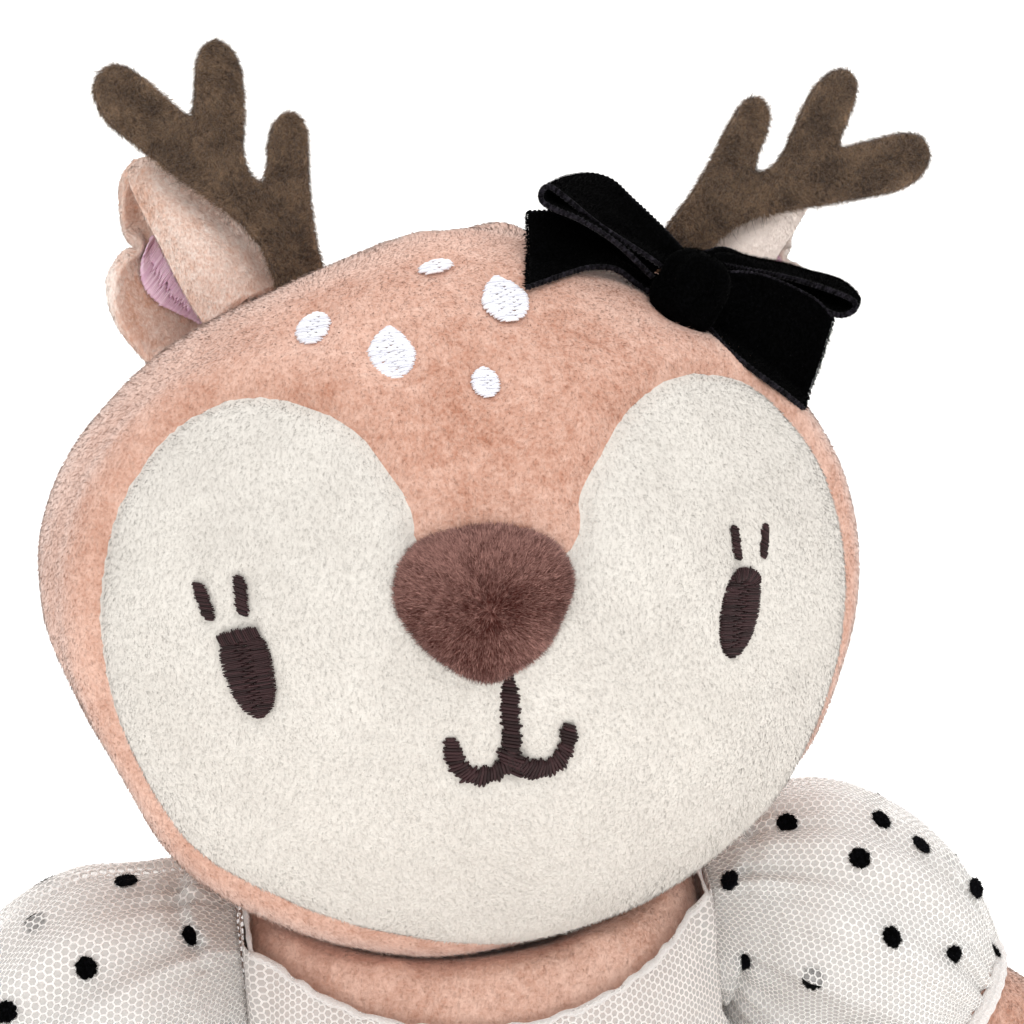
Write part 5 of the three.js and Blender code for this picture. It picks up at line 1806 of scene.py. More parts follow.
    def build(self) -> None:
        """Sews all the stitching."""
        for side in Side:
            word = side.word
            eye = self.eye_outline(side)
            self.fill_area(f"eye_{word}_thread", eye, -6.0 * side.value, DARK_THREAD, (f"eye_{word}",),
                           21 + side.value)
            made = SEWN_EYES[side]
            lid = [[x, self.eye_height * made.lid_height - made.lid_bend * x * x]
                   for x in np.linspace(-made.lid_half, made.lid_half, 9)]
            line = self.turned(np.array(lid), -made.lean * side.value) + self.form.shares(*made.place)
            middles, halves = self.satin(line, 2.7, 12.0 * side.value, 31)
            self.lay(f"eye_{word}_lid_thread", middles, halves, DARK_THREAD, (), 31, lift=0.35)
            for number, (name, x, z, lean) in enumerate(made.lashes):
                middles, halves = self.satin(self.lash_line(side, x, z, lean), self.lash_width * made.lash_scale,
                                             24.0, 41 + number)
                self.lay(f"lash_{word}_{name}_thread", middles, halves, DARK_THREAD, (f"lash_{word}_{name}",),
                         41 + number)
        strokes = [self.satin(line, self.mouth_stroke, 14.0, 51 + i, 0.6, 0.22)
                   for i, line in enumerate(self.mouth_lines())]
        end = self.form.shares(0, self.mouth_foot)
        joint = end + np.array([[0.0, 2.2], [0.1, 0.6], [0.2, -1.0], [0.2, -2.4]])
        strokes.append(self.satin(joint, 5.4, 30.0, 57, 0.6, 0.2))
        self.lay("mouth_thread", np.vstack([m for m, _ in strokes]), np.vstack([h for _, h in strokes]),
                 DARK_THREAD, ("mouth",), 51, thread=0.72)
        for number, (name, x, z, width, height, turn, point) in enumerate(self.spots):
            outline = self.oval(width, height, point, turn, self.form.shares(x, z))
            self.fill_area(f"spot_{name}_thread", outline, 4.0, WHITE_THREAD, (f"spot_{name}",), 61 + number, 3.0)


@dataclass
class Nose:
    """The padded brown nose."""

    form: HeadForm
    shop: Workshop
    width: float = 32.9
    height: float = 28.4
    thickness: float = 10
    shift: float = -3.5
    drop: float = 1.6
    shares: tuple[tuple[float, float], ...] = (
        (0, 0.49), (0.25, 0.44), (0.43, 0.31), (0.5, 0.1), (0.44, -0.12), (0.3, -0.34), (0.07, -0.5))

    def outline(self) -> Array:
        """The nose's outline in the front view.

        Returns:
            Points in order round the nose.
        """
        half = [(x * self.width, z * self.height) for x, z in self.shares]
        left = [(-x, z) for x, z in half[1:][::-1]]
        return spline(half + left, 96, closed=True)

    def build(self) -> None:
        """Makes the nose and its pile."""
        outline = self.outline()
        steps = np.linspace(0, 1, 26)
        lifts = np.sin(np.clip(steps * 1.06, 0, 1) * math.pi / 2) ** 0.95
        sizes = np.cos(np.clip(steps, 0, 1) * math.pi / 2) ** 0.62
        rings = []
        for lift, size in zip(lifts, sizes):
            front = outline * max(size, 0.012) + np.array([self.shift, -self.drop])
            base = self.form.on_face(front, 0.0)
            base[:, 1] -= lift * (self.thickness - 0.6) * (1 - 0.1 * size) - 0.6
            rings.append(base)
        under = rings[0].copy()
        under[:, 1] += 3.0
        points = np.vstack([under, *rings])
        piece = make_piece("nose_plush", points, tube_faces(len(rings) + 1, len(outline)))
        turn_outwards(piece)
        points = points_of(piece)
        set_points(piece, points + normals_of(piece) * (0.35 * soft_noise(points, 9.0, 3.0))[:, None])
        aside = np.hypot(points[:, 0] - self.shift, points[:, 2] - self.form.centre[2] + self.drop)
        rise = (points[:, 2] - self.form.centre[2] + self.drop) / self.height
        # The nose is painted lighter towards its top, as painted light from above, and darker in its middle.
        tint = 0.52 + 0.35 * rise - 0.3 * np.exp(-(aside / 6.5) ** 2)
        middle = (self.shift, self.form.centre[1] - self.form.front_depth - 4, self.form.centre[2] - self.drop - 1)
        self.shop.cover(piece, NOSE_BROWN, NOSE_NAP, tint, "head", "nose_plush", 13, centre=middle)
        settle(piece, "head", ("nose",))


@dataclass
class Ear:
    """One plush ear, folded over along its length, with its stitched patch.

    The stations of the left ear give a pixel across, a pixel down and the distance from the camera, from
    the root inside the head to the tip. The right ear is the same shape mirrored, and leans further out.
    """

    form: HeadForm
    shop: Workshop
    studio: Studio
    side: Side
    flap_edge: tuple[tuple[float, float, float], ...] = (
        (226, 357, 447), (202, 321, 450), (184, 287, 450), (164, 245, 450), (145, 211, 451), (131, 181, 453),
        (143, 164, 456))
    flap_middle: tuple[tuple[float, float, float], ...] = (
        (268, 330, 446), (242, 303, 448), (216, 262, 447), (192, 227, 447), (170, 196, 448), (152, 172, 451),
        (148, 163, 456))
    fold: tuple[tuple[float, float, float], ...] = (
        (306, 315, 458), (281, 285, 458), (258, 257, 458), (228, 225, 458), (198, 194, 458), (172, 168, 458),
        (152, 162, 457))
    back_middle: tuple[tuple[float, float, float], ...] = (
        (236, 348, 465), (208, 318, 464), (176, 292, 461), (157, 264, 460), (151, 242, 463), (148, 214, 468),
        (144, 182, 466), (146, 163, 459))
    back_edge: tuple[tuple[float, float, float], ...] = (
        (178, 388, 458), (146, 361, 457), (116, 322, 453), (107, 285, 451), (119, 262, 452), (137, 247, 457),
        (124, 236, 465), (120, 202, 466), (124, 180, 463), (139, 165, 458))
    thickness: float = 3.4
    right_shares: tuple[float, float] = (0.7, 0.64)
    left_shares: tuple[float, float] = (-0.46, 0.71)
    right_lean: float = 20
    sewn_depth: float = 5
    patch_edge: tuple[tuple[float, float], ...] = (
        (150, 241), (144, 252), (141, 264), (141, 277), (145, 289), (152, 298), (163, 306), (180, 314), (194, 321),
        (200, 324))
    patch_aim: tuple[float, float] = (0.62, -0.78)
    patch_overlap: float = 4.5
    flap_line: tuple[tuple[float, float], tuple[float, float]] = ((150, 238), (201, 325))

    def sheet(self, rows: int, columns: int) -> Array:
        """Finds the left ear's middle surface.

        Args:
            rows: Points from root to tip.
            columns: Points from the flap's edge round the fold to the back edge.

        Returns:
            Rows of points in the deer's frame.
        """
        lines = [spline(self.studio.place(np.array(line)), rows)
                 for line in (self.flap_edge, self.flap_middle, self.fold, self.back_middle, self.back_edge)]
        return np.array([spline(np.array([line[row] for line in lines]), columns) for row in range(rows)])

    def other_side(self, points: Array) -> Array:
        """Brings points of the left ear to this ear's place.

        Args:
            points: Places on the left ear.

        Returns:
            The same places on this ear.
        """
        if self.side is Side.LEFT:
            return points
        centre = np.array(self.form.centre)
        low = self.form.shares(-self.left_shares[0], self.left_shares[1])
        high = self.form.shares(*self.right_shares)
        local = (points - centre) * np.array([-1.0, 1.0, 1.0]) - np.array([low[0], 0, low[1]])
        return local @ turn_in_front(self.right_lean).T + np.array([high[0], 0, high[1]]) + centre

    def build(self) -> None:
        """Makes the ear, its pile and its patch."""
        rows, columns = 46, 56
        sheet = self.sheet(rows, columns)
        flat = sheet.reshape(-1, 3)
        flat = flat + 0.6 * np.column_stack([soft_noise(flat, 15.0, s) for s in (1.0, 4.0, 8.0)])
        piece = make_piece(f"ear_{self.side.word}_plush", self.other_side(flat), grid_faces(rows, columns))
        add_wall(piece, self.thickness, 0.0, 1)
        turn_outwards(piece)
        self.trim(piece)
        outward = np.abs(points_of(piece)[:, 0] - self.form.centre[0])
        # The outer lobe is painted lighter: painted light over the shade that the flap casts on it.
        tint = 0.38 + 0.85 * smooth_step((outward - 62.0) / 5.0)
        self.shop.cover(piece, LIT_EAR_PEACH, EAR_NAP, tint, "head", "peach_plush", 15)
        settle(piece, "head", (f"ear_{self.side.word}",))
        self.build_patch(sheet)

    def trim(self, piece: Piece) -> None:
        """Removes what lies deep inside the head.

        Args:
            piece: The ear.
        """
        work = bmesh.new()
        work.from_mesh(piece.data)
        centre = np.array(self.form.centre)
        gone = []
        for face in work.faces:
            local = np.array(face.calc_center_median()) / MM - centre
            half = np.array([self.form.half_width, self.form.deep(local[1]), self.form.crown_height])
            if np.linalg.norm(local / (half - self.sewn_depth)) < 1:
                gone.append(face)
        bmesh.ops.delete(work, geom=gone, context="FACES")
        bmesh.ops.holes_fill(work, edges=[e for e in work.edges if e.is_boundary])
        work.to_mesh(piece.data)
        work.free()
        piece.data.shade_smooth()

    def build_patch(self, sheet: Array) -> None:
        """Sews the satin patch inside the fold with long uneven stitches.

        Args:
            sheet: The left ear's middle surface.
        """
        rng = np.random.default_rng(17)
        half = sheet[:, sheet.shape[1] // 2:]
        inner = make_piece("ear_lining", half.reshape(-1, 3), grid_faces(half.shape[0], half.shape[1]))
        normals = normals_of(inner)
        towards = np.sign(np.sum(normals @ self.studio.axes()[0]))
        set_points(inner, half.reshape(-1, 3) - towards * normals * (self.thickness / 2 + 0.5))
        tree = surface_tree(inner)
        bpy.data.objects.remove(inner)

        def seen(pixel: Array) -> tuple[Array, Array] | None:
            """The lining's place and normal behind a pixel.

            Args:
                pixel: Pixel across and down.

            Returns:
                The place and the normal, or nothing where the lining isn't met.
            """
            origin, aim = self.studio.ray(*pixel)
            hit, normal, _, _ = tree.ray_cast(Vector(origin * MM), Vector(aim))
            if hit is None:
                return None
            facing = np.array(normal) * -np.sign(np.dot(normal, aim))
            return np.array(hit) / MM + facing * 0.3, facing

        middles, aims, faces, spans = [], [], [], []
        aim, (top, foot) = np.array(self.patch_aim), np.array(self.flap_line)
        along = foot - top
        for place in spline(self.patch_edge, 74):
            gap = top - place
            to_line = (gap[0] * along[1] - gap[1] * along[0]) / (aim[0] * along[1] - aim[1] * along[0])
            length = max(to_line, 0.0) + self.patch_overlap
            cuts = [0.0, length] if length < 16 else [0.0, length * rng.uniform(0.35, 0.65), length]
            for low, high in zip(cuts, cuts[1:]):
                ends = (seen(place + aim * (low - rng.uniform(0, 1.2))),
                        seen(place + aim * (high + rng.uniform(0, 1.2))))
                if ends[0] is None or ends[1] is None:
                    continue
                middles.append((ends[0][0] + ends[1][0]) / 2)
                aims.append(ends[1][0] - ends[0][0])
                faces.append(ends[0][1] + ends[1][1])
                spans.append(np.linalg.norm(ends[1][0] - ends[0][0]))
        middles, tips = np.array(middles), np.array(middles) + np.array(aims)
        noses = np.array(middles) + np.array(faces)
        here = self.other_side(middles)
        piece = self.shop.lay_threads(f"ear_patch_{self.side.word}_thread", here, self.other_side(tips) - here,
                                      self.other_side(noses) - here, np.array(spans), PINK_THREAD,
                                      0.5, 0.7, 0.1, 19)
        settle(piece, "head", (f"ear_patch_{self.side.word}",))


@dataclass
class Antler:
    """One antler cut from thick felt."""

    form: HeadForm
    shop: Workshop
    side: Side
    tilt: float
    shares: tuple[float, float]
    width: float = 43
    height: float = 52
    root: float = 9
    setback: float = 4
    felt: float = 3
    mesh_step: float = 1.3
    outline_shares: tuple[tuple[float, float], ...] = (
        (-0.112, 0.03), (-0.086, 0.18), (-0.08, 0.35), (-0.092, 0.56), (-0.075, 0.64), (-0.02, 0.672), (0.05, 0.64),
        (0.085, 0.56), (0.1, 0.47), (0.14, 0.4), (0.2, 0.44), (0.226, 0.54), (0.205, 0.68), (0.2, 0.84),
        (0.24, 0.94), (0.31, 0.975), (0.38, 0.93), (0.41, 0.84), (0.43, 0.72), (0.46, 0.675),
        (0.56, 0.75), (0.68, 0.85), (0.79, 0.895), (0.88, 0.85), (0.89, 0.76), (0.83, 0.665),
        (0.66, 0.54), (0.46, 0.4), (0.28, 0.27), (0.17, 0.15), (0.12, 0.02))

    def build(self) -> None:
        """Makes the antler with its rounded edge and loose fibres."""
        tips = spline(np.array(self.outline_shares) * np.array([self.width, self.height]), 210)
        outline = np.vstack([tips, [(tips[-1, 0], -self.root), (tips[0, 0], -self.root)]])
        low, high = outline.min(axis=0), outline.max(axis=0)
        grid = np.meshgrid(*[np.arange(low[k], high[k], self.mesh_step) for k in range(2)])
        grid = np.stack(grid, axis=-1).reshape(-1, 2)
        inner = grid[outline_distance(grid, outline) > 0.7]
        flat = np.vstack([outline, inner])
        edges = [(i, (i + 1) % len(outline)) for i in range(len(outline))]
        found = geometry.delaunay_2d_cdt([Vector(p) for p in flat], edges, [], 0, 1e-4)
        places = np.array([p[:] for p in found[0]])
        faces = [f for f in found[2] if outline_distance(places[list(f)].mean(axis=0)[None, :], outline)[0] > 0]
        points = np.column_stack([places[:, 0], np.zeros(len(places)), places[:, 1]])
        points[:, 1] += 1.1 * np.sin(points[:, 2] / 22.0) * np.cos(points[:, 0] / 17.0)
        points[:, 0] *= self.side.value
        root = self.form.shares(*self.shares)
        turn = turn_in_front(self.tilt * self.side.value)
        points = points @ turn.T + np.array([root[0], self.setback, root[1]]) + np.array(self.form.centre)
        piece = make_piece(f"antler_{self.side.word}_felt", points, faces)
        turn_outwards(piece)
        wall = piece.modifiers.new("wall", "SOLIDIFY")
        wall.thickness, wall.offset = self.felt * MM, 0.0
        bevel = piece.modifiers.new("edge", "BEVEL")
        bevel.width, bevel.segments, bevel.limit_method = 0.8 * MM, 3, "ANGLE"
        bevel.angle_limit = math.radians(50)
        apply_modifiers(piece)
        turn_outwards(piece)
        points = points_of(piece)
        set_points(piece, points + normals_of(piece) * (0.22 * soft_noise(points, 2.6, 6.0))[:, None])
        set_values(piece, "tint", np.full(len(piece.data.vertices), 0.3))
        Wardrobe.dress(piece, BROWN_FELT)
        hairs = self.shop.add_nap(piece, BROWN_FELT, FELT_HAIRS, 24)
        hairs.name = f"antler_{self.side.word}_felt_hairs"
        settle(hairs, "head")
        settle(self.shop.add_nap(piece, BROWN_FELT, FELT_NAP, 23), "head")
        settle(piece, "head", (f"antler_{self.side.word}",))


# Velvet bow


@dataclass(frozen=True)
class Ribbon:
    """One run of velvet ribbon between its near and its far selvedge.

    The stations of a selvedge give a pixel across, a pixel down and the distance from the camera.
    """

    node: str
    near: tuple[tuple[float, float, float], ...]
    far: tuple[tuple[float, float, float], ...]
    loop: bool
    seed: int


BOW_RIBBONS = (
    Ribbon("bow_loop_left", (
        (680, 281, 428), (642, 254, 426), (603, 227, 424), (572, 201, 422), (551, 187, 421), (542, 192, 420),
        (543, 202, 420), (557, 210, 420), (582, 220, 421), (614, 241, 424), (652, 276, 427)),
        ((680, 254, 433), (662, 232, 437), (634, 202, 439), (612, 181, 440), (588, 175, 440), (566, 180, 439),
         (556, 189, 438), (566, 197, 437), (592, 208, 436), (624, 230, 435), (664, 264, 432)), True, 71),
    Ribbon("bow_tail_left", (
        (662, 296, 430), (640, 283, 429), (617, 269, 427), (590, 267, 424), (560, 275, 421), (529, 287, 417)),
        ((664, 280, 433), (640, 264, 435), (612, 244, 435), (585, 226, 433), (558, 214, 430), (528, 213, 427)),
        False, 75),
    Ribbon("bow_loop_right", (
        (708, 268, 429), (722, 262, 432), (752, 269, 436), (795, 280, 440), (834, 291, 443), (853, 300, 444),
        (853, 309, 444), (838, 314, 443), (812, 303, 442), (778, 291, 440), (740, 282, 436), (708, 278, 430)),
        ((706, 256, 436), (724, 252, 440), (755, 261, 448), (804, 271, 453), (840, 282, 456), (857, 296, 456),
         (857, 302, 455), (842, 300, 454), (816, 286, 452), (784, 275, 449), (746, 266, 444), (712, 264, 437)),
         True, 73),
    Ribbon("bow_tail_right", (
        (704, 322, 429), (724, 345, 431), (750, 368, 434), (778, 389, 438), (804, 409, 441)),
        ((722, 272, 429), (752, 274, 431), (785, 283, 433), (814, 299, 436), (834, 320, 438)), False, 77),
)


@dataclass
class VelvetBow:
    """The hair bow of velvet ribbon: two loops, two tails and the knot that holds them."""

    form: HeadForm
    shop: Workshop
    studio: Studio
    thickness: float = 1.1
    gather: float = 0.9
    knot_station: tuple[float, float, float] = (691, 292, 427)
    knot_lean: float = 33
    knot_width: float = 14.5
    knot_height: float = 17
    knot_depth: float = 11

    def sheet(self, ribbon: Ribbon, count: int) -> Array:
        """Finds the middle surface of a ribbon.

        Args:
            ribbon: The ribbon.
            count: Rows of points along it.

        Returns:
            Rows of points in the deer's frame.
        """
        near, far = (spline(self.studio.place(np.array(edge)), count) for edge in (ribbon.near, ribbon.far))
        columns = 25
        across = np.linspace(0, 1, columns)
        rows = near[:, None, :] + (far - near)[:, None, :] * across[None, :, None]
        run = np.linspace(0, 1, count)
        share = 1 - np.abs(2 * run - 1) if ribbon.loop else run
        normal = unit(np.cross(unit(np.gradient(rows[:, columns // 2], axis=0)), unit(far - near)))
        fade = np.maximum(1 - share / 0.6, 0) ** 1.3
        folds = self.gather * np.cos(across * 2.6 * math.pi + ribbon.seed)[None, :] * fade[:, None]
        camber = 0.9 * (1 - (2 * across - 1) ** 2)[None, :] * np.sin(np.pi * np.minimum(share * 1.2, 1.0))[:, None]
        rows = rows + normal[:, None, :] * (folds + camber)[:, :, None]
        points = rows.reshape(-1, 3)
        points = points + 0.4 * np.column_stack([soft_noise(points, 11.0, ribbon.seed + s)
                                                 for s in (0.0, 3.0, 6.0)])
        return self.off_head(points, 1.0).reshape(count, columns, 3)

    def off_head(self, points: Array, gap: float) -> Array:
        """Moves points that would sink into the head towards the camera until they clear it.

        Args:
            points: Places on the bow.
            gap: Room to leave over the head.

        Returns:
            The moved points.
        """
        aim = unit(points - self.studio.position())
        points = points.copy()
        for _ in range(45):
            points = points - aim * (0.35 * (self.form.reach(points, gap) < 1))[:, None]
        return points

    def build_ribbon(self, ribbon: Ribbon) -> None:
        """Makes one ribbon with its thickness, pile, selvedges and frayed end.

        Args:
            ribbon: Its two selvedges.
        """
        rows = self.sheet(ribbon, 64 if ribbon.loop else 34)
        piece = make_piece(ribbon.node + "_velvet", rows.reshape(-1, 3), grid_faces(rows.shape[0], rows.shape[1]))
        add_wall(piece, self.thickness, 0.0, 1)
        turn_outwards(piece)
        self.shop.cover(piece, BLACK_VELVET, VELVET_NAP, 0.4, "head", "black_velvet", ribbon.seed)
        length = float(np.sum(np.linalg.norm(np.diff(rows[:, rows.shape[1] // 2], axis=0), axis=1)))
        settle(piece, "head", (ribbon.node,))
        self.build_selvedges(piece.name, rows, length, ribbon.seed)
        if not ribbon.loop:
            self.build_fray(piece.name, rows, ribbon.seed)

    def build_selvedges(self, name: str, rows: Array, length: float, seed: int) -> None:
        """Braids the corded selvedges of a ribbon.

        Args:
            name: The ribbon's name.
            rows: Its middle surface.
            length: Its length.
            seed: Fixes what is random.
        """
        rng = np.random.default_rng(seed)
        places, aims, faces, spans = [], [], [], []
        for column, inner in ((0, 1), (rows.shape[1] - 1, rows.shape[1] - 2)):
            edge = spline(rows[:, column], int(length / 0.5))
            inside = spline(rows[:, inner], int(length / 0.5))
            run = unit(np.gradient(edge, axis=0))
            outward = unit(edge - inside)
            for number, place in enumerate(edge):
                places.append(place + outward[number] * 0.1)
                aims.append(run[number] + outward[number] * (0.5 if number % 2 else -0.5))
                faces.append(np.cross(run[number], outward[number]))
                spans.append(1.05 * rng.uniform(0.9, 1.1))
        braid = self.shop.lay_threads(name + "_selvedge", np.array(places), np.array(aims), np.array(faces),
                                      np.array(spans),
                                      VELVET_EDGE, 0.6, 1.2, 0.06, seed)
        settle(braid, "head")

    def build_fray(self, name: str, rows: Array, seed: int) -> None:
        """Lets loose threads stand out of a ribbon's cut end.

        Args:
            name: The ribbon's name.
            rows: Its middle surface.
            seed: Fixes what is random.
        """
        rng = np.random.default_rng(seed)
        count = 110
        line, back = spline(rows[-1], count), spline(rows[-2], count)
        out = unit(line - back)
        loose = rng.uniform(-0.45, 0.45, (count, 3))
        fray = self.shop.lay_threads(name + "_fray", line + out * 0.3, out + loose,
                                     np.cross(out, np.gradient(line, axis=0)),
                                     rng.uniform(0.8, 1.9, count), BLACK_VELVET, 0.2, 0.2, 0.4, seed + 1)
        settle(fray, "head")

    def build(self) -> None:
        """Makes the whole bow."""
        self.build_knot()
        for ribbon in BOW_RIBBONS:
            self.build_ribbon(ribbon)

    def build_knot(self) -> None:
        """Makes the knot as a pinched wrap of ribbon with soft pleats."""
        rows, columns = 44, 56
        up = np.linspace(-1, 1, rows)
        turn = all_round(columns)
        body = np.clip(1 - np.abs(up) ** 3.0, 0.02, 1) ** (1 / 2.2)
        waist = 1 - 0.08 * np.exp(-(up / 0.4) ** 2)
        wide, fine = np.cos(turn * 5 + 0.8 + 0.9 * up[:, None]), np.cos(turn * 9 - 1.3 * up[:, None])
        pleats = 1 + (0.09 * wide + 0.05 * fine) * (1 - np.abs(up)[:, None] ** 2)
        reach = (body * waist)[:, None] * pleats
        forward, right, higher = self.studio.axes()
        lean = math.radians(self.knot_lean)
        along = right * math.cos(lean) - higher * math.sin(lean)
        band = right * math.sin(lean) + higher * math.cos(lean)
        side = reach * np.sin(turn) * self.knot_width / 2
        depth = reach * np.cos(turn) * self.knot_depth / 2
        middle = self.studio.place(np.array([self.knot_station]))[0]
        points = (middle + side[:, :, None] * along - depth[:, :, None] * forward
                  + (up * self.knot_height / 2)[:, None, None] * band).reshape(-1, 3)
        points = points + 0.5 * np.column_stack([soft_noise(points, 6.0, s) for s in (1.0, 4.0, 7.0)])
        piece = make_piece("bow_knot_velvet", points, tube_faces(rows, columns))
        turn_outwards(piece)
        self.shop.cover(piece, BLACK_VELVET, VELVET_NAP, 0.4, "head", "black_velvet", 79)
        settle(piece, "head", ("bow_knot",))


# Body and limbs


@dataclass
class Torso:
    """The stuffed body, which the dress follows."""

    head: HeadForm
    shop: Workshop
    height: float = 142
    belly_half_width: float = 55
    shoulder_half_width: float = 54
    belly_half_depth: float = 42
    shoulder_half_depth: float = 35
    seat_roundness: float = 4.6
    shoulder_roundness: float = 3.2
    seat_sink: float = 0.5
    middle_y: float = 34.6
    neck_y: float = 24.6
    armhole_x: float = 51
    armhole_radius: float = 25
    arm_z: float = 101
    hip: tuple[float, float, float] = (27.0, 4.6, 18.0)
    leg_radius: float = 18.5
    turns: tuple[float, ...] = (-20.0, -10.0, 0.0, 10.0, 20.0)

    head_room: float = 1.8
    leg_room: float = 1.2
    floor_room: float = 0.3
    armhole_margin: float = 4
    fold_middle: float = math.radians(40)

    def head_over(self, x: Array, y: Array, room: float) -> Array:
        """How low the head comes over places at any of its turns, less some room."""
        return self.head.lowest_at(x, y, room, self.turns, self.neck_y)

    def from_arm_axis(self, points: Array) -> Array:
        """How far points are from the axis that the arms swing about."""
        return np.hypot(points[:, 1] - self.arm_y, points[:, 2] - self.arm_z)

    @property
    def arm_y(self) -> float:
        """Depth of the arms' axis."""
        return self.middle_y + 2

    def at_height(self, z: Array, longitude: Array, grow: float) -> Array:
        """Finds points of the body's surface.

        Args:
            z: Heights.
            longitude: Turns about z, where 0 faces front.
            grow: How far outside the surface.

        Returns:
            Points in the deer's frame.
        """
        half = (self.height + self.seat_sink) / 2
        up = np.clip((z - half + self.seat_sink) / (half + grow), -1, 1)
        power = np.where(up < 0, self.seat_roundness, self.shoulder_roundness)
        girth = (1 - np.abs(up) ** power) ** (1 / power)
        share = (up + 1) / 2
        width = self.belly_half_width + (self.shoulder_half_width - self.belly_half_width) * share + grow
        depth = self.belly_half_depth + (self.shoulder_half_depth - self.belly_half_depth) * share + grow
        return np.stack([np.sin(longitude) * girth * width, self.middle_y - np.cos(longitude) * girth * depth, z],
                        axis=-1)

    def clear(self, points: Array, gap: float) -> Array:
        """Keeps cloth out of the head's, the arms' and the legs' way.

        Args:
            points: Points of the cloth.
            gap: Room to leave.

        Returns:
            The moved points.
        """
        points = points.copy()
        low = self.head_over(points[:, 0], points[:, 1], self.head_room + gap)
        points[:, 2] = np.minimum(points[:, 2], low)
        near = self.from_arm_axis(points) < self.armhole_radius + self.armhole_margin
        limit = self.armhole_x - 0.4 - gap
        points[:, 0] = np.where(near, np.clip(points[:, 0], -limit, limit), points[:, 0])
        for side in Side:
            points = self.clear_leg(points, side, self.leg_radius + self.leg_room + gap)
        points[:, 2] = np.maximum(points[:, 2], self.floor_room)
        return points

    def clear_leg(self, points: Array, side: Side, radius: float) -> Array:
        """Moves points up and back out of the space in which a leg folds down.

        Args:
            points: Points of the cloth.
            side: Which leg.
            radius: Radius of the space it needs.

        Returns:
            The moved points.
        """
        aside = points[:, 0] - self.hip[0] * side.value
        wide = np.sqrt(np.maximum(radius ** 2 - aside ** 2, 0))
        aim = np.array([math.cos(self.fold_middle), math.sin(self.fold_middle)])
        flat = points[:, 1:] - np.array(self.hip[1:])
        low, high = np.zeros(len(points)), np.full(len(points), 160.0)
        inside = self.in_wedge(flat, wide)
        for _ in range(18):
            moved = (low + high) / 2
            still = self.in_wedge(flat + moved[:, None] * aim, wide)
            low, high = np.where(still, moved, low), np.where(still, high, moved)
        points[:, 1:] = np.where(inside[:, None], flat + high[:, None] * aim, flat) + np.array(self.hip[1:])
        return points

    def in_wedge(self, flat: Array, wide: Array) -> Array:
        """Whether places beside the hip lie in the space that the leg sweeps.

        Args:
            flat: Depth and height from the hip.
            wide: Half the space's thickness at each place.

        Returns:
            Whether each place lies inside.
        """
        angle = np.arctan2(-flat[:, 1], -flat[:, 0])
        reach = np.hypot(flat[:, 0], flat[:, 1])
        off = np.abs((angle - self.fold_middle + math.pi) % TAU - math.pi) - self.fold_middle
        away = np.where(off <= 0, 0, np.where(off < math.pi / 2, reach * np.sin(np.maximum(off, 0)), reach))
        return (away < wide) & (wide > 0)

    def build(self) -> None:
        """Makes the body and its pile."""
        rows, columns = 60, 96
        half = (self.height + self.seat_sink) / 2
        level = -np.cos(np.linspace(0.06, math.pi - 0.06, rows))
        power = np.where(level < 0, self.seat_roundness, self.shoulder_roundness)
        z = half - self.seat_sink + np.sign(level) * np.abs(level) ** (2 / power) * half
        longitude = all_round(columns)
        points = self.at_height(np.repeat(z, columns), np.tile(longitude, rows), -0.8)
        piece = make_piece("body_cover_plush", self.clear(points, 0.6), tube_faces(rows, columns))
        turn_outwards(piece)
        hips = [[side.value * self.hip[0], self.hip[1], self.hip[2], self.leg_radius + 8] for side in Side]
        plump(piece, np.array(hips))
        turn_outwards(piece)
        points = points_of(piece)
        swelled = points + normals_of(piece) * (0.3 * soft_noise(points, 15.0, 9.0))[:, None]
        set_points(piece, self.clear(swelled, 0.0))
        pile = np.clip((points[:, 2] - 40.0) / 30.0, 0.25, 1.0)
        # The body's pile is painted lighter than the arms' and legs' (tint 0.9 against 0.5): painted light against
        # the shade under the head at the neck.
        self.shop.cover(piece, PEACH, BODY_NAP, 0.9, "torso", "peach_plush", 81, pile)
        settle(piece, "torso", ("body_cover", "body_stuffing", "seat_pouch"))


def round_end(left: Array, radius: float) -> Array:
    """Shares of a limb's radius at distances from its round end."""
    return np.sqrt(np.maximum(1 - np.maximum((radius - left) / radius, 0) ** 2, 0.004))


def limb_mesh(name: str, line: Array, across: Array, radii: Array, sides: int) -> Piece:
    """Makes a closed limb along a line.

    Args:
        name: The piece's name.
        line: The middle line.
        across: A direction square to the line.
        radii: The limb's radius at each point of the line.
        sides: Points round the limb.

    Returns:
        The limb.
    """
    along = unit(np.gradient(line, axis=0))
    other = unit(np.cross(along, across))
    turn = all_round(sides)
    rings = [middle + radius * (np.cos(turn)[:, None] * across + np.sin(turn)[:, None] * up)
             for middle, radius, up in zip(line, radii, other)]
    piece = make_piece(name, np.vstack(rings), tube_faces(len(line), sides))
    turn_outwards(piece)
    return piece


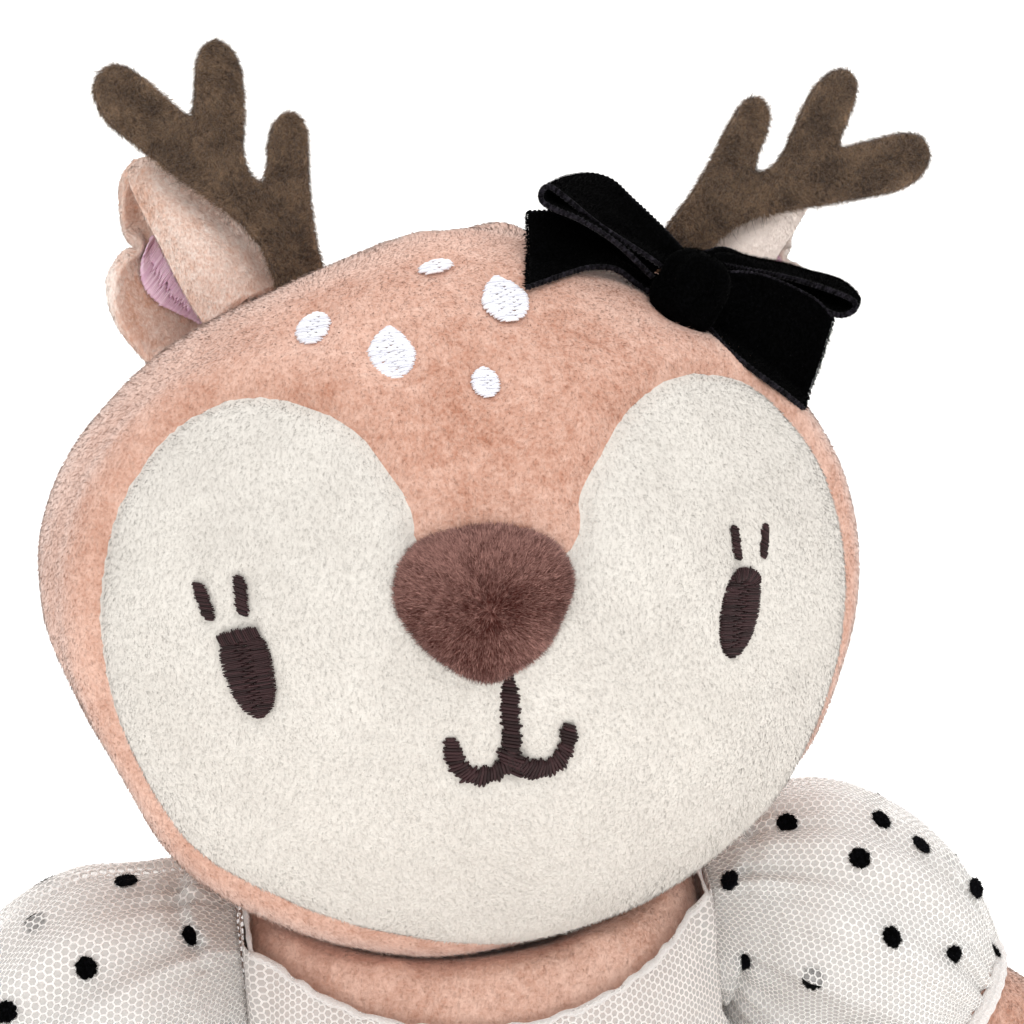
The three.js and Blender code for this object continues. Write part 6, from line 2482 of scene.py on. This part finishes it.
@dataclass
class Arm:
    """One stuffed arm in its puff sleeve."""

    torso: Torso
    shop: Workshop
    side: Side
    reach: float = 30
    length: float = 84
    drop: float = 44
    radius: float = 15
    radius_shares: tuple[float, ...] = (1.0, 1.02, 1.03, 1.0, 0.95, 0.93, 0.98, 1.0, 0.86)
    sleeve_share: float = 0.6
    sleeve_root: float = 22.4
    sleeve_hem: float = 17.6
    sleeve_puff: float = 33.5
    puff_shares: tuple[float, ...] = (0.0, 0.26, 0.82, 1.0, 0.97, 0.7, 0.0)
    cuff_width: float = 4
    lining_gap: float = 2.6
    folds: tuple[tuple[int, float], ...] = ((4, 1.0), (7, 1.1), (11, 0.9), (13, 0.5))
    gathers: tuple[tuple[int, float], ...] = ((19, 0.9), (27, 0.8), (36, 0.5))
    crease_depth: float = 2.2
    crease_width: float = 1.6
    head_room: float = 1.6
    swings: tuple[float, ...] = (-30.0, 0.0, 40.0, 80.0)

    @property
    def body(self) -> str:
        """The body that the arm is."""
        return f"arm_{self.side.word}"

    def curve(self, shares: Array) -> Array:
        """Finds points along the arm's middle line.

        Args:
            shares: Shares of its length.

        Returns:
            Points in the deer's frame.
        """
        s, drop = self.side.value, math.radians(self.drop)
        root = np.array([s * (self.torso.armhole_x + 0.3), self.torso.arm_y, self.torso.arm_z])
        bend = root + np.array([s * self.reach, 0, 0])
        hand = bend + np.array([s * math.cos(drop), 0, -math.sin(drop)]) * self.length
        t = np.linspace(0, 1, 400)[:, None]
        line = root * (1 - t) ** 2 + bend * 2 * t * (1 - t) + hand * t ** 2
        ways = travelled(line)
        return np.stack([np.interp(shares * ways[-1], ways, line[:, k]) for k in range(3)], axis=1)

    @property
    def full_length(self) -> float:
        """Length of the arm's middle line."""
        return float(np.sum(np.linalg.norm(np.diff(self.curve(np.linspace(0, 1, 200)), axis=0), axis=1)))

    def build(self) -> None:
        """Makes the arm and its sleeve."""
        length = self.full_length
        hand = 1 - 0.14 * (1 - np.linspace(0, 1, 16)) ** 1.8
        shares = np.concatenate([np.linspace(0, 0.86, 36, endpoint=False), hand])
        end = round_end((1 - shares) * length, self.radius)
        radii = table_at(self.radius_shares, shares) * (self.radius - 0.8) * end
        arm = limb_mesh(f"{self.body}_plush", self.curve(shares), np.array([0.0, 1.0, 0.0]), radii, 48)
        root = self.curve(np.array([0.0]))[0]
        plump(arm, np.array([[*root, self.radius + 6]]))
        turn_outwards(arm)
        points = points_of(arm)
        inmost = self.torso.armhole_x + 0.4
        s = self.side.value
        points[:, 0] = np.where(s * points[:, 0] < inmost, s * inmost, points[:, 0])
        set_points(arm, points)
        pile = np.where(s * points[:, 0] > 96, 1.0, 0.3)
        self.shop.cover(arm, PEACH, ARM_NAP, 0.5, self.body, "peach_plush", 85, pile)
        settle(arm, self.body, (f"arm_cover_{self.side.word}", f"arm_stuffing_{self.side.word}"))
        self.build_sleeve()

    def sleeve_rows(self, inset: float, rows: int, columns: int) -> Array:
        """Finds the gathered sleeve's surface.

        Args:
            inset: How far inside the outer net.
            rows: Points along the sleeve.
            columns: Points round it.

        Returns:
            Rows of points.
        """
        rng = np.random.default_rng(91 + self.side.value)
        share = np.linspace(0, 1, rows)
        angle = all_round(columns)
        plain = self.sleeve_root + (self.sleeve_hem - self.sleeve_root) * share
        puff = (self.sleeve_puff - self.sleeve_root) * table_at(self.puff_shares, share)
        middle = np.sin(share * math.pi)
        folds = np.zeros((rows, columns))
        for waves, size in self.folds:
            drift = rng.uniform(-0.5, 0.5)
            turned = waves * angle[None, :] + rng.uniform(0, 6.28) + drift * share[:, None] * 2
            folds += size * middle[:, None] ** 0.8 * np.cos(turned)
        for waves, size in self.gathers:
            low = np.exp(-(share / 0.3) ** 2) + np.exp(-((1 - share) / 0.3) ** 2)
            turned = waves * angle[None, :] + rng.uniform(0, 6.28) + 1.5 * share[:, None]
            folds += size * low[:, None] * np.cos(turned)
        folds = folds * np.clip(share / 0.07, 0.2, 1.0)[:, None]
        front = smooth_step(0.8 - np.cos(angle))[None, :]
        crease = 7.0 + 1.5 * np.cos(3 * angle + 0.7)[None, :]
        down = share[:, None] * self.sleeve_share * self.full_length
        folds -= self.crease_depth * front * np.exp(-((down - crease) / self.crease_width) ** 2)
        reach = np.maximum(plain[:, None] + puff[:, None] + folds * (1 if inset == 0 else 0.7) - inset,
                           self.radius + 0.9)
        line = self.curve(share * self.sleeve_share)
        along = unit(np.gradient(line, axis=0))
        across = np.array([0.0, 1.0, 0.0])
        other = unit(np.cross(along, across))
        return line[:, None, :] + reach[:, :, None] * (
            np.cos(angle)[None, :, None] * across + np.sin(angle)[None, :, None] * other[:, None, :])

    def under_head(self, points: Array, gap: float) -> Array:
        """Draws the sleeve in where the head comes over it, at every turn of the head and every swing of the arm.

        Args:
            points: Rows of points along the sleeve.
            gap: Room to leave, in millimetres.

        Returns:
            The moved rows.
        """
        line = self.curve(np.linspace(0, self.sleeve_share, len(points)))[:, None, :]
        away = points - line
        least = (self.radius + 0.9) / np.linalg.norm(away, axis=2)
        share = np.ones(points.shape[:2])
        torso = self.torso
        for _ in range(20):
            moved = (line + away * share[:, :, None]).reshape(-1, 3)
            bad = np.zeros(len(moved), dtype=bool)
            for swing in self.swings:
                c, s = math.cos(math.radians(swing)), math.sin(math.radians(swing))
                y, z = moved[:, 1] - torso.arm_y, moved[:, 2] - torso.arm_z
                low = torso.head_over(moved[:, 0], torso.arm_y + y * c + z * s, gap)
                bad |= torso.arm_z - y * s + z * c > low
            share = np.where(bad.reshape(share.shape), np.maximum(share * 0.97, least), share)
        return line + away * share[:, :, None]

    def build_sleeve(self) -> None:
        """Makes the sleeve of net, its lining and its cuff."""
        rows, columns = 70, 220
        for inset, finish, label, wall in ((0.0, SLEEVE_NET, "net", 0.25),
                                           (self.lining_gap, LINING, "lining", 0.4)):
            points = self.under_head(self.sleeve_rows(inset, rows, columns), self.head_room + inset * 0.5)
            closed = np.concatenate([points, points[:, :1]], axis=1)
            width = float(np.max(np.sum(np.linalg.norm(np.diff(closed, axis=1), axis=2), axis=1)))
            steps = np.linalg.norm(np.diff(points, axis=0), axis=2).mean(axis=1)
            along = np.concatenate([[0], np.cumsum(steps)])
            piece = make_piece(f"sleeve_{self.side.word}_{label}", closed.reshape(-1, 3),
                               grid_faces(rows, columns + 1))
            set_uv(piece, pairs(along, np.linspace(0, width, columns + 1)))
            add_wall(piece, wall, -1.0, 0)
            turn_outwards(piece)
            Wardrobe.dress(piece, finish)
            settle(piece, self.body, (f"sleeve_{self.side.word}",) if label == "net" else ())
        self.build_cuff()

    def build_cuff(self) -> None:
        """Makes the gathered band round the arm below the puff."""
        rows, columns = 20, 120
        start = self.sleeve_share
        span = self.cuff_width / self.full_length
        angle = all_round(columns)
        roll = all_round(rows)
        line = self.curve(start + span * (0.55 + 0.5 * np.sin(roll)))
        along = unit(self.curve(np.array([start + span]))[0] - self.curve(np.array([start]))[0])
        across = np.array([0.0, 1.0, 0.0])
        other = unit(np.cross(along, across))
        reach = self.sleeve_hem - 0.8 + 0.8 * np.cos(roll)[:, None] + 0.25 * np.cos(angle * 34)[None, :]
        ring = np.cos(angle)[None, :, None] * across + np.sin(angle)[None, :, None] * other
        points = line[:, None, :] + reach[:, :, None] * ring
        piece = make_piece(f"sleeve_cuff_{self.side.word}_band", points.reshape(-1, 3),
                           grid_faces(rows, columns, True, True))
        turn_outwards(piece)
        set_uv(piece, pairs(np.arange(rows) * 0.6, np.arange(columns) * 0.95))
        Wardrobe.dress(piece, LINING)
        settle(piece, self.body, (f"sleeve_cuff_{self.side.word}",))


@dataclass
class Leg:
    """One stuffed leg that lies forwards on the floor."""

    torso: Torso
    shop: Workshop
    side: Side
    length: float = 124
    splay: float = 4
    radius: float = 18.5
    foot_radius: float = 19.5
    cut: float = 11
    radius_shares: tuple[float, ...] = (1.0, 1.0, 0.95, 0.9, 0.88, 0.9)

    def build(self) -> None:
        """Makes the leg and its pile."""
        s, hip = self.side.value, self.torso.hip
        t = np.concatenate([1 - np.cos(np.linspace(0, 1, 14) * math.pi / 2), [1.0]])[:-1] * 0.16
        toes = 1 - 0.16 * (1 - np.sin(np.linspace(0, 1, 18) * math.pi / 2))
        shares = np.concatenate([t, np.linspace(0.16, 0.84, 34, endpoint=False)[1:], toes])
        root = np.array([s * hip[0], hip[1] + self.radius, hip[2]])
        toe = np.array([s * (hip[0] + self.splay), hip[1] - self.length, self.foot_radius - 0.5])
        length = float(np.linalg.norm(toe - root))
        line = root + (toe - root) * shares[:, None]
        growth = self.foot_radius - self.radius * self.radius_shares[-1]
        swell = table_at(self.radius_shares, shares) * self.radius + growth * shares ** 3
        first = round_end(shares * length, self.radius)
        last = round_end((1 - shares) * length, self.foot_radius)
        word = self.side.word
        leg = limb_mesh(f"leg_{word}_plush", line, np.array([1.0, 0.0, 0.0]), (swell - 0.8) * first * last, 48)
        plump(leg, np.array([[*root, self.radius + 10]]))
        turn_outwards(leg)
        points = points_of(leg)
        flat = 1.3 - (1.3 - points[:, 2]) * 0.12
        points[:, 2] = np.where(points[:, 2] < 1.3, np.maximum(flat, 0.4), points[:, 2])
        points[:, 1] = np.minimum(points[:, 1], hip[1] + self.cut)
        set_points(leg, points)
        pile = np.clip((points[:, 2] - 1.0) / 2.0, 0.1, 1.0)
        self.shop.cover(leg, PEACH, LEG_NAP, 0.5, f"leg_{word}", "peach_plush", 95, pile)
        settle(leg, f"leg_{word}", (f"leg_cover_{word}", f"leg_stuffing_{word}"))


# Dress


@dataclass
class Dress:
    """The dotted net dress: bodice, neckline binding, waistband and two-layer skirt."""

    torso: Torso
    shop: Workshop
    waist_z: float = 62
    waistband_width: float = 5
    neckline_front: float = 90
    neckline_side: float = 118.5
    neckline_back: float = 108
    stand: float = 1.4
    side_reach: float = 92
    front_reach: float = 82
    back_reach: float = 80
    hem_back: float = 3
    hem_front: float = 43
    head_room: float = 0.9
    flare_start: float = 19.5
    flare_width: float = 4.5
    binding_room: float = 2.6
    binding_inset: float = 1.6
    armhole_cut: float = 15.5
    skirt_folds: tuple[tuple[int, float, float], ...] = ((9, 1.6, 0.9), (16, 2.3, 0.8), (23, 1.1, 0.7))
    skirt_gathers: tuple[tuple[int, float], ...] = ((47, 0.7), (64, 0.6))

    def neckline(self, longitude: Array) -> Array:
        """Height of the neckline at a turn about z, where 0 faces front."""
        front, back = np.maximum(np.cos(longitude), 0), np.maximum(-np.cos(longitude), 0)
        return (self.neckline_side - (self.neckline_side - self.neckline_front) * front ** 1.3
                - (self.neckline_side - self.neckline_back) * back ** 1.3)

    def build(self) -> None:
        """Makes the whole dress."""
        self.build_bodice()
        self.build_binding()
        self.build_waistband()
        self.build_skirt("skirt_net_cloth", 0.0, self.stand + 1.6, NET, "skirt_net", 0.0)
        self.build_skirt("skirt_lining_cloth", 5.0, self.stand, LINING, "skirt_lining", 2.0)

    def build_bodice(self) -> None:
        """Makes the bodice over the chest, open at its armholes."""
        rows, columns = 40, 240
        longitude = np.linspace(0, 2 * math.pi, columns + 1)
        base = self.waist_z + self.waistband_width / 2
        share = np.linspace(0, 1, rows)[:, None]
        z = base + (self.neckline(longitude)[None, :] - base) * share
        turn = np.broadcast_to(longitude, z.shape)
        points = self.torso.at_height(z.ravel(), turn.ravel(), self.stand).reshape(rows, columns + 1, 3)
        tucks = 0.5 * np.cos(longitude * 21 + 0.6)[None, :] * (1 - share) ** 2
        creases = tucks + 0.35 * np.cos(longitude * 9 + 3 * share)
        points = points + self.outward(points) * creases[:, :, None]
        points = self.clear(points.reshape(-1, 3)).reshape(rows, columns + 1, 3)
        faces = []
        for face in grid_faces(rows, columns + 1):
            middle = points.reshape(-1, 3)[list(face)].mean(axis=0)
            inside = math.hypot(middle[1] - self.torso.arm_y, middle[2] - self.torso.arm_z) < self.armhole_cut
            if not (inside and abs(middle[0]) > 30):
                faces.append(face)
        around = travelled(points[rows // 2])
        piece = make_piece("dress_bodice_net", points.reshape(-1, 3), faces)
        set_uv(piece, np.stack([z.ravel(), np.tile(around, rows)], axis=1))
        self.finish_sheet(piece, BODICE_NET, 0.25, ("dress_bodice",))

    def outward(self, points: Array) -> Array:
        """Level directions from the body's middle to points."""
        return unit(points * np.array([1.0, 1.0, 0.0]) - np.array([0.0, self.torso.middle_y, 0.0]))

    def clear(self, points: Array) -> Array:
        """Keeps the dress out of the way of the head and the arms.

        Args:
            points: Points of the cloth.

        Returns:
            The moved points.
        """
        low = self.torso.head_over(points[:, 0], points[:, 1], self.head_room)
        points[:, 2] = np.minimum(points[:, 2], low)
        away = self.torso.from_arm_axis(points)
        widest = self.torso.armhole_x - 0.1
        inner = np.clip(points[:, 0], -widest, widest)
        points[:, 0] = np.where(away < self.torso.armhole_radius + 3, inner, points[:, 0])
        flare = (1 - smooth_step((away - self.flare_start) / self.flare_width)) * (np.abs(points[:, 0]) > 30)
        gap = np.maximum(self.torso.armhole_x - 0.3 - np.abs(points[:, 0]), 0)
        points[:, 0] += np.sign(points[:, 0]) * gap * flare
        return points

    def finish_sheet(self, piece: Piece, finish: Finish, wall: float, nodes: Sequence[str]) -> None:
        """Gives a sheet of the dress its wall, finish and declaration.

        Args:
            piece: The sheet, still without a wall.
            finish: Its finish.
            wall: Its thickness.
            nodes: The solids that it stands for.
        """
        work = bmesh.new()
        work.from_mesh(piece.data)
        bmesh.ops.delete(work, geom=[v for v in work.verts if not v.link_faces], context="VERTS")
        area = sum(face.calc_area() for face in work.faces)
        work.to_mesh(piece.data)
        work.free()
        add_wall(piece, wall, 1.0, 0)
        turn_outwards(piece)
        Wardrobe.dress(piece, finish)
        settle(piece, "torso", nodes)

    def build_binding(self) -> None:
        """Makes the thin rolled hem along the neckline."""
        columns, sides = 300, 12
        longitude = all_round(columns)
        line = self.torso.at_height(self.neckline(longitude) - 0.4, longitude, self.stand + 0.2)
        line = self.clear(line)
        line[:, 2] += 0.25 * np.sin(longitude * 37) + 0.2 * np.sin(longitude * 61 + 1)
        line[:, 2] = np.minimum(line[:, 2], self.torso.head_over(line[:, 0], line[:, 1], self.binding_room))
        widest = self.torso.armhole_x - self.binding_inset
        inner = np.clip(line[:, 0], -widest, widest)
        line[:, 0] = np.where(self.torso.from_arm_axis(line) < 34, inner, line[:, 0])
        along = unit(np.roll(line, -1, axis=0) - np.roll(line, 1, axis=0))
        outward = unit(line - np.array([0.0, self.torso.middle_y, 60.0]))
        other = unit(np.cross(along, outward))
        outward = np.cross(other, along)
        turn = all_round(sides)
        radius = 0.6 + 0.1 * np.sin(longitude * 53) + 0.08 * np.sin(longitude * 19 + 2)
        out = np.cos(turn)[None, :, None] * outward[:, None, :] * 0.62
        up = np.sin(turn)[None, :, None] * other[:, None, :] * 1.3
        points = line[:, None, :] + radius[:, None, None] * (out + up)
        piece = make_piece("neckline_binding_roll", points.reshape(-1, 3), grid_faces(columns, sides, True, True))
        turn_outwards(piece)
        set_uv(piece, pairs(np.arange(columns) * 1.0, np.arange(sides) * 0.6))
        Wardrobe.dress(piece, LINING)
        settle(piece, "torso", ("neckline_binding",))

    def build_waistband(self) -> None:
        """Makes the narrow band in the waist seam, with its gathers."""
        columns, sides = 320, 14
        longitude = all_round(columns)
        turn = all_round(sides)
        high = np.sign(np.sin(turn)) * np.abs(np.sin(turn)) ** 0.6 * self.waistband_width / 2
        out = self.stand + 0.9 + 0.8 * np.cos(turn)
        points = np.stack([self.torso.at_height(self.waist_z + h + 0.15 * np.sin(longitude * 70), longitude, 0.0)
                           for h in high], axis=1)
        points = points + self.outward(points) * (out[None, :, None] + 0.15 * np.cos(longitude * 80)[:, None, None])
        piece = make_piece("dress_waistband_cloth", points.reshape(-1, 3), grid_faces(columns, sides, True, True))
        turn_outwards(piece)
        set_uv(piece, pairs(np.arange(columns) * 1.0, np.arange(sides) * 0.8))
        Wardrobe.dress(piece, LINING)
        settle(piece, "torso", ("dress_waistband",))

    def build_skirt(self, name: str, inset: float, stand: float, finish: Finish, node: str,
                    lift: float) -> None:
        """Makes one layer of the skirt, gathered at the waist and waving at its hem.

        Args:
            name: The piece's name.
            inset: How far its hem stays inside the outer layer's.
            stand: How far it stands off the body at the waist.
            finish: Its finish.
            node: The solid that it stands for.
            lift: How much higher its hem is.
        """
        rng = np.random.default_rng(100)
        rows, columns = 56, 480
        share = np.linspace(0, 1, rows)[:, None]
        longitude = np.linspace(0, 2 * math.pi, columns + 1)[None, :]
        top = self.waist_z - self.waistband_width / 2 + 0.6
        waist = self.torso.at_height(np.full(columns + 1, top), longitude[0], stand)
        rise = smooth_step((np.cos(longitude) - 0.2) / 0.6)
        hem_z = self.hem_back + lift + (self.hem_front - self.hem_back) * rise
        reach_y = np.where(np.cos(longitude) > 0, self.front_reach, self.back_reach)
        folds = np.zeros((rows, columns + 1))
        for waves, size, start in self.skirt_folds:
            phase, drift = rng.uniform(0, 6.28), rng.uniform(-0.6, 0.6)
            folds += size * share ** start * np.cos(waves * longitude + phase + drift * share)
        for waves, size in self.skirt_gathers:
            turned = waves * longitude + rng.uniform(0, 6.28)
            folds += size * np.exp(-(share / 0.35) ** 2) * np.cos(turned) * np.minimum(share * 8, 1)
        flare = share ** 0.8
        hem_x = np.sin(longitude) * (self.side_reach - inset + folds)
        hem_y = self.torso.middle_y - np.cos(longitude) * (reach_y - inset + folds)
        x = waist[None, :, 0] + (hem_x - waist[None, :, 0]) * flare
        y = waist[None, :, 1] + (hem_y - waist[None, :, 1]) * flare
        z = top - inset * share * 0.2 + (hem_z - top) * share + 0.5 * np.cos(13 * longitude + 1) * share ** 3
        points = np.stack([x, y, np.maximum(z, 0.5)], axis=-1)
        steps = np.linalg.norm(np.diff(points, axis=0), axis=2)
        down = np.vstack([np.zeros(columns + 1), np.cumsum(steps, axis=0)])
        around = travelled(points[-1])
        piece = make_piece(name, points.reshape(-1, 3), grid_faces(rows, columns + 1))
        set_uv(piece, np.stack([down.ravel(), np.tile(around, rows)], axis=1))
        self.finish_sheet(piece, finish, 0.25 if finish is NET else 0.5, (node,))


@dataclass
class FlockDots:
    """The black flock dots on the net of sleeves and skirt."""

    shop: Workshop
    studio: Studio
    width: float = 4.6
    height: float = 0.55
    spacing: float = 17.0
    tries: int = 2600

    def scatter(self, name: str, body: str, cloth: Piece, seed: int,
                pixels: Sequence[tuple[float, float]] = ()) -> None:
        """Sets dots on a sheet of net.

        Args:
            name: The new piece's name.
            body: The body that the cloth rides on.
            cloth: The sheet.
            seed: Fixes what is random.
            pixels: Places in the photograph's frame where dots are sure to be.
        """
        tree = surface_tree(cloth)
        placed: list[Array] = []
        facing: list[Array] = []
        for pixel in pixels:
            origin, aim = self.studio.ray(*pixel)
            hit, normal, _, _ = tree.ray_cast(Vector(origin * MM), Vector(aim))
            if hit:
                placed.append(np.array(hit) / MM)
                facing.append(np.array(normal) * -np.sign(np.dot(normal, aim)))
        rng = np.random.default_rng(seed)
        polygons = [p for p in cloth.data.polygons if p.area > 1e-9]
        areas = np.cumsum([p.area for p in polygons])
        for _ in range(self.tries):
            face = polygons[int(np.searchsorted(areas, rng.uniform(0, areas[-1])))]
            place, normal = np.array(face.center) / MM, np.array(face.normal)
            if all(np.linalg.norm(place - other) > self.spacing * rng.uniform(0.9, 1.15) for other in placed):
                probe = tree.ray_cast(Vector(face.center) + Vector(normal) * 0.0001, Vector(normal), 0.0012)[0]
                if probe is None:
                    placed.append(place)
                    facing.append(normal)
        if not placed:
            return
        places, normals = np.array(placed), unit(np.array(facing))
        aims = unit(np.cross(normals, rng.normal(size=normals.shape)))
        dots = self.shop.lay_threads(name, places + normals * 0.05, aims, normals,
                                     np.full(len(places), self.width), FLOCK,
                                     self.width, self.height, 0.06, seed, self.shop.dot)
        settle(dots, body)
        settle(self.shop.add_nap(dots, FLOCK, FLOCK_NAP, seed + 1), body)
        log.info("%s: %d dots", name, len(placed))


LEFT_DOTS = ((126, 881), (191, 936), (86, 968), (293, 993), (6, 1012))
RIGHT_DOTS = ((787, 823), (881, 820), (921, 845), (892, 937), (953, 955), (710, 913), (744, 960), (682, 992))


def main() -> None:
    """Builds the toy and its studio in order."""
    studio = Studio()
    studio.build()
    shop = Workshop()
    form = HeadForm()
    stitching = Stitching(form, shop)
    nose = Nose(form, shop)
    head = Head(form, shop, stitched=stitching.areas())
    head.build()
    stitching.build()
    nose.build()
    for side in Side:
        Ear(form, shop, studio, side).build()
    Antler(form, shop, Side.LEFT, 0.0, (-0.302, 0.852)).build()
    Antler(form, shop, Side.RIGHT, 35.0, (0.675, 0.885)).build()
    VelvetBow(form, shop, studio).build()
    torso = Torso(form, shop)
    torso.build()
    dots = FlockDots(shop, studio)
    for side, pixels in ((Side.LEFT, LEFT_DOTS), (Side.RIGHT, RIGHT_DOTS)):
        Arm(torso, shop, side).build()
        Leg(torso, shop, side).build()
        dots.scatter(f"sleeve_{side.word}_dots", f"arm_{side.word}", bpy.data.objects[f"sleeve_{side.word}_net"],
                     111 + side.value, pixels)
    Dress(torso, shop).build()
    dots.scatter("skirt_dots", "torso", bpy.data.objects["skirt_net_cloth"], 121)
    shop.clear()


if __name__ == "__main__":
    logging.basicConfig(level=logging.INFO, format="%(message)s")
    main()
